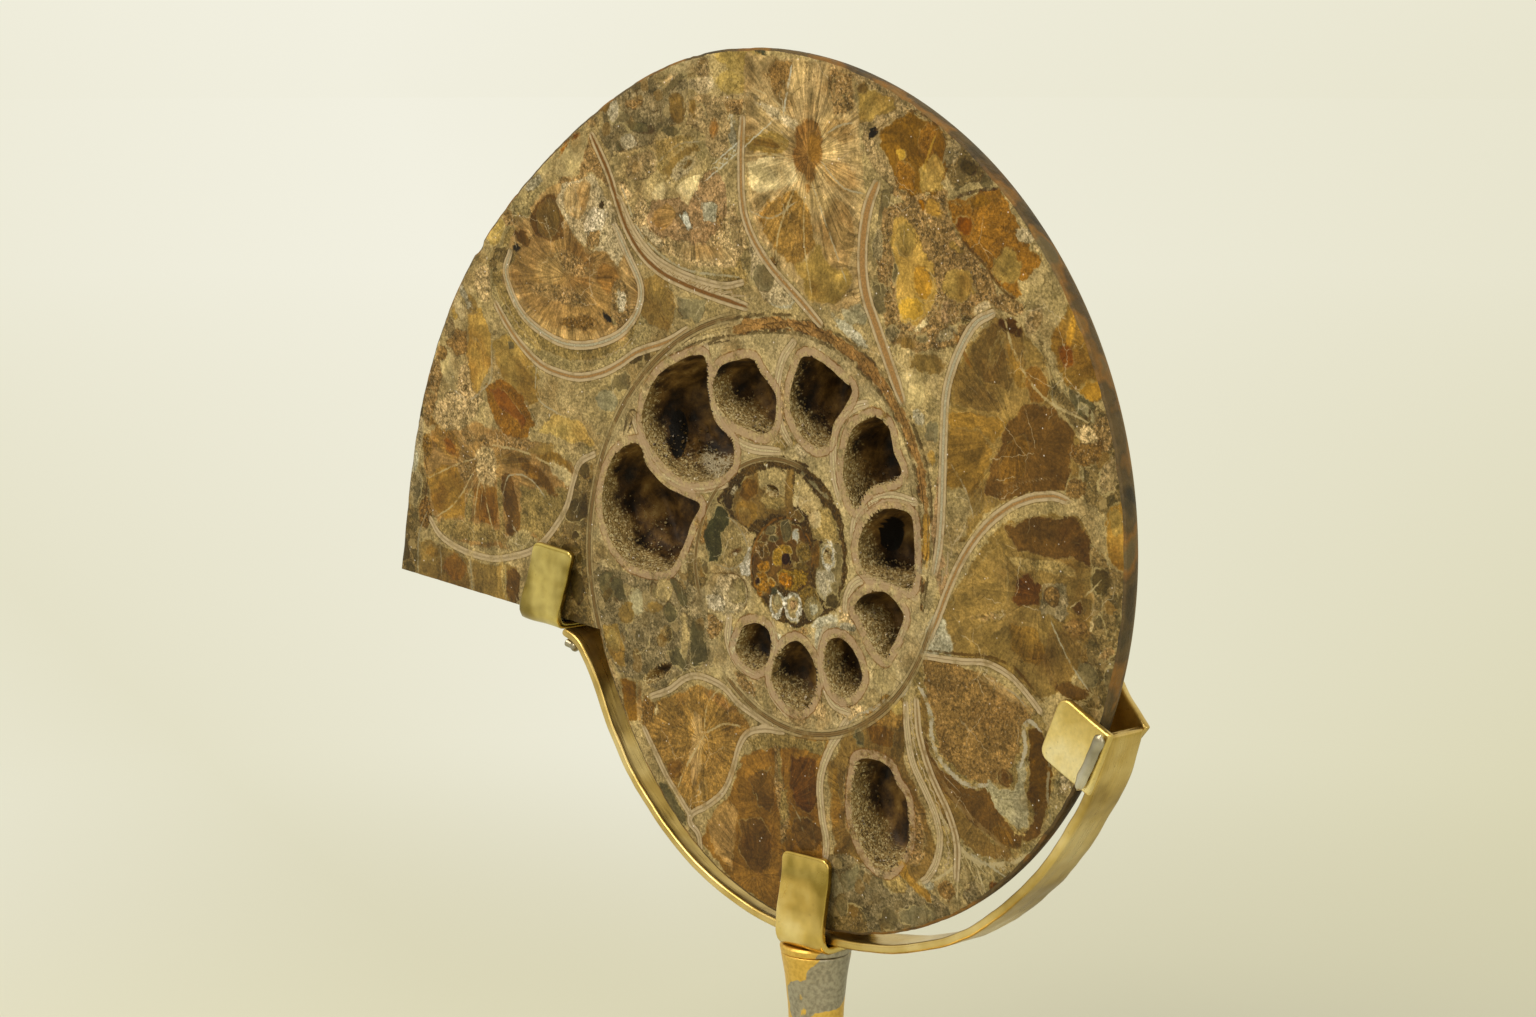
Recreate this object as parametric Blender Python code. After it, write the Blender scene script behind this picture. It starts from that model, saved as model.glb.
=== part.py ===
"""Half an ammonite, sawn flat and polished, held up by a brass cradle on a round stem and foot.

The shell lies in the X-Z plane. Its sawn face looks along -Y and its natural flank along +Y.
Every piece is modelled in millimetres about the centre of the shell's spiral, or about the
stand's axis, and add_piece turns it into metres and puts it in its place.
"""
import math

import bmesh
import bpy
from mathutils import Matrix, Vector

MM = 0.001
GAP = 0.3                      # clearance between pieces that touch

# The shell's spiral. Turns are in radians, clockwise from the -X side, inwards from the mouth.
MOUTH_RADIUS = 104.4           # centre to outer edge at the mouth
TIGHTENING = (0.1017, 0.0015)  # how fast the spiral closes, and how that rate itself grows
MOUTH_TURN = -0.1215           # where the broken mouth meets the outer edge
MOUTH_OFFSET = 22.4            # the straight mouth passes this far below the spiral's centre
MOUTH_SLOPE = 0.0888           # and falls this much towards the centre, in radians
WHORL_HALF_WIDTH = 0.187       # half the width of a whorl, over its outer radius
SHOULDER = 0.42                # where a whorl is widest, over its outer radius
UMBILICUS = 0.20               # where its inner wall stands, over its outer radius
VENTER_BLUNTNESS = 0.4
WHORL_ENDS = (5.0, 10.2, 15.4, 19.5)          # the spiral is joined from four lengths
WHORL_SECTIONS = (58, 46, 34, 22)
JOIN_OVERLAP = 0.15

# The stand
SPIRAL_CENTRE = Vector((-4.0, -3.3, 135.0))   # from the centre of the foot's underside
BAND_THICKNESS = 1.6
BAND_WIDTH = 8.6
BAND_FRONT = -1.0              # the band's front edge, from the sawn face
STRIP_THICKNESS = 1.4
CLIP_WIDTH = 11.4
STEM_RADIUS = 4.7
STEM_TOP_RADIUS = 6.3
FOOT_RADIUS = 54.0
FOOT_HEIGHT = 11.0
SOCKET_DEPTH = 8.0

# The hollow chambers that the saw opened: points round each rim, then the depth
HOLLOWS = (
    (((-38, 18), (-36, 14.5), (-31, 11), (-25.5, 9.6), (-21.8, 8.5), (-24, 5), (-27, -0.5),
      (-30, -4), (-35, -4.8), (-41, -4), (-45.5, -0.5), (-48, 5), (-47, 11), (-43.5, 16)), 12),
    (((-33, 30.5), (-27, 33.8), (-20.8, 35), (-19.9, 29), (-18, 24), (-13.5, 20.3),
      (-13.8, 16.2), (-19, 13.2), (-26, 12.6), (-32, 15.6), (-36.3, 20), (-36.5, 25)), 12),
    (((-16.7, 33.4), (-12, 35.1), (-8.5, 35.4), (-6.7, 33.4), (-3.2, 30.1), (-2.7, 27.2),
      (-3.5, 24.2), (-6.1, 22.5), (-9.6, 23.1), (-13.8, 24.2), (-17.3, 26.6), (-18.5, 29.5)), 9),
    (((3.3, 36.3), (5.9, 36.9), (9.2, 35.7), (13.3, 33.4), (15.4, 31.9), (13.9, 29.2),
      (11.2, 26), (10.1, 22.8), (7.4, 21.4), (4.5, 22.5), (2.1, 24.8), (0.6, 27.8),
      (1.2, 31.9)), 10),
    (((18, 26.9), (20.9, 27.8), (23.9, 26.3), (25.1, 22.5), (26.8, 19.5), (25.6, 17.8),
      (21.5, 16.6), (18.6, 15.1), (16.2, 11.9), (14.5, 14.2), (13.3, 17.8), (14.2, 22.5),
      (15.6, 25.4)), 9),
    (((20.5, 11), (24, 12.7), (28.8, 12.3), (29.8, 9), (30, 3), (29, -0.3), (24, 0.2),
      (18.5, 1.5), (17, 5), (18, 8.5)), 8.5),
    (((17.4, -3.4), (20.4, -1.9), (23.9, -1.8), (27.4, -4.6), (26.8, -7.5), (25.1, -10.5),
      (23.3, -12.8), (20.9, -11.6), (18, -7.5), (16.2, -5.2)), 7),
    (((10.4, -11.4), (13.3, -10.9), (16.2, -12.8), (18, -16.4), (16.8, -19.3), (13.9, -21.1),
      (10.9, -19.9), (9.2, -16.4), (9.3, -13.4)), 6.5),
    (((0.4, -13.4), (2.7, -12.7), (5.6, -14.6), (7.1, -18.1), (6.2, -22.2), (3.3, -24.9),
      (-0.8, -24), (-3.8, -20.5), (-3.2, -17.5), (-1.7, -15.2)), 6),
    (((-10.8, -11.9), (-7.3, -10.9), (-4.6, -11.9), (-4.1, -14.6), (-4.9, -17.5),
      (-7.9, -19.3), (-10.8, -18.4), (-12.9, -16.4), (-12, -14)), 5.5),
    (((17.2, -31.4), (20.6, -30.7), (24.4, -31.4), (26.1, -33.9), (28.3, -36.1),
      (28.9, -39.4), (29, -43.3), (27.2, -46.7), (24.4, -49.4), (21.1, -48.9),
      (18.3, -46.7), (16.1, -42.2), (15.8, -37.8), (16.4, -33.9)), 7),
)

# The band's centreline, from the left clip under the shell to the right clip
BAND_ROUTE = ((-58.1, -19.0), (-54.8, -20.2), (-52.3, -22.6), (-49.6, -26.8), (-45.0, -35.3),
              (-38.5, -44.3), (-29.6, -52.4), (-19.4, -58.6), (-9.0, -62.4), (1.0, -63.9),
              (11.0, -64.2), (21.0, -63.5), (31.2, -61.4), (41.4, -57.4), (51.6, -50.3),
              (59.8, -42.1), (66.8, -32.1), (70.6, -24.8), (72.6, -18.4))
BAND_LOW_POINT = -64.2

GILT = ("gilt_brass", (0.78, 0.57, 0.22), 0.28, 1.0)
BRASS = ("polished_brass", (0.72, 0.55, 0.24), 0.3, 1.0)
SOLDER = ("solder", (0.55, 0.55, 0.53), 0.45, 1.0)
STONE = ("calcite_and_shell", (0.52, 0.38, 0.22), 0.35, 0.0)


def clear_scene():
    """Removes whatever the file opened with."""
    for old in list(bpy.data.objects):
        bpy.data.objects.remove(old)


def material(name, colour, roughness, metallic):
    """One Principled BSDF, made once under its name."""
    found = bpy.data.materials.get(name)
    if found:
        return found
    made = bpy.data.materials.new(name)
    made.use_nodes = True
    shader = made.node_tree.nodes["Principled BSDF"]
    shader.inputs["Base Color"].default_value = (*colour, 1.0)
    shader.inputs["Roughness"].default_value = roughness
    shader.inputs["Metallic"].default_value = metallic
    return made


def add_piece(name, bm, finish, parent, sharp_deg=35.0):
    """Turns a bmesh in millimetres into a named object in metres under its parent empty."""
    bmesh.ops.remove_doubles(bm, verts=bm.verts, dist=0.0005)
    bmesh.ops.recalc_face_normals(bm, faces=bm.faces)
    bm.transform(Matrix.Scale(MM, 4))
    mesh = bpy.data.meshes.new(name)
    bm.to_mesh(mesh)
    bm.free()
    mesh.shade_smooth()
    mesh.set_sharp_from_angle(angle=math.radians(sharp_deg))
    mesh.materials.append(material(*finish))
    piece = bpy.data.objects.new(name, mesh)
    piece.parent = parent
    bpy.context.scene.collection.objects.link(piece)
    return piece


def as_tool(piece):
    """Marks an object that only shapes another, so that it isn't a piece itself."""
    piece.hide_render = True
    piece.display_type = "WIRE"
    return piece


def combine(piece, tool, operation):
    """Adds an exact Boolean with another object."""
    step = piece.modifiers.new(tool.name, "BOOLEAN")
    step.operation = operation
    step.object = as_tool(tool)
    step.solver = "EXACT"


def loft(bm, rings, closed_ends=True):
    """Skins rings of equally many points, and caps the first and the last."""
    loops = [[bm.verts.new(point) for point in ring] for ring in rings]
    for near, far in zip(loops, loops[1:]):
        for i, corner in enumerate(near):
            after = (i + 1) % len(near)
            bm.faces.new((corner, near[after], far[after], far[i]))
    if closed_ends:
        bm.faces.new(loops[0])
        bm.faces.new(loops[-1])
    return bm


def curve_through(points, steps):
    """A smooth open curve through points, as Catmull-Rom spans of equally many steps."""
    points = [Vector(point) for point in points]
    ends = [2 * points[0] - points[1], *points, 2 * points[-1] - points[-2]]
    curve = []
    for before, start, end, after in zip(ends, ends[1:], ends[2:], ends[3:]):
        for i in range(steps):
            t = i / steps
            curve.append(0.5 * (2 * start + (end - before) * t
                                + (2 * before - 5 * start + 4 * end - after) * t ** 2
                                + (3 * start - before - 3 * end + after) * t ** 3))
    return [*curve, points[-1]]


# ---- the ammonite ----

def venter_radius(turn):
    """Distance from the centre to a whorl's outer edge, after a turn inwards from the mouth."""
    spiral = MOUTH_RADIUS * math.exp(-TIGHTENING[0] * turn - TIGHTENING[1] * turn ** 2)
    mouth_flare = 2.6 * math.exp(-(turn - MOUTH_TURN) / 0.1)
    flattened = 3.1 * math.exp(-((turn - 0.85) / 0.38) ** 2)
    flattened += 3.0 * math.exp(-((turn - 5.6) / 0.5) ** 2)
    return spiral + mouth_flare - flattened


def mouth_lag(radius):
    """How far the straight mouth lies behind its outer end, as an angle, at a radius."""
    reach = max(radius, MOUTH_OFFSET + 1.5)
    return -(math.asin(MOUTH_OFFSET / reach) - MOUTH_SLOPE) - MOUTH_TURN


def flank_height(fraction):
    """Half the whorl's width over its widest, at a fraction of the outer radius."""
    if fraction > SHOULDER:
        outwards = (fraction - SHOULDER) / (1.0 - SHOULDER)
        return max(1.0 - outwards ** 2, 0.0) ** VENTER_BLUNTNESS
    inwards = (SHOULDER - fraction) / (SHOULDER - UMBILICUS)
    return max(1.0 - inwards ** 4, 0.0) ** 0.5


def whorl_section(turn, size, below):
    """One closed section of a whorl, from its venter over the flank to the umbilical wall."""
    radius = venter_radius(turn) * size
    half_width = WHORL_HALF_WIDTH * radius
    outer = [1.0 - (1.0 - SHOULDER) * (i / 8) ** 2 for i in range(9)]
    inner = [UMBILICUS + (SHOULDER - UMBILICUS) * step for step in (0.6, 0.25, 0.08, 0.01, 0.0)]
    profile = [(s, half_width * flank_height(s)) for s in (*outer, *inner)]
    under = [(s, -below) for s in (UMBILICUS, 0.24, 0.3, 0.42, 0.6, 0.8, 1.0)]
    profile = [*profile, *under]
    straighten = max(1.0 - (turn - MOUTH_TURN) / 1.2, 0.0) ** 2
    points = []
    for s, height in profile:
        angle = turn + straighten * mouth_lag(s * radius)
        points.append((-s * radius * math.cos(angle), height, s * radius * math.sin(angle)))
    return points


def whorl(name, start, end, sections, parent):
    """A length of the shell as one solid. Its ends shrink so that no faces coincide in a join."""
    rings = []
    for i in range(sections):
        turn = start + (end - start) * i / (sections - 1)
        hidden = max(0.0, 1.0 - (turn - start) / JOIN_OVERLAP) * (start > MOUTH_TURN)
        hidden += max(0.0, 1.0 - (end - turn) / JOIN_OVERLAP)
        rings.append(whorl_section(turn, 1.0 - 0.006 * hidden, below=2.0))
    return add_piece(name, loft(bmesh.new(), rings), STONE, parent)


def box(name, low, high, parent):
    """A plain block between two corners."""
    corners = [(x, z) for x, z in ((low[0], low[2]), (high[0], low[2]),
                                   (high[0], high[2]), (low[0], high[2]))]
    rings = [[(x, y, z) for x, z in corners] for y in (low[1], high[1])]
    return add_piece(name, loft(bmesh.new(), rings), STONE, parent)


def hollow_tool(name, parent):
    """All the chambers' hollows as one tool: a rim that stands clear of the face, then a dish."""
    bm = bmesh.new()
    for outline, depth in HOLLOWS:
        middle = sum((Vector(point) for point in outline), Vector((0, 0))) / len(outline)
        rings = []
        for sink, width in ((-1.5, 1.0), (0.4, 0.98), (depth * 0.45, 0.86),
                            (depth * 0.8, 0.62), (depth, 0.25)):
            rim = [middle + (Vector(point) - middle) * width for point in outline]
            rings.append([(point.x, sink, point.y) for point in rim])
        loft(bm, rings)
    return add_piece(name, bm, STONE, parent)


def ammonite_half(parent):
    """The whorls as one stone, sawn along the middle, with its hollow chambers open."""
    shell = whorl("ammonite_half", MOUTH_TURN, WHORL_ENDS[0], WHORL_SECTIONS[0], parent)
    lengths = [whorl(f"whorl_{i + 2}", start - JOIN_OVERLAP, end, sections, parent)
               for i, (start, end, sections)
               in enumerate(zip(WHORL_ENDS, WHORL_ENDS[1:], WHORL_SECTIONS[1:]))]
    hub_rings = [[(8 * math.cos(a), y, 8 * math.sin(a))
                  for a in (2 * math.pi * i / 16 for i in range(16))] for y in (-1.9, 1.9)]
    hub = add_piece("hub", loft(bmesh.new(), hub_rings), STONE, parent)
    for part in (*lengths, hub):
        combine(shell, part, "UNION")
    combine(shell, box("saw", (-130, -9, -90), (110, 0, 110), parent), "DIFFERENCE")
    combine(shell, hollow_tool("hollows", parent), "DIFFERENCE")
    return shell


# ---- the stand ----

def strip(path, across, width, thickness):
    """A flat strip: its middle line is a path, its width runs along one direction."""
    across = Vector(across).normalized()
    rings = []
    for i, point in enumerate(path):
        ahead = path[min(i + 1, len(path) - 1)] - path[max(i - 1, 0)]
        normal = ahead.normalized().cross(across).normalized() * thickness / 2
        side = across * width / 2
        rings.append([point - side - normal, point + side - normal,
                      point + side + normal, point - side + normal])
    return loft(bmesh.new(), rings)


def round_end(bm, near, radius, reach):
    """Rounds the two corners of a strip's end that lie within reach of a point."""
    edges = [edge for edge in bm.edges
             if (edge.verts[0].co - near).length < reach and (edge.verts[1].co - near).length < reach
             and edge.calc_length() < 1.05 * STRIP_THICKNESS]
    bmesh.ops.bevel(bm, geom=edges, offset=radius, segments=3, profile=0.5, affect="EDGES")


def cradle_band(parent):
    """The long band that follows the shell's underside."""
    middle = BAND_FRONT + BAND_WIDTH / 2
    path = [Vector((x, middle, z)) for x, z in curve_through(BAND_ROUTE, 3)]
    return add_piece("cradle_band", strip(path, (0, 1, 0), BAND_WIDTH, BAND_THICKNESS),
                     BRASS, parent)


def left_clip(parent):
    """A strip folded round the shell's broken mouth, in line with its slope."""
    slope = Matrix.Rotation(MOUTH_SLOPE, 4, "Y")
    floor = -MOUTH_OFFSET - GAP - STRIP_THICKNESS / 2
    side_view = ((-1.1, 15.0), (-1.5, 9.0), (-1.9, 3.0), (-1.3, 0.9), (0.6, 0.0), (10.0, 0.0),
                 (19.6, 0.0), (21.4, 0.9), (22.0, 3.0), (21.4, 7.5), (20.9, 11.5))
    along, lean = -62.2, 0.19
    path = [Vector((along + lean * rise, y, floor + rise))
            for y, rise in curve_through(side_view, 2)]
    bm = strip(path, (1, 0, 0), CLIP_WIDTH - 0.4, STRIP_THICKNESS)
    round_end(bm, path[0], 1.6, 8.0)
    round_end(bm, path[-1], 1.6, 8.0)
    bm.transform(slope)
    return add_piece("left_clip", bm, BRASS, parent)


def middle_clip(parent):
    """A strip that passes under the band and stands up in front of the shell and behind it."""
    floor = BAND_LOW_POINT - BAND_THICKNESS / 2 - GAP - STRIP_THICKNESS / 2
    back = BAND_FRONT + BAND_WIDTH
    side_view = ((-1.1, 16.2), (-1.3, 12.0), (-2.1, 8.0), (-2.7, 4.0), (-2.6, 1.6), (-1.7, 0.2),
                 (0.2, 0.0), (4.0, 0.0), (back, 0.0), (back + 1.5, 0.6), (back + 1.9, 2.0),
                 (back + 2.0, 5.0), (back + 2.2, 8.0), (back + 3.4, 12.0), (back + 3.8, 14.6))
    path = [Vector((6.0, y, floor + rise)) for y, rise in curve_through(side_view, 2)]
    bm = strip(path, (1, 0, 0), CLIP_WIDTH, STRIP_THICKNESS)
    round_end(bm, path[0], 1.6, 8.0)
    round_end(bm, path[-1], 1.6, 8.0)
    return add_piece("middle_clip", bm, GILT, parent)


def right_front_prong(parent):
    """The tab soldered across the band's front edge, lying on the sawn face."""
    root, tip = Vector((72.3, 0, -23.1)), Vector((61.3, 0, -18.3))
    heights = ((0.0, -2.0), (0.4, -1.7), (0.8, -1.2), (1.0, -1.1))
    path = [root.lerp(tip, share) + Vector((0, y, 0)) for share, y in heights]
    along = (tip - root).normalized()
    across = along.cross(Vector((0, 1, 0)))
    bm = strip(path, across, CLIP_WIDTH, STRIP_THICKNESS)
    round_end(bm, path[-1], 2.0, 8.0)
    return add_piece("right_front_prong", bm, GILT, parent)


def right_back_prong(parent):
    """The tab behind the shell, from the band's back edge."""
    root, tip = Vector((70.4, 0, -21.8)), Vector((60.5, 0, -13.3))
    back = BAND_FRONT + BAND_WIDTH + GAP + STRIP_THICKNESS / 2
    heights = ((0.0, back), (0.45, back + 0.8), (0.75, back + 2.2), (1.0, back + 3.2))
    path = [root.lerp(tip, share) + Vector((0, y, 0)) for share, y in heights]
    across = (tip - root).normalized().cross(Vector((0, 1, 0)))
    bm = strip(path, across, CLIP_WIDTH - 2.4, STRIP_THICKNESS)
    round_end(bm, path[-1], 1.6, 8.0)
    return add_piece("right_back_prong", bm, BRASS, parent)


def bead(bm, centre, radii, turned=0.0):
    """One round drop of solder."""
    place = Matrix.Translation(centre) @ Matrix.Rotation(turned, 4, "Y")
    place = place @ Matrix.Diagonal((*radii, 1.0))
    bmesh.ops.create_uvsphere(bm, u_segments=14, v_segments=9, radius=1.0, matrix=place)


def beads(name, drops, parent):
    """Drops of solder that ran together into one blob."""
    joined = None
    for i, (centre, radii, turned) in enumerate(drops):
        bm = bmesh.new()
        bead(bm, centre, radii, turned)
        drop = add_piece(name if joined is None else f"{name}_drop_{i}", bm, SOLDER, parent)
        if joined is None:
            joined = drop
        else:
            combine(joined, drop, "UNION")
    return joined


def solder(parent):
    """The solder at the left clip, along the right tab and between the middle clip and stem."""
    beads("left_solder", (((-57.6, 0.2, -21.2), (0.9, 0.9, 0.85), 0.0),
                          ((-56.3, 0.5, -21.8), (1.0, 0.95, 0.95), 0.3)), parent)
    seam = math.radians(-64)
    beads("right_solder", (((70.9, -3.6, -22.9), (5.4, 0.65, 1.1), seam),
                           ((73.3, -3.9, -18.6), (1.3, 0.85, 1.1), 0.0)), parent)


def turned(name, profile, segments, finish, parent):
    """A solid of revolution about the stand's axis. The profile runs from top to bottom."""
    rings = []
    for radius, height in profile:
        angles = (2 * math.pi * i / segments for i in range(segments))
        rings.append([(radius * math.cos(a), radius * math.sin(a), height) for a in angles])
    return add_piece(name, loft(bmesh.new(), rings), finish, parent)


def stem_and_foot(axis):
    """The round stem, flared under the middle clip, and the disc that it stands in."""
    clip_top = SPIRAL_CENTRE.z + BAND_LOW_POINT - BAND_THICKNESS / 2 - GAP
    solder_top = clip_top - STRIP_THICKNESS - GAP
    wafer = 0.9
    turned("stem_solder", ((5.2, solder_top), (6.2, solder_top - 0.35), (6.0, solder_top - wafer),
                           (4.6, solder_top - wafer)), 32, SOLDER, axis)
    top = solder_top - wafer - GAP
    socket = FOOT_HEIGHT - SOCKET_DEPTH
    turned("stem", ((STEM_TOP_RADIUS, top), (STEM_TOP_RADIUS - 0.3, top - 1.5),
                    (STEM_RADIUS + 0.8, top - 4.5), (STEM_RADIUS + 0.25, top - 10.0),
                    (STEM_RADIUS, top - 16.0), (STEM_RADIUS, socket + GAP + 0.5),
                    (STEM_RADIUS - 0.5, socket + GAP)), 32, GILT, axis)
    edge = FOOT_RADIUS
    foot = turned("foot", ((7.5, FOOT_HEIGHT), (9.5, FOOT_HEIGHT - 0.5), (10.5, FOOT_HEIGHT - 1.6),
                           (12.0, FOOT_HEIGHT - 2.4), (edge - 12.0, FOOT_HEIGHT - 3.8),
                           (edge - 9.0, FOOT_HEIGHT - 4.0), (edge - 8.4, FOOT_HEIGHT - 4.9),
                           (edge - 2.6, FOOT_HEIGHT - 5.3), (edge - 1.0, FOOT_HEIGHT - 5.9),
                           (edge - 0.2, FOOT_HEIGHT - 7.0), (edge, FOOT_HEIGHT - 8.2),
                           (edge - 0.5, 0.4), (edge - 1.1, 0.0)), 72, BRASS, axis)
    hole = turned("stem_socket", ((STEM_RADIUS + GAP, FOOT_HEIGHT + 1.0),
                                  (STEM_RADIUS + GAP, socket)), 32, BRASS, axis)
    combine(foot, hole, "DIFFERENCE")


def main():
    clear_scene()
    centre = bpy.data.objects.new("spiral_centre", None)
    centre.location = SPIRAL_CENTRE * MM
    axis = bpy.data.objects.new("stand_axis", None)
    for empty in (centre, axis):
        bpy.context.scene.collection.objects.link(empty)
    ammonite_half(centre)
    cradle_band(centre)
    left_clip(centre)
    middle_clip(centre)
    right_front_prong(centre)
    right_back_prong(centre)
    solder(centre)
    stem_and_foot(axis)


main()
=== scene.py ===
"""Half an ammonite, sawn and polished, on a hand-bent brass cradle with a round stem and foot.

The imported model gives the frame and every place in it. The shell is worked out about the centre
of its spiral, in millimetres: x to the right along the sawn face, y into the stone, z up.
"""
import functools
import math

import bpy
import numpy as np
from bpy.props import FloatProperty, FloatVectorProperty, IntProperty, PointerProperty
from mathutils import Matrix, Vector


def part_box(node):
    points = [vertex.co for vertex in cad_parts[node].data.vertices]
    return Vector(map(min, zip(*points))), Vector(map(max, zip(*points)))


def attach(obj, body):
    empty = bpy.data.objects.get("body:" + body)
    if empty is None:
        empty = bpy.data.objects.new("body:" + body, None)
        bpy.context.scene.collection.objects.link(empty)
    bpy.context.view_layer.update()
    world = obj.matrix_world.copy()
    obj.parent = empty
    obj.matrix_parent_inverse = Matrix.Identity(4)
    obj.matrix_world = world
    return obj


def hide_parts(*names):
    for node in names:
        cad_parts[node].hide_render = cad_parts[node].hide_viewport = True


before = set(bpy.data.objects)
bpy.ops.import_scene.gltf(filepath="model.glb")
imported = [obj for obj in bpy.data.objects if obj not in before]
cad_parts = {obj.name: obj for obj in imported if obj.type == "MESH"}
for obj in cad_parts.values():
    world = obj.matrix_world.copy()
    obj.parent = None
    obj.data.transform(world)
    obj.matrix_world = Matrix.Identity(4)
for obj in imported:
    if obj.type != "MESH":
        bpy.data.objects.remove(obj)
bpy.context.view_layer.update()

bl_info = {
    "name": "Ammonite half on a brass cradle",
    "version": (1, 0, 0),
    "blender": (4, 5, 0),
    "location": "View3D > Sidebar > Ammonite",
    "description": "Builds a sawn ammonite half, its cradle and a plain studio",
    "category": "Add Mesh",
}

MM = 0.001
SHELL_LOW, SHELL_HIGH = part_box("ammonite_half")

# ---- the shell's spiral: turns in radians, clockwise from the left, inwards from the mouth ----
MOUTH_RADIUS = 104.4           # centre to outer edge at the mouth
TIGHTENING = (0.1017, 0.0015)  # how fast the spiral closes, and how that rate itself grows
MOUTH_TURN = -0.1215           # where the broken mouth meets the outer edge
MOUTH_OFFSET = 22.4            # the straight mouth passes this far below the spiral's centre
MOUTH_SLOPE = 0.0888           # and falls this much towards the centre
MOUTH_END_TURN = -0.3433       # where it meets the whorl inside
BREAK_OFFSET = 22.8            # the outer whorl ends on the flank this far below the centre
MOUTH_FLARE, FLARE_LENGTH = 2.6, 0.1   # the mouth widens by this much, over this turn
FLATTENED = ((3.1, 0.85, 0.38), (3.0, 5.6, 0.5))   # where the edge is flatter: how deep, its turn, its spread
WHORL_HALF_WIDTH = 0.187       # half the width of a whorl, over its outer radius
SHOULDER = 0.42                # where a whorl is widest, over its outer radius
UMBILICUS = 0.20               # where its inner wall stands, over its outer radius
VENTER_BLUNTNESS = 0.4
REACH_LEFT = 107.52            # the spiral's centre, from the left end of the shell's box
REACH_UP = 88.94               # and from its top
SPIRAL_CENTRE = np.array([SHELL_LOW.x / MM + REACH_LEFT, SHELL_LOW.y / MM, SHELL_HIGH.z / MM - REACH_UP])
RING_CENTRE = np.array([-12.0, 12.0])   # the grids' rings are the outline shrunk towards here
OFF_THE_MOUTH = [math.sin(MOUTH_SLOPE), math.cos(MOUTH_SLOPE)]   # the way across the break, outwards
RIM_SHARES = (0.04, 0.13, 0.26, 0.4, 0.55, 0.7, 0.85, 1.0)   # the rim's rows, over its height
RIM_CATCH = 0.34               # points this near an opened chamber's rim are slid onto it

# The chambers that the saw opened: points round each rim, then the depth. After them, three small
# pits in the filling: a place, two radii, the depth, and how steeply the pit slants.
HOLLOWS = (
    (((-38, 18), (-36, 14.5), (-31, 11), (-25.5, 9.6), (-21.8, 8.5), (-24, 5), (-27, -0.5),
      (-30, -4), (-35, -4.8), (-41, -4), (-45.5, -0.5), (-48, 5), (-47, 11), (-43.5, 16)), 12),
    (((-33, 30.5), (-27, 33.8), (-20.8, 35), (-19.9, 29), (-18, 24), (-13.5, 20.3),
      (-13.8, 16.2), (-19, 13.2), (-26, 12.6), (-32, 15.6), (-36.3, 20), (-36.5, 25)), 12),
    (((-16.7, 33.4), (-12, 35.1), (-8.5, 35.4), (-6.7, 33.4), (-3.2, 30.1), (-2.7, 27.2),
      (-3.5, 24.2), (-6.1, 22.5), (-9.6, 23.1), (-13.8, 24.2), (-17.3, 26.6), (-18.5, 29.5)), 9),
    (((3.3, 36.3), (5.9, 36.9), (9.2, 35.7), (13.3, 33.4), (15.4, 31.9), (13.9, 29.2),
      (11.2, 26), (10.1, 22.8), (7.4, 21.4), (4.5, 22.5), (2.1, 24.8), (0.6, 27.8),
      (1.2, 31.9)), 10),
    (((18, 26.9), (20.9, 27.8), (23.9, 26.3), (25.1, 22.5), (26.8, 19.5), (25.6, 17.8),
      (21.5, 16.6), (18.6, 15.1), (16.2, 11.9), (14.5, 14.2), (13.3, 17.8), (14.2, 22.5),
      (15.6, 25.4)), 9),
    (((20.5, 11), (24, 12.7), (28.8, 12.3), (29.8, 9), (30, 3), (29, -0.3), (24, 0.2),
      (18.5, 1.5), (17, 5), (18, 8.5)), 8.5),
    (((17.4, -3.4), (20.4, -1.9), (23.9, -1.8), (27.4, -4.6), (26.8, -7.5), (25.1, -10.5),
      (23.3, -12.8), (20.9, -11.6), (18, -7.5), (16.2, -5.2)), 7),
    (((10.4, -11.4), (13.3, -10.9), (16.2, -12.8), (18, -16.4), (16.8, -19.3), (13.9, -21.1),
      (10.9, -19.9), (9.2, -16.4), (9.3, -13.4)), 6.5),
    (((0.4, -13.4), (2.7, -12.7), (5.6, -14.6), (7.1, -18.1), (6.2, -22.2), (3.3, -24.9),
      (-0.8, -24), (-3.8, -20.5), (-3.2, -17.5), (-1.7, -15.2)), 6),
    (((-10.8, -11.9), (-7.3, -10.9), (-4.6, -11.9), (-4.1, -14.6), (-4.9, -17.5),
      (-7.9, -19.3), (-10.8, -18.4), (-12.9, -16.4), (-12, -14)), 5.5),
    (((17.2, -31.4), (20.6, -30.7), (24.4, -31.4), (26.1, -33.9), (28.3, -36.1),
      (28.9, -39.4), (29, -43.3), (27.2, -46.7), (24.4, -49.4), (21.1, -48.9),
      (18.3, -46.7), (16.1, -42.2), (15.8, -37.8), (16.4, -33.9)), 7),
)
PITS = ((-3.7, 12.9, 1.4, 0.9, 1.4, 0), (9.8, 3.2, 0.5, 0.7, 0.8, 0), (-33, -23.4, 4.0, 1.1, 1.4, 0.5))
# Marks on the chambers' linings: x, z, and how far they reach across and up. The first are painted
# shade, which darkens two deep holes nearly to black; the second is white sugar.
PAINTED_SHADE_HOLES = ((-28, 19.5, 2.6, 4.6), (25, 7.4, 3.4, 3.6))
WHITE_SUGAR = ((-17.5, 16, 4.6, 3.2),)


def srgb(colour, alpha=1.0):
    """A hex colour such as "BBA36C" as linear red, green and blue, and an alpha."""
    shares = [int(colour[i:i + 2], 16) / 255 for i in (0, 2, 4)]
    linear = [s / 12.92 if s <= 0.04045 else ((s + 0.055) / 1.055) ** 2.4 for s in shares]
    return (*linear, alpha)


# ---- numbers that vary smoothly over the stone ----

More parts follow.
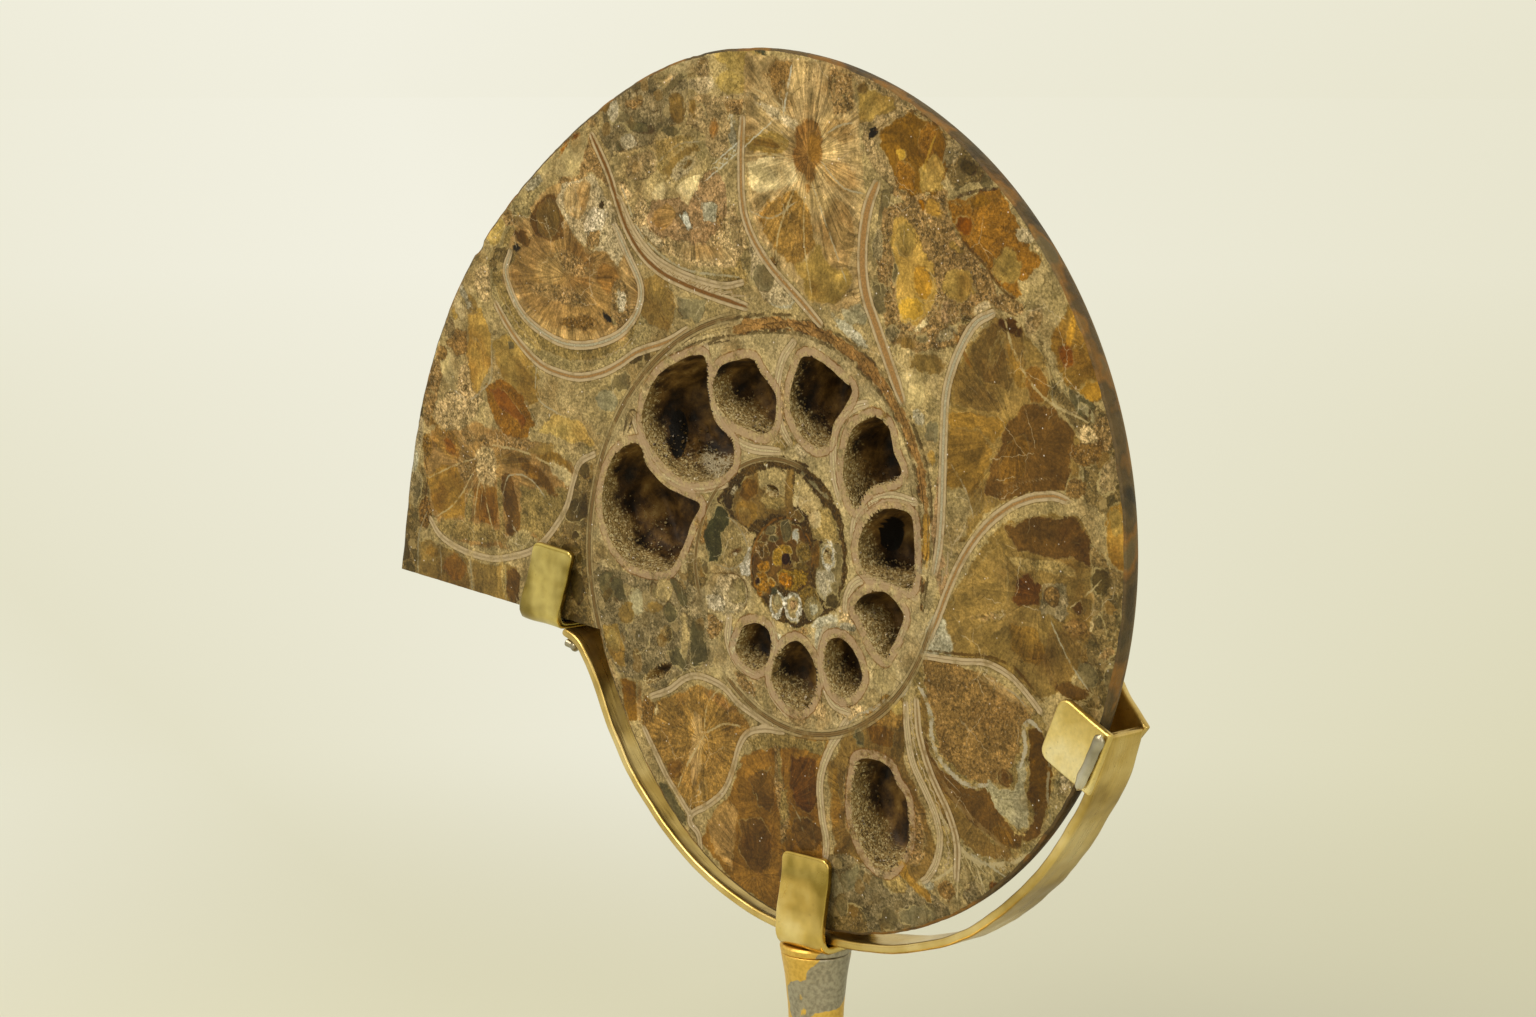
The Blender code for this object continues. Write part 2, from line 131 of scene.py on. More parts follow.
def lattice(cells, seed):
    """A repeatable number from 0 to 1 for each whole-numbered cell: its three indices hashed."""
    mixed = cells[..., 0] * 73856093 ^ cells[..., 1] * 19349663 ^ cells[..., 2] * 83492791
    mixed = (mixed ^ seed * 2654435) & 0x7FFFFFFF
    mixed = ((mixed >> 13) ^ mixed) * 1274126177 & 0x7FFFFFFF
    return ((mixed >> 11) ^ mixed & 0xFFFF) % 65536 / 65535


def noise(points, size, seed=0):
    """Smooth noise from -1 to 1: lattice numbers one size apart, eased together along each axis."""
    scaled = np.asarray(points, float) / size
    if scaled.shape[-1] == 2:
        scaled = np.concatenate([scaled, np.full((*scaled.shape[:-1], 1), 0.37)], axis=-1)
    cell = np.floor(scaled).astype(np.int64)
    share = scaled - cell
    share = share * share * (3 - 2 * share)
    total = 0.0
    for corner in np.ndindex(2, 2, 2):
        weight = np.prod(np.where(corner, share, 1 - share), axis=-1)
        total = total + weight * lattice(cell + corner, seed)
    return 2 * total - 1


def ease(low, high, value):
    """0 below low, 1 above high, and a smooth step between them."""
    share = np.clip((value - low) / (high - low), 0, 1)
    return share * share * (3 - 2 * share)


# ---- lines on the sawn face ----

def smooth_line(points, closed=False, steps=6):
    """A Catmull-Rom curve through points, with equally many steps to each span."""
    points = np.asarray(points, float)
    if closed:
        around = np.concatenate([points[-1:], points, points[:2]])
    else:
        around = np.concatenate([2 * points[:1] - points[1:2], points, 2 * points[-1:] - points[-2:-1]])
    before, start, end, after = around[:-3], around[1:-2], around[2:-1], around[3:]
    t = (np.arange(steps) / steps)[None, :, None]
    before, start, end, after = (a[:, None, :] for a in (before, start, end, after))
    curve = 0.5 * (2 * start + (end - before) * t
                   + (2 * before - 5 * start + 4 * end - after) * t ** 2
                   + (3 * start - before - 3 * end + after) * t ** 3)
    curve = curve.reshape(-1, points.shape[1])
    return curve if closed else np.concatenate([curve, points[-1:]])


def to_line(points, curve, closed=False):
    """For each point, its distance to a curve, signed by the side it lies on, its way along the
    curve, and how far it lies beyond the curve's ends: the nearest of all its straight spans."""
    starts = curve if closed else curve[:-1]
    ends = np.roll(curve, -1, axis=0) if closed else curve[1:]
    along = ends - starts
    length = np.maximum(np.hypot(*along.T), 1e-9)
    offset = points[:, None, :] - starts[None]
    share = np.einsum("pse,se->ps", offset, along) / length ** 2
    held = np.clip(share, 0, 1)
    gap = offset - held[..., None] * along
    distance = np.hypot(gap[..., 0], gap[..., 1])
    nearest = distance.argmin(axis=1)
    row = np.arange(len(points))
    side = np.sign(along[nearest, 0] * offset[row, nearest, 1] - along[nearest, 1] * offset[row, nearest, 0])
    way = (np.concatenate([[0.0], np.cumsum(length)[:-1]])[nearest] + held[row, nearest] * length[nearest])
    beyond = abs(share - held)[row, nearest] * length[nearest]
    return distance[row, nearest] * np.where(side == 0, 1, side), way, beyond


def inside(points, outline):
    """Signed distance to a closed outline, positive inside: the nearest edge's distance, with its
    sign from how often a ray to the right crosses the outline."""
    ends = np.roll(outline, -1, axis=0)
    height = points[:, None, 1]
    spans = (outline[None, :, 1] > height) != (ends[None, :, 1] > height)
    rise = np.where(ends[:, 1] == outline[:, 1], 1e-9, ends[:, 1] - outline[:, 1])
    cross = outline[:, 0] + (height - outline[:, 1]) * (ends[:, 0] - outline[:, 0]) / rise
    crossings = (spans & (points[:, None, 0] < cross)).sum(axis=1)
    distance = abs(to_line(points, outline, closed=True)[0])
    return np.where(crossings % 2 == 1, distance, -distance)


def near(points, curve, margin):
    """Which points lie in a curve's box, widened by a margin."""
    low, high = curve.min(axis=0) - margin, curve.max(axis=0) + margin
    return np.flatnonzero(((points > low) & (points < high)).all(axis=1))


# ---- the spiral ----

def venter_radius(turn):
    """Centre to a whorl's outer edge: a spiral that tightens, with a flare at the mouth and two
    places where it was ground flatter."""
    spiral = MOUTH_RADIUS * np.exp(-TIGHTENING[0] * turn - TIGHTENING[1] * turn ** 2)
    flare = MOUTH_FLARE * np.exp(-np.maximum(turn - MOUTH_TURN, 0) / FLARE_LENGTH)
    flattened = sum(depth * np.exp(-((turn - middle) / spread) ** 2) for depth, middle, spread in FLATTENED)
    return spiral + flare - flattened


def polar(points):
    """Each point's distance from the spiral's centre, and its turn clockwise from the left."""
    return np.hypot(points[:, 0], points[:, 1]), np.arctan2(points[:, 1], -points[:, 0])


def whorl_turns(points):
    """The turn of the outermost whorl at each point: the mouth's straight break parts the shell's
    beginning from the length that lies under it."""
    radius, angle = polar(points)
    cut = MOUTH_SLOPE - np.arcsin(BREAK_OFFSET / np.maximum(radius, BREAK_OFFSET + 1.5))
    return np.where(angle >= cut, np.maximum(angle, MOUTH_TURN), angle + 2 * np.pi)


def flank_height(fraction):
    """Half a whorl's width over its widest: a blunt arc to the venter, a steep one to the umbilicus."""
    outwards = np.clip((fraction - SHOULDER) / (1 - SHOULDER), 0, 1)
    inwards = np.clip((SHOULDER - fraction) / (SHOULDER - UMBILICUS), 0, 1)
    return np.where(fraction > SHOULDER, (1 - outwards ** 2) ** VENTER_BLUNTNESS, (1 - inwards ** 4) ** 0.5)


def flank(points, first):
    """The height of the shell's outer side over the sawn plane, and which whorl shows there: the
    highest of the whorls at each point, from its first turn on inwards."""
    radius, _ = polar(points)
    heights = []
    for round_number in range(4):
        outer = venter_radius(first + 2 * np.pi * round_number)
        fraction = radius / outer
        height = WHORL_HALF_WIDTH * outer * flank_height(fraction)
        heights.append(np.where(fraction > 1, 0, np.where(fraction < UMBILICUS, 0, height)))
    heights = np.array(heights)
    return heights.max(axis=0), heights.argmax(axis=0)


def outline(columns):
    """Points round the sawn face's edge, which of them lie on the mouth, and each one's turn: the
    spiral from the mouth's tip round to the break, then the break, which has a tenth of the columns."""
    mouth_columns = columns // 10 // 4 * 4
    turn = np.linspace(MOUTH_TURN, 2 * np.pi + MOUTH_END_TURN, 4000)
    radius = venter_radius(turn)
    spiral = np.stack([-radius * np.cos(turn), radius * np.sin(turn)], axis=1)
    way = np.concatenate([[0], np.cumsum(np.hypot(*np.diff(spiral, axis=0).T))])
    wanted = np.linspace(0, way[-1], columns - mouth_columns + 1)
    spiral = np.stack([np.interp(wanted, way, axis) for axis in spiral.T], axis=1)
    turns = np.interp(wanted, way, turn)
    share = np.linspace(0, 1, mouth_columns + 1)[1:-1, None]
    mouth = spiral[-1] * (1 - share) + spiral[0] * share
    edge = np.concatenate([spiral, mouth])
    on_mouth = np.arange(columns) >= columns - mouth_columns
    return edge, on_mouth, np.concatenate([turns, np.full(len(mouth), MOUTH_TURN)])


# ---- what the sawn face is made of ----

# Each stone: its colour, then how strongly it shows fibres, sugary grain and pebbles
STONES = {
    "shell": ("8D7D54", 0.15, 0.25, 0), "shell_shade": ("7E6F47", 0.15, 0.4, 0),
    "lining": ("95855D", 0.15, 0.6, 0), "pale_lining": ("887D5C", 0.1, 0.5, 0),
    "cream": ("A29162", 0.5, 0.1, 0), "crust": ("927E53", 0.3, 0.9, 0), "crust_pale": ("968965", 0.2, 1, 0),
    "fibre_cream": ("917C50", 0.9, 0.15, 0), "peach": ("7B693E", 0.4, 0.4, 0), "honey": ("735A2A", 0.6, 0.1, 0),
    "honey_light": ("83693D", 0.7, 0.15, 0), "honey_brown": ("5F461D", 0.7, 0.1, 0),
    "brown": ("583B17", 0.6, 0.15, 0), "brown_deep": ("4A310A", 0.5, 0.1, 0),
    "brown_dark": ("423218", 0.3, 0.2, 0), "orange": ("795420", 0.6, 0.2, 0),
    "orange_light": ("806534", 0.6, 0.3, 0), "ochre": ("7A5922", 0.3, 0.3, 0),
    "olive": ("836D3A", 0.4, 0.15, 0), "olive_dark": ("68532C", 0.5, 0.15, 0),
    "olive_pale": ("7F7553", 0.35, 0.2, 0), "khaki": ("948B68", 0.25, 0.35, 0),
    "khaki_shade": ("88774D", 0.3, 0.3, 0), "yellow": ("947F48", 0.4, 0.2, 0),
    "amber": ("74510B", 0.15, 0.05, 0), "amber_light": ("8D6D2B", 0.2, 0.05, 0),
    "amber_yellow": ("977A33", 0.1, 0.05, 0), "amber_deep": ("684104", 0.15, 0.05, 0),
    "rust": ("69512A", 0.2, 0.8, 0.2), "rust_light": ("7D663E", 0.2, 0.9, 0.2), "pink": ("876F49", 0, 0.5, 0),
    "pink_grey": ("837049", 0, 0.7, 0.5), "matrix": ("746645", 0, 0.6, 0.8),
    "matrix_dark": ("6B5A36", 0, 0.6, 1), "grey": ("746948", 0, 0.15, 0.1),
    "grey_dark": ("554C31", 0, 0.2, 0.3), "grey_blue": ("675A3A", 0, 0.15, 0.2),
    "chip_dark": ("4F4123", 0, 0.15, 0.1), "slate": ("3B3826", 0, 0.2, 0.2),
    "blue_white": ("908E74", 0, 0.2, 0), "sand": ("765E35", 0, 0.5, 0), "sand_orange": ("755B2C", 0, 0.75, 0),
    "white": ("A09776", 0, 0.7, 0), "white_bright": ("A9A380", 0, 0.5, 0), "geode": ("897145", 0.9, 0.1, 0),
    "geode_deep": ("7A5C30", 0.9, 0.1, 0), "core_orange": ("885F15", 0, 0.8, 0.4),
    "core_tan": ("695529", 0, 0.6, 0.3), "core_bright": ("7F5D1F", 0, 0.7, 0.2),
    # the last stone on the next line is painted shade: a near-black for small holes that the face is not sunk at
    "core_gold": ("7A6125", 0, 0.6, 0), "red_dark": ("31190C", 0, 0.4, 0), "hole": ("1D1408", 0, 0.3, 0),
    "ring_dark": ("4A381A", 0, 0.5, 0), "slate_green": ("454127", 0, 0.25, 0),
    "strip_amber": ("83663A", 0.1, 0.3, 0), "clear_dark": ("543C11", 0.3, 0.05, 0),
    "clear_gold": ("6C501C", 0.4, 0.05, 0), "clear_brown": ("5B431F", 0.3, 0.1, 0),
    "clear_orange": ("6F4918", 0.25, 0.1, 0), "clear_amber": ("725526", 0.4, 0.1, 0),
    "clear_tan": ("766135", 0.4, 0.1, 0), "clear_honey": ("7D622D", 0.35, 0.1, 0),
    "clear_light": ("90763D", 0.3, 0.1, 0), "clear_pale": ("958457", 0.25, 0.15, 0),
    "line_dark": ("352006", 0, 0, 0), "wall_tan": ("8A6C40", 0, 0.3, 0), "wall_brown": ("6B4A22", 0, 0.3, 0),
    "wall_cream": ("A39468", 0, 0.3, 0),
}

# What lies over the whorls' ground, in order: an oval is a stone, a centre, two radii and a turn in
# degrees; a block is a stone and its corners.
PATCHES = (
    # the first chamber and the mouth's edge
    ("honey_light", ((-100, 12), (-99, 2), (-95, -4), (-86, -6), (-70, -5), (-62, -1), (-56, 6), (-55, 12),
                     (-62, 15), (-78, 17), (-92, 20))),
    ("matrix_dark", ((-108, -13), (-102, -15), (-101, -5), (-98, 0), (-98, 5), (-101, 9), (-104, 6))),
    ("matrix", -102.5, 3.5, 2.2, 3.6, 0), ("rust", -99.6, -1, 2.2, 3.2, 0),
    ("clear_tan", ((-102, -13.8), (-72, -16.6), (-72, -8), (-80, -9), (-90, -8.2), (-97, -6.5), (-102, -7))),
    ("clear_amber", -90.5, -11, 3.4, 2.6, 0), ("honey", -97.5, -8.5, 2.2, 1.3, 0),
    ("khaki_shade", -85.8, -11.5, 0.7, 3.6, 8), ("peach", -76, -11, 0.8, 3.2, 4),
    ("clear_brown", -73.2, -12, 1.9, 3.4, 0), ("chip_dark", -106.2, -9, 1.7, 2.2, -10),
    ("lining", ((-104.5, 6.5), (-101.5, 8), (-99.5, 15), (-99.2, 19), (-101.5, 18.8), (-103.5, 13))),
    ("khaki", -103.2, 9, 1.8, 2.3, 0), ("peach", -86, -3.2, 11, 1.8, 0),
    ("clear_honey", ((-98.6, 6), (-97, 0), (-93, -1.5), (-87.5, -0.5), (-87, 4), (-89, 8.4), (-94, 9))),
    ("clear_amber", ((-84.8, 5), (-84, 0), (-81, -2.6), (-77.6, -1.4), (-77, 5), (-80, 6.6))),
    ("peach", -86.3, 1, 1, 4.6, -12), ("peach", -76.6, 2, 0.7, 6.8, 5),
    ("shell_shade", -70.8, -3.5, 4.5, 1.8, 10),
    ("clear_brown", ((-76.6, 8.5), (-75.6, 2), (-75, -2.6), (-73.6, -2.8), (-71.4, -1), (-71.2, 3), (-73, 7),
                     (-74, 9))),
    ("peach", ((-71, -1), (-64, -3), (-58, 3), (-56, 7), (-60, 8), (-66, 7), (-71, 7))),
    ("olive_dark", -72.5, 11.6, 4.6, 1.7, -6), ("honey_brown", -66.2, 9.4, 6.2, 1.5, -26),
    ("honey", -62, 13, 5.8, 1.5, -14), ("shell", -58.5, 10.2, 3.6, 1.4, -22),
    ("orange_light", -92.6, 13.8, 4.6, 3, -32), ("orange", -91.5, 12.5, 2.6, 1.1, -32),
    ("sand_orange", -98.6, 12, 1.4, 2.8, 0), ("orange_light", -95.6, 17.6, 3.4, 1.3, 10),
    ("crust", -81, 9.8, 2.9, 4.2, 8), ("crust", -80.2, 11.6, 1.6, 2.2, 0), ("rust_light", -87, 9, 2, 2.4, 20),
    ("rust_light", -75, 14.8, 8.6, 1.2, 0), ("clear_tan", -66, 14.4, 5, 1, 12),
    ("crust", -90, 19, 6.5, 3.4, 12), ("crust", -85.5, 24, 3.6, 5, 10), ("rust_light", -86, 15, 2, 1.5, 0),
    ("crust", -90.5, 22, 2.4, 1.2, 0), ("honey_light", -84.6, 16.5, 1.6, 1.2, 0),
    ("ochre", ((-81, 25.5), (-79, 20), (-75, 15.6), (-69, 16.4), (-66.5, 19), (-70, 24), (-76, 27))),
    ("clear_orange", ((-80, 24.6), (-77.5, 21.8), (-70, 18.4), (-68.6, 19.8), (-73, 23), (-77, 25.2))),
    ("olive", ((-78.6, 33.5), (-77, 28), (-74, 25.5), (-68, 22), (-65, 24), (-65, 28), (-69, 32.4),
               (-74, 35.5))),
    ("khaki_shade", ((-66, 27), (-64.5, 21.5), (-57.5, 17), (-50, 17.6), (-45.5, 22.5), (-42.5, 26), (-44, 29),
                     (-55, 28.6), (-62, 29))),
    ("yellow", ((-66, 17.6), (-61, 21.6), (-54, 20.6), (-50, 16.8), (-57, 16.6))),
    ("clear_light", ((-85.6, 38), (-86, 30), (-82, 25), (-79, 29), (-79, 35), (-82, 40))),
    ("clear_light", -83.4, 29, 2.2, 5.2, 0), ("khaki_shade", -78, 39.5, 2.2, 2.4, 0),
    ("grey_blue", -73.4, 33.4, 0.8, 0.5, 0), ("grey_blue", -77.8, 35.4, 1, 0.6, 0),
    # the rim beside it
    ("rust_light", ((-101.5, 19.5), (-98.5, 15.5), (-96, 20), (-93.5, 26), (-91, 31.5), (-94.6, 31))),
    ("chip_dark", -100.6, 19.2, 1, 1.6, 30), ("clear_pale", -91.6, 28, 2.4, 3.4, 10),
    ("rust_light", -95.6, 25, 1.6, 2.6, -20), ("sand", -93.5, 30.5, 1.4, 1.4, 0),
    ("sand", ((-92.5, 32.6), (-89, 35.4), (-86, 35), (-86, 31.6), (-89, 30.4))),
    ("pink_grey", -91.6, 35.4, 1.6, 2, 0), ("shell", -88.4, 40, 1.3, 3, 25), ("olive", -89.4, 38.4, 1, 1.2, 0),
    ("clear_tan", -84.4, 40, 1.4, 3.2, 30), ("pale_lining", -86.3, 41.5, 0.8, 3.2, 35),
    ("crust", -81, 44.5, 2.4, 3.2, 0),
    # the strip of pebbles outside the second whorl
    ("matrix_dark", ((-57, 6), (-54.5, 14), (-50.5, 13), (-51.5, 4), (-52.2, -6), (-51.6, -14), (-50, -19),
                     (-60, -19), (-61, -6), (-66, -4.4), (-60, -2))), ("chip_dark", -52.6, 11.8, 1.5, 1.5, 0),
    ("chip_dark", ((-58.6, 5.4), (-52.6, 7.4), (-52, 3.4), (-54, 1.6), (-58, 2))),
    ("chip_dark", -57.2, -3.4, 3, 1, 14), ("chip_dark", -55.5, -0.6, 1.4, 0.7, 0),
    ("chip_dark", -55.2, -9.8, 2.2, 3.2, 0), ("chip_dark", -54.4, -4.8, 1, 0.9, 0),
    ("chip_dark", -55.2, -16.6, 2.6, 1.4, -6), ("peach", -61.5, -1.2, 2.4, 0.8, 24),
    ("shell_shade", -52, 15.6, 1.6, 0.8, 20),
    # the band round the geode, the geode and the rim above it
    ("shell_shade", ((-79, 43), (-74, 35.6), (-67, 31), (-57, 29.6), (-45, 31), (-36, 35.4), (-33, 41),
                     (-36, 47), (-44, 58), (-52, 66), (-70, 62), (-78, 50))),
    ("peach", ((-78, 45), (-72.6, 37), (-65, 33), (-56, 31.6), (-46, 33), (-38.5, 37), (-37, 46), (-43, 56),
               (-70, 60), (-77, 50))),
    ("geode", ((-74.6, 50), (-75.4, 46), (-70, 39.6), (-61, 35.2), (-50, 34.8), (-42, 37), (-37.6, 41),
               (-36.8, 46), (-40, 52), (-44, 58), (-47, 63), (-52, 66.5), (-62, 63.6), (-69, 58), (-72, 54))),
    ("honey_light", ((-72, 50.5), (-73.2, 47), (-69, 41.4), (-61, 37.4), (-50.6, 37), (-44.4, 39), (-41.4, 44),
                     (-42.6, 49), (-46, 54), (-51, 58), (-60, 56), (-68, 53))),
    ("honey_light", ((-72.4, 48), (-69, 42), (-61, 37.8), (-51, 37.4), (-49, 39.6), (-58, 41), (-64, 42),
                     (-68.5, 46.5))), ("rust_light", -59, 43.6, 8, 1.5, -6),
    ("honey_light", -66.5, 49, 4, 1.6, -20), ("geode_deep", -45.8, 47, 3.4, 2.6, -30),
    ("rust_light", -56, 49.6, 4.8, 1.8, -20), ("rust", -54, 38.8, 5, 1.3, 4), ("geode", -62, 48, 3.6, 2.2, 0),
    ("lining", ((-58, 64), (-60, 61), (-56.5, 56), (-52, 52.5), (-47, 52), (-43, 50), (-41, 54), (-45, 61),
                (-50, 66))), ("crust_pale", -49.5, 57.5, 3.6, 2.6, 30), ("fibre_cream", -54.5, 61, 3.4, 3.4, 0),
    ("geode", -52.4, 62.4, 1.8, 2.6, -20), ("rust_light", -42.6, 43, 2.4, 4.2, 0),
    ("crust_pale", -42.4, 43.6, 1.2, 1.8, 0),
    ("clear_brown", ((-67.8, 57), (-65, 60.4), (-62, 62.2), (-59, 61), (-57.6, 57), (-58.2, 54.2), (-61, 53.4),
                     (-66, 54.6))), ("olive_dark", -62.2, 57.6, 3.2, 3.4, 10),
    ("clear_brown", -69.4, 53.6, 2.4, 1.3, -20), ("geode", -70.8, 56.4, 1.4, 1.2, 30),
    # the near-black spots on the next three lines are painted shade in small holes
    ("honey_light", -62.6, 52, 3.6, 1, 0), ("hole", -71.4, 51.6, 1.1, 0.6, 20),
    ("hole", -49.6, 54.4, 2.3, 0.8, 42), ("rust_light", -49.8, 54.2, 2.8, 1.4, 42),
    ("hole", -46, 40.2, 1.7, 0.6, -30), ("brown_dark", -47.6, 60.4, 0.8, 0.8, 0),
    ("rust_light", ((-60.5, 64.6), (-54, 65.4), (-52, 70), (-50.4, 73), (-47.6, 67.6), (-45, 63.6), (-50, 66.6),
                    (-57, 63))), ("matrix_dark", -76, 49.6, 4, 2.2, 12), ("yellow", -77, 54.6, 3.2, 2.6, 30),
    ("rust_light", -73.4, 57, 2.2, 1.4, -20), ("shell_shade", -70.4, 60.4, 2.6, 2.2, 30),
    ("shell_shade", -68.6, 58.6, 1.4, 1.2, 0),
    ("clear_pale", ((-71, 61), (-68, 64.4), (-63, 69), (-60.6, 70.6), (-61.4, 67), (-64.6, 63), (-69, 61.8))),
    ("pale_lining", -66.4, 63.4, 2.6, 1.3, 36),
    ("clear_pale", ((-60.4, 66), (-58, 70.6), (-53.4, 72.6), (-50.8, 71.8), (-53, 67.4), (-57, 65.4))),
    ("orange", -57.4, 71.4, 0.6, 2.6, -32), ("orange", -54.6, 72.6, 1.4, 0.5, 20),
    ("rust_light", -58.6, 73, 2.6, 0.9, 34),
    # between the geode and the third chamber
    ("clear_tan", ((-36.4, 47.6), (-37.4, 42), (-35, 39.6), (-30, 39), (-28.4, 43), (-29.6, 48), (-33, 49))),
    ("clear_tan", -31, 44.6, 1.8, 3.4, 20),
    ("khaki_shade", ((-30.5, 47), (-28.5, 38.6), (-20, 40.6), (-8, 43.6), (-8, 45), (-22, 46))),
    ("grey", ((-27.6, 45), (-26.8, 41.6), (-22.6, 40.8), (-20.4, 43), (-20, 45.2))),
    ("grey_blue", ((-46, 27.4), (-44.4, 30), (-39.8, 30.4), (-40.2, 27.6), (-43, 27))),
    ("olive_pale", -46.5, 25, 3, 2, 0), ("chip_dark", -38, 33.6, 2, 1, 20), ("chip_dark", -35.6, 34, 1, 0.8, 0),
    ("peach", -33, 33.5, 3, 1.2, 36),
    # the third chamber
    ("khaki_shade", ((-47, 66), (-43, 58), (-36, 51.8), (-29, 48.6), (-18, 46.4), (-9, 46), (-9, 56), (-12, 64),
                     (-13, 76), (-24, 79), (-34, 72), (-44, 70))), ("shell_shade", -16, 48.8, 9, 1.2, -4),
    ("peach", -12.6, 50.6, 3.4, 2.6, 0), ("shell_shade", -9.6, 52, 1.8, 2.6, 20),
    ("crust", ((-43.6, 65), (-38, 56.6), (-32, 53), (-22, 50.8), (-13, 51), (-9.8, 55), (-11, 59), (-14, 62),
               (-20, 56.6), (-30, 56), (-36, 62))), ("khaki_shade", -39.8, 60.6, 1.1, 4, -38),
    ("lining", -34, 55.4, 3, 1, -32), ("fibre_cream", -20.5, 53.4, 8, 1.5, -2),
    ("pink_grey", -12.6, 57, 1.4, 4.2, 10),
    ("pink", ((-35.4, 58.4), (-34, 56), (-28, 55), (-21, 54.8), (-16.4, 57), (-14.6, 61), (-15, 65), (-18, 68),
              (-22, 66), (-26, 63), (-30, 62.4), (-34, 62))), ("honey_light", -31, 59, 3.2, 2.2, 20),
    ("rust_light", -16.6, 58.6, 0.7, 2.6, 20),
    ("cream", ((-34.6, 62.4), (-31.6, 60.8), (-30.4, 63.4), (-31, 65.4), (-33.6, 64.8))),
    ("cream", ((-28, 64), (-25, 61.8), (-22.4, 64.6), (-21, 67), (-25, 66))),
    ("khaki", ((-21.2, 62.2), (-20.6, 58.8), (-18, 59), (-17.2, 62.2))),
    ("white_bright", ((-27, 59.6), (-25.4, 60), (-23.4, 57.4), (-24.6, 57.2))),
    ("pink_grey", -36.6, 68, 4, 2.6, 20),
    ("peach", ((-33, 72.4), (-32.6, 67), (-30.6, 65.6), (-28, 70), (-23, 73.4), (-27, 74))),
    ("clear_tan", ((-31.4, 67), (-28, 70.6), (-22.6, 72.4), (-21.4, 71), (-26, 69.4), (-29.6, 65.8))),
    ("lining", -25.8, 67.8, 3.6, 1.3, 30), ("olive_dark", -25.4, 68.2, 2, 0.5, 32),
    ("shell_shade", -21.6, 71, 1.6, 1.8, 30),
    ("pink_grey", ((-24.6, 80.4), (-10.2, 80.8), (-9.8, 77), (-13, 76), (-14.4, 70), (-19, 70), (-20.4, 74.4),
                   (-25, 75.4))), ("crust", -21.8, 77, 1.6, 2, -20),
    ("rust_light", ((-16, 79.6), (-10.6, 80), (-11, 77.4), (-14, 76.6))), ("clear_tan", -23.4, 78.4, 1, 1.6, 0),
    ("geode_deep", -18, 75, 1.2, 1.4, 0), ("pale_lining", -13.4, 74, 1, 3.4, 4),
    ("lining", -21, 82.6, 3.2, 1.6, 0),
    # grey breccia under the top left rim
    ("matrix", ((-46, 80.4), (-48, 73), (-44.6, 69.4), (-40, 70), (-34, 71.6), (-31, 76), (-31, 82),
                (-36, 84.6))), ("grey", -42.6, 76.4, 3, 1.2, 0), ("grey_dark", -37, 74.6, 4, 1, -6),
    ("pale_lining", -44.2, 77.6, 1.5, 1.8, 0), ("pale_lining", -40.2, 72, 2.2, 1.4, 0),
    ("grey_dark", -42.4, 71.2, 1, 0.9, 0), ("rust_light", -39.4, 78.8, 2.6, 0.8, 0),
    ("matrix", -35.6, 79.6, 1.6, 3.2, 60),
    ("matrix", ((-31.6, 79), (-28, 84), (-25.2, 84.8), (-25, 78), (-26.4, 75.4), (-31, 74.6))),
    ("olive_dark", -27.4, 78.2, 2.2, 2.8, 0), ("grey_dark", -28.6, 74.2, 2.4, 1.1, 0),
    ("fibre_cream", -28.6, 83.9, 3.6, 0.7, 36), ("grey_blue", -28.4, 82.4, 3.2, 0.8, 34),
    ("shell", -24.4, 86, 5.4, 1.3, 14), ("matrix", -36, 83.4, 4, 1.1, 24),
    ("pink_grey", -20.8, 85.4, 1.8, 1.6, 0), ("olive_dark", -46.6, 79, 2, 1.6, 40),
    ("pink_grey", -49.8, 75.4, 1.6, 1.4, 0),
    ("yellow", ((-17.6, 89), (-7.6, 89.4), (-8, 85), (-9.4, 83), (-12.6, 84), (-15.4, 85.6), (-17.6, 85.6))),
    ("yellow", -14.2, 83, 3.8, 2.2, -10), ("yellow", -13.8, 82.4, 2.2, 1, -14),
    ("slate", -6.4, 88.2, 1.8, 1, -14), ("olive", -7, 85, 1.8, 3.2, 8), ("matrix", -8.6, 81.4, 1.4, 2.2, 0),
    # the fourth chamber: a fan of fibres round a brown heart
    ("fibre_cream", ((-10, 88), (-10.6, 74), (-10, 64), (-7, 57), (-2, 51.6), (5, 46.8), (12, 45), (17.6, 47),
                     (17, 55), (18.6, 64), (17, 74), (15, 86))),
    ("orange_light", ((-7, 60), (-3, 54), (3, 52), (6.6, 56), (5, 62), (2, 65.4), (-5, 63))),
    ("olive", ((2, 52), (5, 46.6), (12, 46), (15.6, 50), (13, 54), (7.6, 56))), ("geode", 12, 58, 4, 6, 0),
    ("cream", ((-10, 69.6), (-9.4, 64.4), (-2.4, 64.8), (2.6, 66.6), (1.6, 69.8), (-3, 70.4))),
    ("lining", -2, 77.6, 6.6, 0.9, -24),
    ("olive", ((-10, 73.6), (-4, 75), (0.4, 73.4), (0.6, 71.6), (-4, 71), (-9.6, 71.6))),
    ("honey", -5, 72.8, 4, 0.6, -3),
    ("fibre_cream", ((-2, 77.4), (1.6, 86), (7.8, 86), (8.8, 78), (7, 77.4), (4, 77.8))),
    ("geode", 12, 75.4, 3.6, 1.9, -8), ("fibre_cream", 10.6, 80.6, 1.6, 2.8, 0),
    ("sand", ((-5.4, 84.4), (-3, 87.2), (1, 86.6), (0.6, 84), (-2.4, 81))),
    ("rust_light", ((10, 86), (15.4, 84.6), (15.2, 79), (11.4, 77.6), (9.6, 82))),
    ("rust_light", 12.4, 82.4, 1.6, 2, 0),
    ("geode_deep", ((1.2, 71), (2.4, 75.2), (4.6, 77.2), (7.4, 76.8), (8.4, 74), (7.8, 70.8), (6.4, 67),
                    (4.8, 64.6), (4, 67.2), (2.2, 68))), ("clear_amber", 6.2, 72.6, 1.6, 2.8, 0),
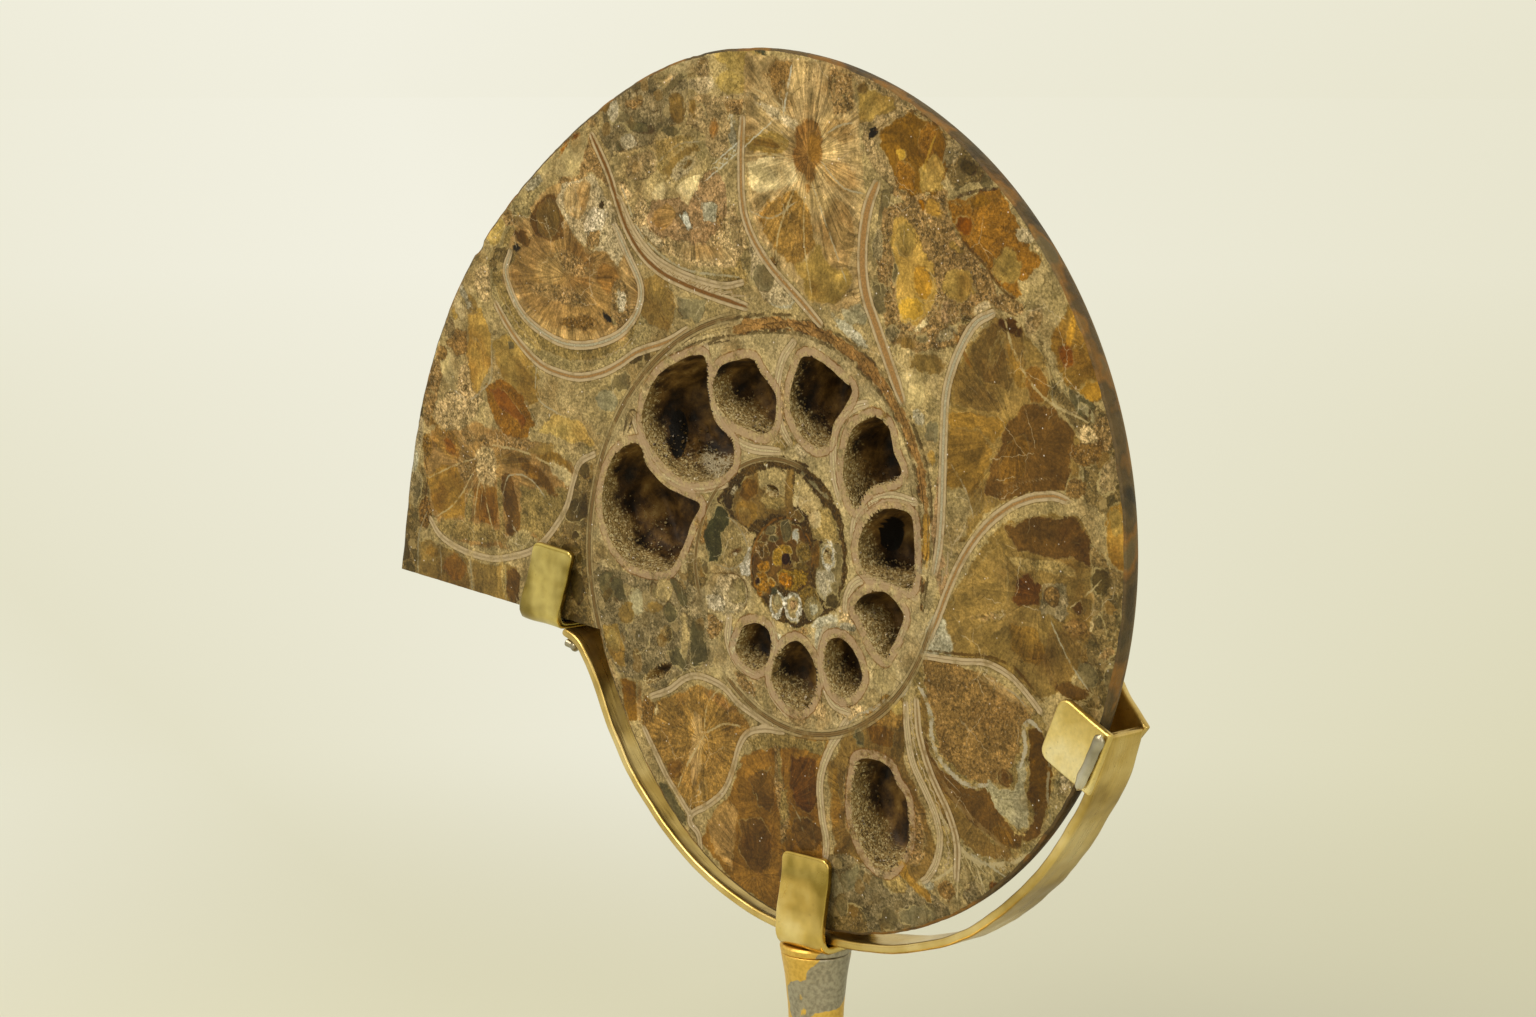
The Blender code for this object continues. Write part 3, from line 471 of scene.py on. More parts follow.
    ("geode", 12.6, 67.6, 4.4, 2.2, -14),
    # the rim over it, and the amber blocks
    ("pink_grey", ((14.6, 86), (17.4, 80), (17.4, 74), (20.6, 69), (24.6, 66), (28, 66), (34, 72), (33, 79),
                   (24, 83.4))), ("olive", ((16.2, 83.2), (24.8, 81), (25, 79), (20, 76.6), (17, 77))),
    # the near-black spot on the next line is painted shade in a small hole
    ("olive_dark", 17.6, 82.4, 1.4, 1, 0), ("hole", 20, 75, 1.7, 0.9, 14),
    ("matrix_dark", ((25.6, 80.8), (33, 78.4), (42, 73.4), (46, 68.4), (39, 66.6), (36.4, 68), (36, 74),
                     (30, 78.6))),
    ("clear_gold", ((20.6, 75.6), (25, 77.8), (29, 78.9), (34, 77), (36.4, 73.4), (36.8, 68), (34, 65.6),
                    (28, 65.4), (25, 68), (23, 71))), ("ochre", 27.4, 68.2, 2.2, 2.6, 30),
    ("olive", ((30.6, 69.4), (34.4, 71.8), (36.6, 69), (35.6, 66.4), (31, 65.6))),
    ("amber_yellow", 26.6, 71.8, 1, 0.9, -20), ("ochre", 32, 74.4, 1.8, 2.6, -20),
    ("chip_dark", 41.2, 70.2, 1.8, 1.2, 0), ("matrix", 37.6, 72.4, 1.5, 2.4, -30),
    ("grey_blue", 27.6, 80.2, 2.6, 0.6, -24), ("grey_blue", 45, 68, 1.6, 1.2, -40),
    ("rust_light", ((24, 66), (33, 65.6), (36.4, 66.6), (36.6, 63.6), (39, 59), (42, 56.4), (46, 54.6),
                    (40, 54), (34, 57), (31, 61.6))), ("amber", 30.9, 63.4, 1, 1.1, 0),
    ("olive", 38.6, 56.8, 2, 0.9, -30), ("clear_honey", 34, 63, 2.6, 1.2, -30),
    ("ochre", ((36.4, 64.6), (43, 66.2), (48, 67), (50, 64.4), (53, 60), (57.4, 56), (56, 53), (52, 49),
               (48, 51.4), (45, 54.6), (41, 57.6), (38, 60.6))), ("olive", 49.6, 54.8, 3.2, 2.8, 20),
    ("clear_gold", 43.2, 64.8, 4, 0.9, 8), ("ochre", 47.5, 57, 2, 1, 40),
    ("amber_deep", 40.6, 60.8, 2, 1.5, -20), ("lining", 53.4, 59.6, 1.8, 1.2, -20),
    ("crust", 56, 58, 1, 0.8, 0),
    # the fifth chamber: a long yellow block in a sugary border
    ("rust_light", ((22.4, 63), (30, 64.4), (35, 58), (46, 53.6), (48, 49.4), (44, 45), (38, 41), (30, 39.4),
                    (24, 41), (21.4, 47), (21, 55))),
    ("grey_blue", ((20.8, 59.6), (22, 65.6), (24.4, 66.6), (23.4, 60.6))), ("matrix", 21.2, 56.6, 1.2, 2.4, 0),
    ("grey_blue", ((19.8, 50.8), (22.8, 50.2), (23.4, 45.4), (21, 44.6))),
    ("grey_blue", 21.2, 48.6, 0.9, 1.8, 0),
    ("rust_light", ((22.6, 62), (28, 64), (31.6, 61), (35, 54), (35.6, 49), (32, 42.6), (26, 43), (24, 50))),
    ("clear_light", ((24.4, 60.8), (27, 62), (30, 60), (31.4, 56.4), (33.8, 53.6), (34.8, 50), (33.6, 46.6),
                     (30.4, 43.6), (26.6, 44.4), (25.4, 48), (25.4, 53), (24.2, 57))),
    ("olive", 27.6, 58, 2.6, 2.8, 10), ("amber_yellow", 29, 46.4, 3, 1.9, 0),
    ("amber_light", 31.4, 51, 2, 2.8, 20), ("cream", 31.6, 44.4, 1.6, 0.5, 34),
    ("pink", 36.8, 46.4, 1.2, 2, -10), ("rust_light", 33.6, 43.2, 1.4, 1.4, 0),
    ("olive", ((35.6, 50), (37, 53.4), (42, 53.6), (43, 50), (40.6, 48), (37.6, 48.4))),
    ("grey_blue", 25.2, 52, 0.6, 1.4, 0), ("grey_blue", 31.6, 41.8, 1.2, 0.6, 0),
    ("matrix", 24.6, 42.2, 1.6, 1.2, 0), ("matrix", 36.6, 42.8, 2.6, 1.1, 30),
    ("olive_dark", 28, 40.8, 2.4, 0.9, -12), ("rust_light", 38.6, 46.6, 1.4, 1.2, 0),
    ("chip_dark", 40.8, 45.6, 1.8, 0.8, 20), ("lining", 44, 47.4, 2.4, 1, 20),
    ("rust_light", 50.4, 48.6, 3.6, 1.4, -10),
    # below it, towards the second whorl
    ("khaki_shade", ((25, 41), (30, 39), (38, 40), (37, 33), (35.6, 28), (34, 33), (30, 35), (27, 36))),
    ("clear_tan", 32, 37.6, 4.4, 1.6, 0), ("clear_pale", 29, 33.4, 3, 2.6, -40),
    ("olive_pale", ((11.8, 46.6), (13.8, 43.2), (18.6, 43.2), (19.4, 45.6), (16, 47.6))),
    ("khaki", 15, 41.6, 4.6, 1, -30), ("grey", ((32.2, 27.8), (35, 28.2), (35.2, 24.8), (32.4, 24.4))),
    ("pale_lining", 30.6, 28.6, 1, 1.4, 30), ("clear_light", 33.4, 22.4, 0.9, 1.2, 30),
    ("pink", 36, 10, 2.2, 9, 0), ("khaki", -2.2, 46.6, 4.2, 1.6, -10),
    ("lining", ((-9, 56), (-9.4, 50), (-6, 45.6), (2, 45.4), (-2, 50), (-6, 55))),
    ("grey", -5.8, 49.6, 2.6, 2.6, 0), ("rust", -3.2, 52.6, 1.4, 0.8, -20),
    # the sixth chamber: golden brown, with a large dark crystal
    ("clear_tan", ((37.4, 34), (42, 41.6), (47.4, 46.4), (53, 45), (58, 40), (60, 33), (66, 28), (65, 20),
                   (54, 18.4), (46, 14), (40, 8), (37.4, 14))),
    ("honey", ((37.4, 27.6), (44, 28), (47, 24.6), (44.6, 19), (40, 10), (37, 6), (36.6, 16))),
    ("clear_honey", ((37.6, 30.4), (44, 30.6), (50.6, 29.6), (47.6, 25.6), (44, 27.6), (37.6, 27.6))),
    ("olive_dark", ((38, 36.6), (42, 38), (45.4, 34), (50.4, 31.4), (44, 31), (38, 31))),
    ("clear_brown", ((45, 17), (47.6, 24), (50.6, 30), (54, 32.8), (60, 33), (64.4, 29), (63.6, 23),
                     (62.4, 19.4), (55, 18.4), (50, 16.4))), ("honey_brown", 51.6, 23.4, 2.6, 4, -30),
    ("olive_dark", ((40.6, 38), (44.6, 44), (49.6, 46.6), (53.2, 44.6), (54.4, 39), (50, 35), (45, 36))),
    ("brown_deep", 50.6, 45, 2.8, 1.2, -24), ("clear_tan", 47.6, 41, 0.9, 3.6, -24),
    ("honey", 51.6, 38.6, 1.4, 4, 30), ("clear_tan", 42, 15, 3.6, 1.2, 46),
    ("khaki_shade", ((36.6, 17), (40.6, 18), (43, 14.6), (38.4, 6), (36.2, 3), (36.4, 10))),
    # right of it, out to the rim
    ("matrix_dark", ((56, 46), (60, 36), (66.4, 33), (73, 33), (76, 22), (73, 16), (66, 18), (66, 28),
                     (59, 34))), ("clear_amber", 56, 36, 2.4, 3.2, 20),
    ("khaki_shade", ((52.4, 52.4), (58, 56), (61, 53), (62, 48), (58.4, 43), (54, 45))),
    ("pink_grey", 55.6, 46.4, 1.6, 2.8, -30), ("olive", 63.6, 51.6, 1.6, 3.4, 20),
    ("clear_honey", ((58.8, 43.6), (60.4, 47), (63.4, 49), (66, 46), (67.4, 42), (70.4, 37.6), (70.6, 35),
                     (66.4, 34), (62.4, 36.4))), ("amber_light", 63.2, 44.8, 0.8, 3.6, -16),
    ("amber_light", 67.6, 36, 2.8, 1.6, 10), ("clear_orange", 62.4, 41, 1.4, 2, 20),
    ("grey_dark", ((61.6, 36.4), (64, 36), (68.6, 33.4), (68, 31.4), (65.6, 31.6))),
    ("grey", 67, 32.4, 2, 0.7, -34), ("rust", 67, 26, 3.2, 2.2, 20), ("rust_light", 70.4, 29.6, 2.2, 2.8, 0),
    ("crust", 66.8, 29, 2, 1.6, 0), ("sand", 64.6, 20, 2.6, 1.8, 20), ("pink_grey", 71.6, 23, 2, 3.6, -30),
    ("grey_dark", 75, 27, 1.2, 5, 12),
    ("clear_honey", ((70.8, 15), (71.4, 18), (74, 19), (77.4, 18.4), (78, 8), (75.4, 6.4), (72.4, 9),
                     (71, 12))), ("olive", 73, 15.6, 1.4, 2.2, 0), ("grey_dark", 76.6, 24, 1.2, 3, 6),
    ("slate", 77, 3.6, 1.2, 3, -4),
    # the seventh chamber: brown, with a red-brown heart
    ("clear_tan", ((36.4, -4), (40, 2), (45, 9), (51, 13.6), (60, 16), (66, 15.4), (69, 11), (69, 4), (68, -4),
                   (64, -12), (58, -15), (50, -11.4), (42, -10.4), (38, -10))),
    ("clear_brown", ((50, 12.4), (56, 15), (64, 15.6), (68.4, 12), (68.6, 8), (64, 9), (57, 8.4), (53, 8.6))),
    ("clear_tan", ((37.6, -3), (41, 2), (46, 8), (49, 9), (50.6, 4), (50.6, 0), (46, -3.6), (41, -6))),
    ("peach", ((51, 7.4), (56, 8), (62, 8), (66, 6), (60, 6), (54, 6))), ("rust_light", 47, -2.6, 3, 0.5, 10),
    ("honey", ((51, -3), (56, -3.6), (60, -7), (57, -9.6), (51, -8))),
    ("olive_dark", ((60, -3), (66, -4), (66, -9), (61, -13), (58, -9))),
    ("brown", ((51.8, 0.6), (52.4, 4.2), (55.4, 5), (58, 3.6), (57.4, 0.4), (54, -0.2))),
    ("matrix", ((58, 4), (62.6, 4.4), (64, 1.4), (62, -1.6), (57.6, -0.6))), ("sand", 60.2, 2.2, 1.6, 1.5, 0),
    ("clear_brown", ((63.6, 1.4), (65.4, 2.4), (67.6, 0.8), (65.4, 0.2))), ("sand", 65.4, -2.2, 3, 1, 0),
    ("honey_light", 70, 3, 1.6, 4.6, 0),
    ("matrix_dark", ((68, 12), (72, 8.6), (77.6, 7), (77.6, -4), (74.6, -13), (70, -15), (64, -13), (66.6, -6),
                     (69, -2), (68.6, 5))), ("chip_dark", 70.4, 6, 2, 2.2, 0),
    ("matrix_dark", 72.4, 1, 1.8, 4, -4), ("matrix_dark", 70, -2, 1.6, 2.4, 0),
    ("rust_light", 72, -5.4, 2.6, 0.8, 30), ("grey_blue", 67.6, -9.4, 2.2, 1.8, 0),
    ("clear_brown", 64.6, -12.6, 3.6, 1.4, 0), ("grey_blue", 72.8, -9.6, 1.6, 3, 10),
    ("khaki", ((31.6, -11), (33, -6), (35.2, -3), (37.2, -5), (38.6, -8.4), (38.4, -10.6))),
    # the sand-filled chamber
    ("peach", ((30, -14), (33, -11.6), (58, -17), (62, -24), (62, -30), (56, -40), (48, -46), (40, -46),
               (34, -38), (30, -28))),
    ("olive_dark", ((32.6, -28), (40, -35), (48, -40.4), (54, -41), (50, -44), (42, -44), (36, -38))),
    ("clear_brown", ((32, -20), (34, -27.5), (37, -30), (42, -32), (47, -31.8), (49, -35), (53, -38), (56, -37),
                     (57, -33), (60, -31), (58, -37), (53, -41), (48, -40), (42, -37), (36, -33), (32, -27))),
    ("honey_brown", 50.4, -39, 3.4, 1.4, -20),
    ("clear_dark", ((55.4, -20), (57.6, -19.6), (59.6, -22), (60.6, -29), (58.6, -35), (56.6, -34), (55.6, -31),
                    (56, -26))), ("olive_dark", 32.4, -21, 0.9, 4, 4),
    ("sand", ((32, -11.6), (40, -11.6), (47, -13), (53.6, -15.6), (56, -18.4), (54, -19.6), (53.6, -24),
              (51.6, -27), (51, -30), (47, -30.6), (41, -30.6), (37, -28), (35, -24), (34, -20),
              (32.6, -16.4))), ("geode", 50, -14.6, 6.2, 0.8, -22),
    ("olive_pale", ((46.8, -29.8), (49, -31.2), (52.4, -30.8), (53.4, -26), (55, -26), (54.6, -31.4), (56, -34),
                    (55.4, -36.2), (53.6, -37.4), (51, -35.8), (49, -34.6), (47, -31.6))),
    ("clear_brown", 50.5, -29, 1.8, 1.6, 0), ("clear_brown", 50.5, -29, 1.2, 1.1, 0),
    ("shell_shade", 62, -30, 1.5, 5.4, -14), ("lining", 63.4, -27, 0.9, 3.2, -10),
    ("shell_shade", ((40, -41), (44, -43), (52, -43), (58, -38), (60, -36), (58, -41), (50, -48), (43, -52),
                     (39, -48))), ("shell_shade", 45, -45.4, 3.2, 1.4, -20),
    ("matrix", 44, -49.6, 2.4, 2.2, 20), ("brown", 48.4, -47.6, 1, 0.9, 30), ("sand", 37.8, -50.4, 2, 1.8, 0),
    ("khaki_shade", 41.8, -47.4, 1.2, 1.8, 0),
    # the chamber with the brown druse, and the matrix under it
    ("olive_dark", ((14.4, -27), (22, -22), (27.6, -23), (28.4, -30), (33, -38), (35.6, -44), (33, -49.4),
                    (26, -53), (12, -50), (10.6, -40), (9.6, -34))),
    ("orange_light", ((17.4, -22.6), (22, -20), (27.8, -18), (28, -24), (22, -25))),
    ("yellow", 26, -20.6, 1.6, 1.6, 0), ("honey_brown", 22.6, -26.4, 3.6, 2, 0),
    ("rust_light", ((13.6, -36), (15.4, -31), (16.6, -30), (15.8, -38), (16, -45), (14.4, -44))),
    ("honey", 11.8, -40, 1, 7, 2),
    ("rust_light", ((29.4, -36), (31.6, -38), (33, -43), (31.6, -47), (29, -47.6), (29.6, -42))),
    ("grey_dark", 17.4, -27.2, 1.2, 1.7, 10),
    ("matrix", ((9, -50), (14, -48.6), (22, -49.4), (30, -50), (38, -53), (41, -56), (30, -62), (9, -65))),
    ("matrix_dark", 15, -60, 4.6, 3, 10), ("grey", 14.6, -53, 1.6, 4.2, -48),
    ("lining", 20.6, -50, 2.8, 0.8, 0), ("olive_pale", 12, -54.4, 1.6, 2.6, 20),
    ("grey_blue", 24.6, -58, 2.2, 1.8, 30), ("grey_blue", 13.4, -57.6, 1.4, 2, 0),
    ("grey", 31, -56, 4, 1.6, 16), ("peach", 26, -51.4, 2.8, 1.3, 0),
    ("clear_honey", ((26.4, -46.6), (28, -47.4), (29.6, -49.4), (33.4, -51.4), (33.8, -53), (30, -51.6),
                     (27.4, -50))), ("khaki", 33.6, -50.2, 1.5, 0.7, -20),
    # two honey-brown chambers at the foot of the shell
    ("clear_amber", ((-1, -30.4), (6, -28.6), (11, -28), (8, -34), (8.4, -42), (9, -50), (9, -62), (-4, -62),
                     (-14, -58), (-22, -53), (-20, -48.4), (-14, -42.6), (-11, -35))),
    ("peach", ((-10, -31.6), (-5, -30), (7, -29.6), (10, -29), (8.6, -31.6), (2, -32), (-4, -32.4), (-9, -34))),
    ("brown", ((0.8, -33), (6.8, -33), (7.2, -40), (5.6, -43), (2.4, -42), (0.6, -38))),
    ("clear_brown", ((-9.6, -39), (-4, -36), (-3.2, -40), (-3.6, -44.6), (-7, -43.6))),
    ("clear_brown", ((-12, -47), (-6, -46), (-4, -48.4), (-4.4, -54), (-8, -56), (-12, -53))),
    ("honey_light", ((-20.6, -48.6), (-15, -44), (-12.6, -45.4), (-13, -50), (-14, -56), (-18.6, -54))),
    ("clear_brown", 5, -46.5, 3.8, 2.8, 0), ("clear_brown", 2.5, -55, 4.6, 3.2, 0),
    ("honey_brown", 0.4, -50.4, 1.6, 3, 10),
    ("rust_light", ((-3, -31.4), (-1.8, -33), (-1.6, -37), (0.2, -42), (0.8, -46), (-1, -49), (-1.8, -45),
                    (-2.8, -41), (-2.8, -36))), ("peach", -0.7, -42.8, 1, 3, -6),
    ("peach", -1.9, -35.4, 0.5, 2.6, 6),
    ("orange_light", ((-37, -33), (-33.4, -28.6), (-27, -26), (-22, -23.6), (-16, -25), (-10, -28.4),
                      (-8.6, -30.2), (-12, -34), (-14, -40), (-18, -44.6), (-23.6, -47.8), (-29, -44),
                      (-34, -37))),
    ("orange_light", ((-35, -31.6), (-32, -32.6), (-28, -35.6), (-26, -38), (-29, -38), (-33, -34.6))),
    ("orange_light", -28.4, -30.4, 4, 2.4, 20),
    ("geode", ((-23.4, -29), (-21.6, -30), (-21, -34), (-22, -40), (-24, -43), (-24.6, -38), (-24, -33))),
    ("orange_light", ((-20, -28), (-16, -27), (-12.6, -31), (-15, -35), (-19, -33))),
    ("olive_dark", -21.4, -43.6, 1, 2.2, 0), ("cream", -34.6, -30, 1.2, 1.4, 40),
    ("geode_deep", -16.6, -26.2, 4, 0.8, -20), ("clear_amber", -29, -40.6, 2.6, 1.6, 40),
    # the rim at the lower left
    ("pink_grey", ((-53, -18), (-50, -18), (-44, -26), (-40, -36), (-32, -47), (-24, -56), (-30, -54),
                   (-40, -44), (-48, -34))),
    ("clear_gold", ((-43.4, -26), (-39, -25.8), (-39, -33), (-41, -33.6), (-42.6, -30))),
    ("honey_light", -38, -29.6, 0.7, 3.8, 0),
    ("rust", ((-37.4, -27.6), (-33.6, -29), (-34.6, -32.4), (-37.4, -33.6))),
    ("grey_dark", ((-33.4, -43.6), (-31, -43.6), (-25.4, -48.8), (-25.8, -50.6), (-30, -48.6))),
    # the pebbly end of the outer whorl
    ("matrix", ((-51.4, -5), (-40, -6), (-28, -4), (-22, -4), (-20, -12), (-19, -20), (-24, -22.8), (-30, -27),
                (-38, -25.4), (-44, -25), (-50, -18))),
    ("grey_dark", ((-48, -6.4), (-45.4, -5.8), (-44, -9), (-46, -12), (-48.6, -9.6))),
    ("grey_dark", -43.8, -9.4, 1.6, 2.6, 30), ("olive_pale", -38.8, -11, 1.8, 2.6, 0),
    ("khaki_shade", ((-34.6, -9.6), (-33, -6.2), (-29.6, -5), (-28.8, -8), (-31, -10))),
    ("grey_dark", ((-29.6, -5.4), (-26, -6.6), (-25, -10.6), (-27.4, -10.4))),
    ("clear_tan", -34, -11.4, 2.4, 1.2, 0), ("grey_dark", -30, -12, 1.8, 1.8, 0),
    ("clear_tan", -41.6, -13.6, 2.4, 2, 20), ("matrix", -38.6, -17.2, 3.2, 2.8, 0),
    ("olive", ((-48, -16.4), (-44, -15.6), (-41.6, -20), (-42.6, -24.6), (-46.4, -22))),
    ("yellow", -45, -19, 1.6, 2.2, 20), ("grey_dark", ((-24.6, -12.4), (-20.8, -13), (-20, -20), (-24.2, -21))),
    ("grey_dark", ((-30.6, -19.4), (-28, -18), (-25, -20.4), (-25.6, -22.4), (-29.6, -21.4))),
    ("khaki_shade", -26, -15.4, 1, 3.6, 0), ("matrix_dark", -31, -16, 2.2, 1.4, 30),
    ("grey_blue", -37.4, -24.8, 1.5, 0.7, 10), ("chip_dark", -46.6, -10.6, 1.6, 0.8, 30),
    ("shell_shade", -27.4, -24.4, 4.4, 1.2, 30), ("grey_blue", -34, -8.4, 0.7, 1.4, 0),
    ("matrix", -24.4, -7.6, 1.4, 2.2, 0), ("crust", -43, -4.6, 6, 1, -10),
    ("clear_pale", ((-20, -21), (-18, -18), (-16, -21.4), (-18, -22))),
    ("brown_dark", ((-36.8, -25.6), (-34, -23), (-29.8, -21.4), (-29.4, -22.6), (-32, -24.6))),
    # the second whorl, chamber by chamber
    ("lining", -37, 14, 3.6, 4.6, -30),
    ("shell_shade", ((-31, 12), (-24, 11.6), (-18, 12), (-16, 9.6), (-21, 8.6), (-26, 10))),
    ("lining", -18, 24, 2, 9, 0), ("pale_lining", -16.6, 20.6, 2.2, 2.6, 0), ("crust", -1.4, 27, 1.6, 6, 6),
    ("peach", -0.6, 21.4, 3.6, 0.9, 20), ("lining", 3.6, 20.6, 1.8, 1.2, 0), ("shell", 13, 25.6, 1.4, 6.4, 10),
    ("crust", 22, 13.4, 6.4, 1.3, 6), ("sand", 22, 28.6, 2.4, 0.8, -20), ("pale_lining", 30.8, 5.6, 0.8, 5, 4),
    ("cream", 22, -0.6, 6.4, 1, -6), ("peach", 20, 0.2, 4, 0.5, -4), ("khaki_shade", -47, -3.4, 5.6, 1.2, -30),
    ("sand", -21.6, 5.4, 1.6, 4.6, 10), ("pink_grey", -23.6, 0, 1.4, 3.6, -20),
    ("matrix_dark", -22.6, -3.6, 2.8, 2.6, 20), ("khaki", 8.6, -8.4, 3.6, 1.6, 10),
    ("crust", 14.6, -7.4, 2.2, 2.2, 0), ("pale_lining", 13.4, -8.8, 3.6, 0.6, 8),
    ("clear_pale", 23.4, -16, 2.6, 2.6, 0), ("khaki_shade", 20, -20.6, 2.6, 1.6, 40),
    ("crust", 15.4, -23.4, 3.6, 1.4, 20), ("khaki", 8, -11.6, 1.4, 2.2, 0), ("crust", 7.8, -24, 1.8, 2.2, 0),
    ("khaki", -2.8, -13.8, 2, 1.6, 0), ("rust_light", 3.2, -10.6, 2.8, 1, -10),
    ("khaki_shade", -5, -24.4, 3.2, 1.8, -30), ("shell", -1.4, -26.6, 3.6, 0.9, 20),
    ("pink_grey", 3, -26.6, 2.6, 0.8, 4), ("khaki", -13.6, -15, 1.4, 2.6, 0),
    ("rust_light", -10.6, -22, 3.2, 1.3, -30), ("rust_light", -18.6, -12.6, 2.8, 2.2, 40),
    ("shell", -15, -6.8, 6.4, 4.6, 10), ("lining", -14.6, -6.6, 4.8, 3.4, 12),
    ("crust_pale", -18, -8.6, 2.2, 1.6, 0), ("shell_shade", -12.4, -6, 2.2, 2.2, 0),
    ("shell", -13.6, -6.2, 1.2, 1.4, 0),
    ("strip_amber", ((-13.6, 39.4), (-8, 40.4), (0, 41.4), (8, 40), (16, 36.8), (22, 32.4), (27, 26.4),
                     (30, 20.4), (31.8, 12), (32, 3), (31.6, -3.4), (32.8, 3), (33.6, 12), (32.4, 20.4),
                     (28.8, 28), (23.6, 34.2), (17, 38.8), (8, 42.4), (0, 43.4), (-8, 42.6), (-13.6, 41))),
    ("khaki_shade", ((-24, 38.4), (-14, 39.6), (-13.4, 41.2), (-19, 41), (-25, 39.6))),
    ("clear_honey", 32.6, 8, 0.9, 6, 0),
    # the first whorl: a dark ring round pale chambers' fillings
    ("ring_dark", ((-17.6, 9.6), (-16, 12), (-12.7, 15.4), (-9.3, 17.4), (-5.3, 18.8), (-0.7, 19.3),
                   (3.3, 18.5), (6.8, 16.9), (10.1, 14.2), (12.5, 10.8), (14, 7.3), (14.5, 4), (14.4, 0.7),
                   (13.6, -2.4), (12.1, -5.2), (9.4, -7.6), (6, -9.6), (2, -10.7), (-1.4, -10.2), (-3.4, -9.2),
                   (-6, -7), (-8.8, -4), (-9.4, 0), (-8, 4.4), (-12, 6))),
    ("brown_dark", ((-16.6, 9.6), (-14.6, 12), (-12.6, 12.6), (-12.4, 10), (-14.6, 8))),
    ("crust_pale", -13.2, 12, 1, 0.5, 40), ("white", -5.4, 17.4, 0.4, 0.5, 0),
    ("grey", ((3.4, 17), (7, 15), (10.3, 13), (9.6, 12.6), (6, 14.8), (3.4, 16.2))),
    ("slate_green", ((-17.7, 9.3), (-19.7, 5.3), (-20.9, 2.3), (-19.4, -1.2), (-17.8, -0.9), (-16.3, 1),
                     (-16.7, 4), (-15, 6), (-14.4, 7.4), (-15.3, 9))),
    ("olive_dark", ((-13.6, 8.6), (-12.6, 11.6), (-10, 14.4), (-7.4, 16), (-4, 16.7), (0.4, 17), (0, 9),
                    (-4, 8.6), (-7.6, 6.6), (-10.4, 5.6), (-13, 7))), ("honey", -10, 8.4, 3, 2.6, 20),
    ("clear_tan", -10.6, 7.6, 1.6, 1.6, 0), ("honey_brown", -9.4, 12.4, 2.6, 1.8, 40),
    ("khaki_shade", ((-7.2, 16), (-4, 16.8), (0.2, 17), (-0.4, 12), (-4, 13.4), (-6.8, 13))),
    ("peach", -3.2, 11, 3.6, 1.2, 0),
    ("khaki_shade", ((2, 16.6), (4, 16), (7, 13.6), (8.4, 11.4), (5.6, 9.4), (2.4, 11.2), (1.6, 14))),
    ("cream", 1.6, 11.6, 1.2, 1, 0),
    ("olive_dark", ((0, 16.8), (1.6, 17), (1.2, 13), (1.6, 9), (-0.2, 8.6), (-0.4, 12))),
    ("olive_dark", 2.2, 9.4, 1.6, 0.8, -20),
    ("peach", ((5.6, 9.6), (8, 11), (10.3, 11.4), (12, 8.2), (13, 5.6), (9, 5.2), (6, 6), (5.4, 7.8))),
    ("shell", 6.6, 9.2, 1.3, 1.6, 0), ("grey_blue", ((8, 5), (13, 5.4), (13.3, 2), (13, -2), (11, -3), (7, 0))),
    ("honey_brown", 7, 3, 1, 2.4, 0), ("white", 9.8, 3, 1.7, 2.6, 0), ("khaki_shade", 9.8, 3.1, 1, 1.7, 0),
    ("brown_dark", 9.9, 3.2, 0.35, 0.6, 0),
    ("pale_lining", ((7, -2), (7.4, 0.4), (9.4, 0.6), (11.4, 0), (12, -1.6), (11, -3), (9.4, -5), (8.4, -4.8))),
    ("pale_lining", 8.6, -1.6, 1.1, 2.2, 10), ("chip_dark", 10.8, -4.4, 2, 1.2, 40),
    ("grey_blue", 11.6, -2.4, 1, 1.2, 0),
    ("core_tan", ((3, -4), (5, -2.6), (7, -3.4), (8.2, -5.6), (4, -7), (2.8, -5.6))),
    ("shell_shade", 6.3, -6.7, 2.2, 2.1, 0), ("khaki", 6.5, -6.5, 1.1, 1, 0), ("white", 1.4, -7, 2.1, 2.7, 0),
    ("khaki_shade", 1.4, -6.8, 1.3, 1.9, 0), ("pink", 1.4, -6.5, 0.7, 1, 0), ("white", -2.7, -6.8, 1.9, 2.4, 0),
    ("khaki_shade", -2.6, -6.7, 1.2, 1.6, 0), ("grey", -2.5, -6.4, 0.6, 1, 0),
    # the core, inside its thin orange ring
    ("clear_brown", ((-8.6, 0.4), (-7.2, 4), (-5.3, 6.2), (-2.7, 7.8), (0.3, 8.2), (3, 7.5), (4.8, 5.6),
                     (5.8, 3.2), (5.8, 0.6), (5, -2), (2, -4), (-1, -4), (-3.4, -3.4), (-5, -6), (-7.2, -5.2),
                     (-8.4, -2.4))), ("grey_dark", -3.4, 4.6, 1.6, 0.8, 10), ("grey_blue", -4, 6, 1.7, 1, 20),
    ("grey_dark", -0.3, 6.3, 1.3, 1.9, 0), ("blue_white", 2.3, 5.5, 1, 1.1, 0), ("rust", -6.2, 2.2, 2, 1.7, 0),
    ("core_tan", 4, 3, 1.8, 2, 0), ("core_tan", 3.6, 0.4, 1.6, 1, 0),
    ("core_gold", ((-4, 1), (-3.6, 2.6), (-1, 3.6), (0.8, 3.8), (1.4, 2.6), (-1, 1.2), (-1.6, 0), (-3.6, 0))),
    ("red_dark", -0.2, 1.3, 1.2, 1, 20),
    ("core_gold", ((-2.8, -1.4), (-1, -0.6), (3, -0.4), (5.2, -0.4), (4.6, -2), (2, -3.8), (-0.6, -3.8),
                   (-1.8, -2.8))), ("core_orange", -0.6, -2.4, 1.8, 1.2, 0),
    ("core_bright", ((-7.2, -0.6), (-6.6, 0.8), (-4.4, 0.6), (-4, -1), (-5.6, -1.8), (-7, -1.6))),
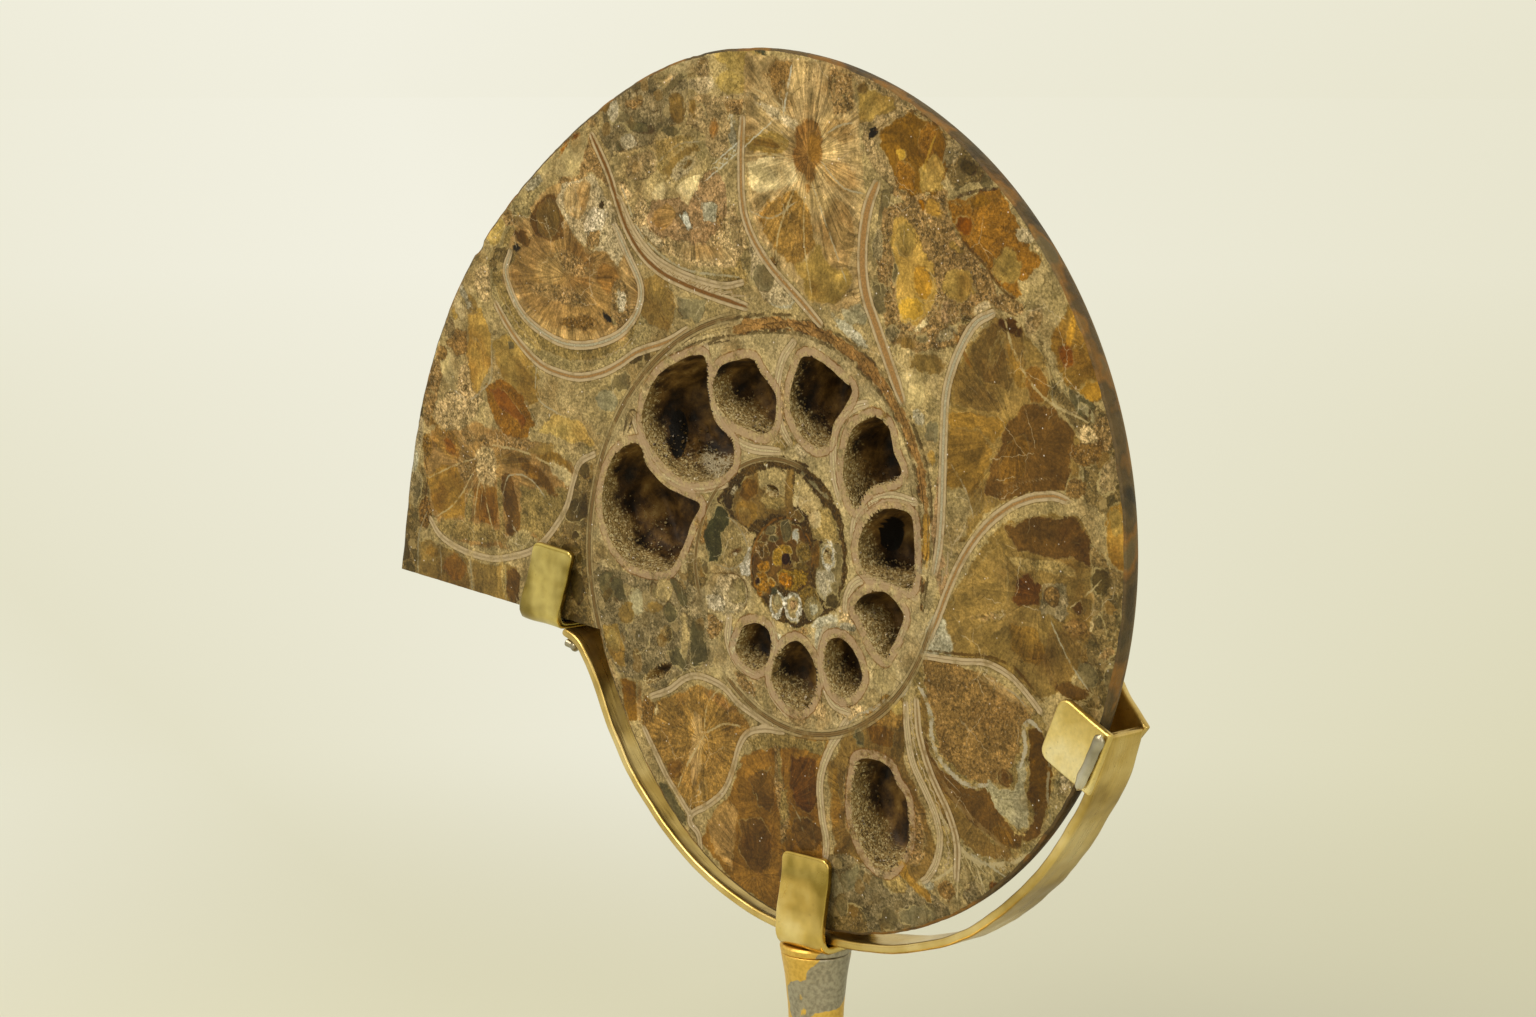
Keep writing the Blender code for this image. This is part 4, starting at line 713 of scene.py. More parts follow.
    ("core_bright", -6.2, -3.6, 2, 1.9, 20), ("core_orange", -6.6, -5.4, 1, 0.8, 0),
    ("core_bright", -3.8, -3.2, 0.9, 0.9, 0), ("red_dark", -7.4, -3.4, 0.5, 0.5, 0),
    ("slate", -3.4, -4.6, 0.9, 0.6, 20),
    # the two chambers left of it
    ("shell_shade", ((-14.9, 6), (-12.6, 6.4), (-10.6, 4), (-9.6, 1.6), (-11.6, -0.6), (-14, -1.6), (-18, -1.2),
                     (-16.4, 1), (-16.6, 4))), ("shell_shade", -13.4, 2.6, 2.6, 2.6, 20),
    ("brown", -12.6, 1.2, 1.6, 0.7, 24), ("khaki", -12.8, 0.8, 1, 0.4, 24),
    ("white", ((-9.6, 3.4), (-8.8, 0), (-9.2, -2.6), (-10.8, -2.6), (-11.6, -1.2), (-10.2, 0.4))),
    ("grey_blue", -20.6, -2.6, 0.9, 1.4, 20),
)

# Lines: the stone, half the width, then the points. A wall between chambers is a pale double line
# round a core of its stone, and a thread is one line.
WALLS = (
    ("wall_cream", 0.12, ((-98, -2), (-95, -5), (-90, -6.8), (-85, -7.6), (-79, -7.8), (-73, -6.6), (-68, -5),
                          (-64, -2.5), (-60, 1.5), (-57.5, 5), (-56, 9), (-54, 13), (-50, 15))),
    ("wall_tan", 0.3, ((-77.5, 41), (-74, 37), (-70, 33.5), (-65, 30.5), (-60, 29.2), (-54, 28.8), (-48, 30),
                       (-43, 32), (-38, 34.6), (-30, 37), (-25, 39.5))),
    ("wall_brown", 0.4, ((-50, 73), (-46, 67), (-44, 63), (-41, 57), (-37, 52.4), (-32, 49.4), (-27, 47.8),
                         (-20, 46.2), (-10, 44.4))),
    ("wall_tan", 0.35, ((-11, 77), (-11.4, 70), (-11, 62), (-8.6, 56.6), (-4, 51.6), (3, 46.4), (8, 42.5))),
    ("wall_tan", 0.65, ((21, 67), (19, 63), (17.9, 58), (17.7, 53), (18.6, 48), (21, 43), (24, 37), (27, 31))),
    ("khaki", 0.35, ((47, 47), (43, 45), (40, 41), (38, 37), (36.8, 33), (36.4, 28), (36.2, 22), (36, 14),
                     (35.5, 8), (34.5, 3))),
    ("wall_tan", 0.3, ((63, 18), (60, 18.5), (55, 17.6), (50, 15.3), (45, 11.4), (40.6, 6), (37.6, 0.6),
                       (35.5, -4), (33.5, -8))),
    ("wall_cream", 0.05, ((32, -11.3), (41, -11), (46, -10.5), (51, -11.8), (55, -14.4), (58, -17))),
    ("wall_cream", 0.2, ((28.2, -20), (28.6, -25), (30, -30), (33.4, -35), (35.4, -38.6), (36.2, -42),
                         (35.4, -46), (33.4, -49), (32.4, -49.8))),
    ("rust_light", 0.2, ((30.6, -19), (31.4, -25), (34, -31), (38, -37), (40, -42), (40, -48))),
    ("wall_cream", 0.3, ((14.4, -25), (12.6, -27.6), (10.4, -30.6), (8.6, -34.4), (8, -38), (8.6, -43),
                         (9.6, -47), (9.4, -50))),
    ("wall_cream", 0.1, ((-1, -29.3), (-6, -29.6), (-10, -31), (-12.2, -34), (-13.6, -38), (-16, -42.4),
                         (-20, -45.6), (-24, -47.8), (-24.8, -49.6), (-22.6, -51.4), (-22, -54))),
    ("wall_cream", 0.1, ((-37, -34), (-34, -38), (-31, -42), (-28, -45), (-25, -48))),
    ("wall_cream", 0.1, ((-35, -28), (-30, -26), (-26, -23.4), (-22, -22.4), (-16, -23.5), (-12, -26),
                         (-5, -28.5))),
    ("wall_cream", 0.1, ((-42.6, 62), (-39, 56.6), (-34.6, 52.6), (-30, 50.4), (-24, 48.8), (-16, 47.8),
                         (-11, 48.6))),
    ("khaki", 0.3, ((-73, 51), (-74.4, 46.4), (-70, 39.6), (-62, 35.6), (-55, 34.6), (-48, 35.6), (-42, 38),
                    (-38, 42), (-37.2, 46.6), (-40.6, 52), (-44, 57))),
    # the second whorl's walls between chambers
    ("wall_cream", 0.3, ((-39, 22), (-36, 17), (-33, 14), (-28, 11.8), (-22, 11.4), (-15, 13))),
    ("wall_cream", 0.3, ((-20.2, 36.9), (-20, 31.5), (-19.1, 27.8), (-17, 24.2), (-12.9, 21), (-8.4, 19.8),
                         (-2, 19.9))),
    ("wall_cream", 0.3, ((1.6, 39.2), (-1.1, 36), (-2.5, 31.5), (-2.5, 27), (-1.1, 23.7), (0.7, 21.5))),
    ("wall_cream", 0.3, ((18.9, 30), (15.3, 28.7), (12, 25.5), (11, 21.5), (11.4, 17), (12.5, 13.3))),
    ("wall_cream", 0.3, ((30.3, 14.4), (24.4, 14.8), (19.8, 13.3), (16.6, 10.6), (15.6, 7))),
    ("wall_cream", 0.3, ((30.3, -1.7), (26.2, 0), (22.5, 0.5), (17, -0.4), (14.6, -3), (14, -6))),
    ("wall_cream", 0.3, ((23, -12.4), (26.6, -9), (28.6, -4))),
    ("wall_cream", 0.3, ((9.4, -9.6), (8.2, -13), (8.6, -18), (11, -22.4), (15, -23.4))),
    ("wall_cream", 0.3, ((-3.8, -10.4), (-3, -14), (-4.6, -19), (-3.6, -23), (0, -26))),
    ("wall_cream", 0.3, ((-14.4, -10.6), (-14.8, -15), (-12, -19), (-7, -20.4))),
)
THREADS = (
    # dark lines along the amber strip and the spiral walls
    ("line_dark", 0.24, ((-30, 34), (-22, 37.6), (-13.6, 39.2), (-8, 40.2), (0, 41.2), (8, 39.8), (16, 36.6),
                         (22, 32.2), (27, 26.2), (30, 20.2), (31.6, 12), (31.9, 3), (31.5, -3.4))),
    ("line_dark", 0.26, ((-36, 31), (-28, 36.6), (-20, 40.6), (-13.6, 42.2), (-8, 43.2), (0, 43.7), (8, 42.7),
                         (17, 39.1), (23.8, 34.4), (29.1, 28.2), (32.7, 20.6), (33.9, 12), (33.1, 3),
                         (32, -4))), ("line_dark", 0.16, ((-6, 41.6), (0, 42.4), (6, 41.8), (12, 40))),
    ("red_dark", 0.2, ((-25, 34.4), (-20.6, 36.9), (-14.3, 38.3))),
    ("line_dark", 0.2, ((-42, 20), (-41, 22.6), (-39.6, 24), (-37.4, 23), (-36, 21))),
    ("line_dark", 0.14, ((28.4, -1), (30.4, 6), (30.2, 12), (29, 17))),
    # pale seams, streaks and scratches
    ("cream", 0.21, ((-82, 8), (-80, 0), (-77, -6))), ("cream", 0.18, ((-83, 7), (-84.6, 0), (-85, -5))),
    ("cream", 0.18, ((-84, 9), (-90, 2), (-97, -2))), ("cream", 0.18, ((-84, 11), (-91, 8.8), (-98.6, 5.6))),
    ("cream", 0.24, ((-79, 14), (-70, 13.6), (-63, 12), (-56, 10.6))),
    ("khaki", 0.18, ((-76, 5), (-74, 8.6), (-68, 8.6), (-62, 4))),
    ("pale_lining", 0.18, ((-95, -6.6), (-94.6, -14))), ("pale_lining", 0.21, ((-86, -8), (-85.4, -15))),
    ("pale_lining", 0.18, ((-75.6, -8), (-75.4, -16))),
    ("pale_lining", 0.18, ((-99, -1), (-101.6, -6), (-102, -13))),
    ("crust_pale", 0.21, ((-90, 23.6), (-86, 22), (-82, 24), (-79, 27), (-79, 33))),
    ("khaki", 0.18, ((-66, 30), (-65.6, 24), (-58, 21))),
    ("white_bright", 0.16, ((-20, 66), (-12, 71), (-3, 77))), ("white_bright", 0.16, ((-18, 69), (-10, 74))),
    ("amber_yellow", 0.3, ((31, 68), (32.4, 71.6), (34, 75))),
    ("cream", 0.27, ((49, 47), (52, 40), (58, 34), (67, 31))),
    ("crust_pale", 0.21, ((43, 13.6), (41, 18), (38, 21.6))), ("cream", 0.18, ((64, 1), (68, 4), (70, 6))),
    ("khaki", 0.18, ((60, -2), (64, -8), (68, -12))),
    ("pale_lining", 0.24, ((49, -14), (52, -14.6), (55, -16.6))), ("cream", 0.21, ((40, -45), (40.4, -53))),
    ("cream", 0.21, ((42, -44), (46, -50))), ("khaki", 0.21, ((43, -43), (52, -46))),
    ("rust_light", 0.5, ((32, -27), (40, -35), (52, -41.6))),
    ("pale_lining", 0.18, ((1, -41.6), (3, -44), (4, -46))),
    ("cream", 0.24, ((-21, -33), (-26, -40), (-28, -44))),
    ("cream", 0.21, ((-20.6, -32.6), (-15, -30), (-7, -30.6))),
    ("cream", 0.21, ((-21, -32), (-20, -27), (-17, -24))),
    ("pale_lining", 0.18, ((0, -28.7), (8, -28.5), (14, -26), (18, -23), (23, -20.6), (27, -19))),
    ("khaki", 0.24, ((-42, 64), (-38, 57), (-33, 53), (-25, 50), (-12, 49.5))),
    ("pale_lining", 0.18, ((-32, 69), (-27, 72), (-22, 72.6))), ("khaki", 0.18, ((-9, 61), (-4, 60), (2, 63))),
    ("cream", 0.21, ((1, 70), (-4, 71), (-10, 70.4))), ("cream", 0.18, ((2, 76), (-3, 80), (-8, 82))),
    ("cream", 0.21, ((2, 66), (-2, 58), (-3, 51))), ("cream", 0.18, ((4, 65), (4, 56), (6, 47))),
    ("khaki", 0.18, ((6, 66), (10, 58), (14, 50))), ("khaki", 0.18, ((8, 70), (13, 66), (18, 65))),
    ("khaki", 0.18, ((8, 74), (12, 76), (17, 77))), ("white_bright", 0.3, ((-1, 78), (1, 86))),
    ("white", 0.5, ((31, -16.6), (32.4, -18), (34, -21.5), (34.2, -25), (36, -28.2), (39, -30.4), (42.4, -31.6),
                    (47, -30.8))),
    ("white", 0.5, ((58, -20), (55.6, -18.8), (54.4, -20.4), (54.8, -23.5), (53.8, -26.6))),
    ("wall_cream", 0.45, ((35, -36), (38.5, -40.4), (41, -42.6), (45, -44.4), (52, -43), (58, -39.6),
                          (60.6, -35.6))), ("wall_cream", 0.3, ((41, -42.6), (40.4, -46), (40, -51))),
    ("wall_cream", 0.3, ((44, -44.4), (46.4, -49))),
    ("wall_cream", 0.3, ((40, -45.6), (36, -48.6), (33.4, -49.6))),
    ("pale_lining", 0.3, ((60, -24), (59.6, -30), (60.4, -34))),
    ("white", 0.35, ((18.6, -23), (21.4, -21.8), (23, -20.4), (26, -19.6), (28.4, -17.6), (29.6, -15.6))),
    # dark cracks and edges
    ("brown_dark", 0.3, ((-15, 56), (-15.6, 59), (-15.4, 62))),
    ("brown_deep", 0.3, ((-99.6, 0.6), (-98.6, 6), (-99.4, 10))),
    ("slate", 0.7, ((50, 66), (55, 60.6), (60, 55))),
    ("red_dark", 0.3, ((-42, 19), (-41, 22), (-39.6, 22.6), (-40.6, 20))),
    ("brown_deep", 0.25, ((20.6, 75.6), (25, 77.8), (29, 78.9), (34, 77), (36.4, 73.4))),
    ("red_dark", 0.35, ((36.4, 64.6), (43, 66.4), (48.4, 67))),
    ("brown_deep", 0.3, ((37, 64.6), (38, 60.6), (41, 57.6), (45, 54.6), (48, 51.4), (52, 49))),
    ("orange", 0.6, ((38.5, 43), (40, 41), (42, 38))),
    ("orange", 0.22, ((-6, -7), (-8.7, -2.6), (-8.8, 0.7), (-7.3, 4.2), (-5.3, 6.4), (-2.7, 8), (0.3, 8.5),
                      (3, 7.8), (5, 5.8), (6, 3.3), (6, 0.6))),
    ("pale_lining", 0.2, ((-17.5, -1.7), (-14, -2), (-11, -0.6), (-9.7, 1.6), (-10.6, 4), (-13, 6.4),
                          (-15, 7))),
    ("brown_deep", 0.15, ((-20, -3.6), (-14, -2.8), (-11, -3.6), (-9.8, -6), (-10.6, -8.6), (-13.4, -10.4))),
    ("brown_dark", 0.25, ((-14, 39), (-6, 40.2), (3, 40.4), (12, 38), (20, 33.4), (26, 27), (30, 18.6),
                          (31.4, 8), (31.4, -3))),
    ("brown_dark", 0.3, ((-16, 41.4), (-8, 43), (2, 43.6), (11, 41.6), (19, 37.8), (26, 31.6), (31, 24),
                         (33.4, 14), (33.6, 4))),
    ("brown_deep", 0.3, ((32, -10.3), (41, -9.8), (46, -9.4), (52, -10.4), (57, -14))),
    ("pale_lining", 0.25, ((-18.4, -9), (-12, -9.6), (-9.6, -6))),
)

# Where the fibres of the calcite in each chamber fan out from
FANS = (
    (-81, 10), (-57, 47), (-33, 43), (-24, 60), (5, 71), (29, 54), (52, 27), (57, 2), (47, -33), (22, -40),
    (-1, -42), (-22, -34), (-8, -56), (-60, 24), (42, 60), (68, 42), (-46, 76), (-88, -40),
)


# ---- how it lies on the face ----

def oval(points, patch):
    """How far inside an oval each point lies: one less its distance over the radii, in mm."""
    _, x, z, across, up, turn = patch
    turn = math.radians(turn)
    along = (points[:, 0] - x) * math.cos(turn) + (points[:, 1] - z) * math.sin(turn)
    over = (points[:, 1] - z) * math.cos(turn) - (points[:, 0] - x) * math.sin(turn)
    return (1 - np.hypot(along / across, over / up)) * min(across, up)


def patch_depth(points, patch):
    """Which points lie near a patch, how far inside it each of them lies, and its least width."""
    if len(patch) == 2:
        corners = np.array(patch[1], float)
        held = near(points, corners, 2.0)
        return held, inside(points[held], corners), min(np.ptp(corners, axis=0))
    x, z, across, up = patch[1:5]
    reach = max(across, up)
    held = near(points, np.array([[x - reach, z - reach], [x + reach, z + reach]]), 2.0)
    return held, oval(points[held], patch), min(across, up)


def free_level(level, covered, beside):
    """The first layer over all the covered patches that has none of those beside it."""
    found = level[covered].max() + 1 if covered.any() else 0
    while found in level[beside]:
        found += 1
    return found


def stone_layers(points, ground):
    """The ground's colour and texture at each point, and the patches in as few layers as they need:
    no two patches of a layer come near each other, and one that lies over another is in a later
    layer. A layer holds each point's nearest patch's colour, and in its alpha how far inside that
    patch the point lies, in mm, so that its edge can be drawn finer than the points stand."""
    stones = {name: np.array([*srgb(colour)[:3], *texture]) for name, (colour, *texture) in STONES.items()}
    mixed = np.array([stones[name] for name in ("khaki_shade", "shell", "khaki_shade", "core_tan")])[ground]
    texture = mixed[:, 3:].copy()
    wander = 0.5 * noise(points, 2.6, 11) + 0.35 * noise(points, 1.3, 12)
    rng = np.random.default_rng(3)
    close, over = np.zeros((2, len(PATCHES), len(points)), bool)
    level, size = np.zeros((2, len(PATCHES)), int)
    layers = []
    for number, patch in enumerate(PATCHES):
        stone = stones[patch[0]]
        held, depth, least_width = patch_depth(points, patch)
        depth = depth + min(1.0, 0.35 * least_width) * wander[held]
        about, within = held[depth > -1.0], held[depth > 0.2]
        size[number] = len(within)
        shared = over[:number, within].sum(axis=1) / np.maximum(np.minimum(size[:number], len(within)), 1)
        level[number] = free_level(level[:number], shared > 0.15, close[:number, about].any(axis=1))
        close[number, about] = over[number, within] = True
        if level[number] == len(layers):
            layers.append(np.tile([0, 0, 0, -2.0], (len(points), 1)))
        layer = layers[level[number]]
        closer = depth > layer[held, 3]
        layer[held[closer], :3] = stone[:3] * rng.uniform(0.9, 1.1)
        layer[held[closer], 3] = depth[closer]
        texture[held] += (stone[3:] - texture[held]) * ease(-0.3, 0.3, depth)[:, None]
    return mixed[:, :3], texture, layers


def lines_at(points, lines, reach):
    """For the line nearest each point: its signed distance, its nearness (1 to 0 at the reach and
    past its ends), its half width, which tapers over its last 4 mm, and its stone's colour."""
    found = np.tile([reach, 0.0, 0.3, 0, 0, 0], (len(points), 1))
    for name, width, route in lines:
        curve = smooth_line(route)
        held = near(points, curve, reach)
        distance, way, beyond = to_line(points[held], curve)
        length = np.hypot(*np.diff(curve, axis=0).T).sum()
        taper = 0.45 + 0.55 * np.sqrt(np.clip(np.minimum(way, length - way) / 4, 0, 1))
        shown = ease(reach, reach * 0.6, abs(distance)) * ease(0.6, 0.1, beyond)
        closer = abs(distance) < abs(found[held, 0])
        values = np.column_stack([distance, shown, width * taper, np.tile(srgb(STONES[name][0])[:3], (len(held), 1))])
        found[held[closer]] = values[closer]
    return found


def fans_at(points):
    """The direction and distance from the nearest fan's heart, told apart by a number for each."""
    hearts = np.array(FANS, float)
    offset = points[:, None, :] - hearts[None]
    distance = np.hypot(offset[..., 0], offset[..., 1])
    nearest = distance.argmin(axis=1)
    row = np.arange(len(points))
    length = np.maximum(distance[row, nearest], 0.3)
    towards = offset[row, nearest] / length[:, None]
    return np.column_stack([towards, length / 10 + 3.7 * nearest])


def walls_at(points):
    """Signed distance to the nearest of the shell's spiral walls inside the outer edge, positive
    outwards, which whorl it parts, and the whorl that each point lies in."""
    radius, _ = polar(points)
    first = whorl_turns(points)
    edges = np.array([venter_radius(first + 2 * np.pi * number) for number in range(4)])
    gap = radius - edges
    ground = (gap < 0).sum(axis=0) - 1
    nearest = abs(gap[1:]).argmin(axis=0)
    return gap[1:][nearest, np.arange(len(points))], nearest + 1, np.clip(ground, 0, 3)


def rims_at(points):
    """Signed distance to the nearest opened chamber's rim, positive inside it."""
    distance = np.full(len(points), -60.0)
    for rim, _ in HOLLOWS:
        curve = smooth_line(rim, closed=True, steps=4)
        held = near(points, curve, 8)
        distance[held] = np.maximum(distance[held], inside(points[held], curve))
    return distance


# ---- meshes ----

def mesh_object(name, points, faces, materials, smooth=True, sharp=None):
    """A piece from points in metres and lists of equal-sided faces, at the origin and riding the frame."""
    mesh = bpy.data.meshes.new(name)
    sizes = np.concatenate([np.full(len(part), part.shape[1]) for part in faces])
    corners = np.concatenate([part.ravel() for part in faces])
    mesh.vertices.add(len(points))
    mesh.vertices.foreach_set("co", np.asarray(points, np.float32).ravel())
    mesh.loops.add(len(corners))
    mesh.loops.foreach_set("vertex_index", corners.astype(np.int32))
    mesh.polygons.add(len(sizes))
    mesh.polygons.foreach_set("loop_start", np.concatenate([[0], np.cumsum(sizes)[:-1]]).astype(np.int32))
    mesh.polygons.foreach_set("use_smooth", np.full(len(sizes), smooth))
    mesh.update(calc_edges=True)
    if sharp is not None:
        mesh.set_sharp_from_angle(angle=sharp)
    for material in materials:
        mesh.materials.append(material)
    piece = bpy.data.objects.new(name, mesh)
    bpy.context.scene.collection.objects.link(piece)
    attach(piece, "root")
    return piece


def add_values(piece, name, values):
    """Numbers, vectors or colours for a piece's points, for its materials to read."""
    values = np.asarray(values, np.float32)
    kind, field = {1: ("FLOAT", "value"), 3: ("FLOAT_VECTOR", "vector"), 4: ("FLOAT_COLOR", "color")}[
        1 if values.ndim == 1 else values.shape[1]]
    piece.data.attributes.new(name, kind, "POINT").data.foreach_set(field, values.ravel())


def to_frame(points):
    """Points about the spiral's centre, in millimetres, as places in the frame."""
    return (SPIRAL_CENTRE + points) * MM


def grid_faces(rows, columns, closed=False):
    """Four-sided faces of a grid of points, row by row; closed joins the last column to the first."""
    row, column = np.meshgrid(np.arange(rows - 1), np.arange(columns if closed else columns - 1), indexing="ij")
    row, column = row.ravel(), column.ravel()
    beside = (column + 1) % columns
    return np.stack([row * columns + column, row * columns + beside,
                     (row + 1) * columns + beside, (row + 1) * columns + column], axis=1)


# ---- the shell ----

def square_rings(cells):
    """A square grid as rings: each point's ring, from 0 at the middle to 1 at the edge, its way
    round that ring from 0 to 1, and the edge's points in order round it, clockwise."""
    along = np.linspace(-1, 1, cells + 1)
    v, u = (axis.ravel() for axis in np.meshgrid(along, along, indexing="ij"))
    ring = np.maximum(abs(u), abs(v))
    held = np.maximum(ring, 1e-9)
    right, top, left = (u >= ring) & (v < ring), (v >= ring) & (u > -ring), (u <= -ring) & (v > -ring)
    way = np.select([right, top, left], [(v / held + 1) / 8, (3 - u / held) / 8, (5 - v / held) / 8],
                    (7 + u / held) / 8)
    way = np.where(ring < 1e-6, 0, (1 - way) % 1)
    edge = np.flatnonzero(ring > 1 - 1e-9)
    return ring, way, edge[np.argsort(way[edge])]


def bent_to(edge, ring, way, gather):
    """A square grid's points in the plane: each ring is the edge's outline shrunk towards the ring
    centre, by a share that gathers the rings towards the middle."""
    place = way * len(edge)
    before = np.floor(place).astype(int) % len(edge)
    share = (place - np.floor(place))[:, None]
    on_edge = edge[before] * (1 - share) + edge[(before + 1) % len(edge)] * share
    shrink = (ring * (1 - gather + gather * ring))[:, None]
    return RING_CENTRE + shrink * (on_edge - RING_CENTRE)


def open_chambers(points):
    """Slides front points near a rim onto it, and sinks those inside: a wall that falls steeply
    from the rim and rounds into a craggy floor. Gives the points and their depth."""
    place = points.copy()
    depth = np.zeros(len(points))
    for index, (rim, deepest) in enumerate(HOLLOWS):
        curve = smooth_line(rim, closed=True, steps=8)
        middle = curve.mean(axis=0)
        held = near(points, curve, 2)
        offset = place[held] - middle
        angle = np.arctan2(offset[:, 1], offset[:, 0])
        around = np.arctan2(*(curve - middle).T[::-1])
        order = np.argsort(around)
        radius = np.interp(angle, around[order], np.hypot(*(curve - middle)[order].T), period=2 * math.pi)
        radius = radius * (1 + 0.02 * noise(np.column_stack([np.cos(angle), np.sin(angle)]) * 6, 1, index))
        share = np.hypot(*offset.T) / radius
        on_rim = abs(share - 1) < RIM_CATCH / radius
        within = (share < 1) & ~on_rim
        offset[on_rim] /= share[on_rim, None]
        inwards = 1 - share[within]
        fall = 1 - (1 - np.minimum(inwards / 0.72, 1)) ** 2.3
        sunk = np.column_stack([place[held][within], fall * deepest])
        crag = 0.11 * noise(sunk, 5, 20 + index) + 0.05 * noise(sunk, 1.9, 40 + index)
        depth[held[within]] = deepest * np.clip(fall * (1 + crag) + 0.02, 0.02, None)
        steep = (1 - inwards ** 1.35) ** 0.75 / np.maximum(share[within], 1e-6)
        lumps = 1 - 0.07 * noise(sunk, 3.4, 60 + index) * ease(0, 0.2, inwards)
        steep = np.where(inwards < 0.995, steep, 1) * lumps
        offset[within] *= np.minimum(steep * share[within], 0.985)[:, None] / share[within][:, None]
        place[held] = middle + offset
    for x, z, across, up, extra, slant in PITS:
        beside = place[:, 0] - x
        depth += extra * ease(1.0, 0.45, np.hypot(beside / across, (place[:, 1] - z - slant * beside) / up))
    return place, depth


def sawn_face(edge, cells):
    """The sawn face's points in the plane, their depth, and which of them lie on its edge."""
    ring, way, rim = square_rings(cells)
    face = bent_to(edge, ring, way, 0.22)
    outermost = ring > 0.985
    face[outermost] += (RING_CENTRE - face[outermost]) * 0.002
    return *open_chambers(face), rim


def rim_rows(edge, on_mouth, turns):
    """The venter and the broken mouth, in rows from the sawn face to where the flank takes over: the
    venter bulges as a whorl's section does, and the mouth is rough."""
    radius = np.hypot(*edge.T)
    unit = edge / radius[:, None]
    whorl_radius = venter_radius(turns)
    top, _ = flank(edge * (np.minimum(radius, 0.97 * whorl_radius) / radius)[:, None], turns)
    rows = []
    for share in RIM_SHARES:
        height = share * top
        fullness = np.clip(1 - (height / (WHORL_HALF_WIDTH * whorl_radius)) ** 2.5, 0, 1)
        bulge = SHOULDER + (1 - SHOULDER) * np.sqrt(fullness)
        reach = np.minimum(radius + 0.3 * ease(0, 0.04, share), whorl_radius * bulge)
        reach = np.where(on_mouth, np.minimum(radius, whorl_radius * bulge), reach)
        row = unit * reach[:, None]
        rough = np.column_stack([row[:, 0], height, row[:, 1]])
        lumps = 0.55 * (noise(rough, 4.5, 81) + 0.3) + 0.35 * noise(rough, 1.7, 82)
        broken = on_mouth * ease(0, 0.2, share) * lumps * ease(0, 3, top)
        row = row + np.outer(np.maximum(broken, -0.1), OFF_THE_MOUTH)
        rows.append(np.column_stack([row[:, 0], height, row[:, 1]]))
    return np.array(rows)


def break_line(points):
    """Signed height over the line of the broken mouth, and where it is still a step on the flank."""
    height = points[:, 1] - (-BREAK_OFFSET / math.cos(MOUTH_SLOPE) - math.tan(MOUTH_SLOPE) * points[:, 0])
    radius, _ = polar(points)
    return height * math.cos(MOUTH_SLOPE), (points[:, 0] < 12) & (radius > 20)


def flank_points(last_row, cells):
    """The coiled flank, each point as high as the highest whorl there, with faint ribs and wear; points
    near the break are slid to one side of it, so that it stands as a ragged step. Gives the points,
    their turn along the coil, their way across it, their whorl, and which lie on the edge."""
    ring, way, rim = square_rings(cells)
    back = bent_to(last_row[:, [0, 2]], ring, way, 0.12)
    over, stepped = break_line(back)
    slide = stepped & (abs(over) < 0.85) & (ring < 0.999)
    jag = 0.5 * noise(back, 4, 83)
    shift = np.where(over >= 0, 1, -1) * 0.06 - over
    even = back.copy()
    even[slide] += np.outer(shift[slide], OFF_THE_MOUTH)
    back = even.copy()
    back[slide] += np.outer(jag[slide], OFF_THE_MOUTH)
    turn = whorl_turns(even)
    height, whorl = flank(even, turn)
    height = np.maximum(height, 0.6)
    height[rim] = last_row[:, 1]
    turn = turn + 2 * np.pi * whorl
    across = polar(even)[0] / venter_radius(turn)
    ribs = 0.16 * np.sin(46 * turn + 7 * across ** 2) * ease(0.3, 0.5, across) * ease(1.0, 0.9, across)
    rough = np.column_stack([back[:, 0], height, back[:, 1]])
    worn = 0.3 * noise(rough, 9, 84) + 0.12 * noise(rough, 2.6, 85)
    inner = ring < 0.999
    height[inner] += ((ribs + worn) * ease(0, 3, height))[inner] - 0.25
    return np.column_stack([back[:, 0], height, back[:, 1]]), turn, across, whorl, rim


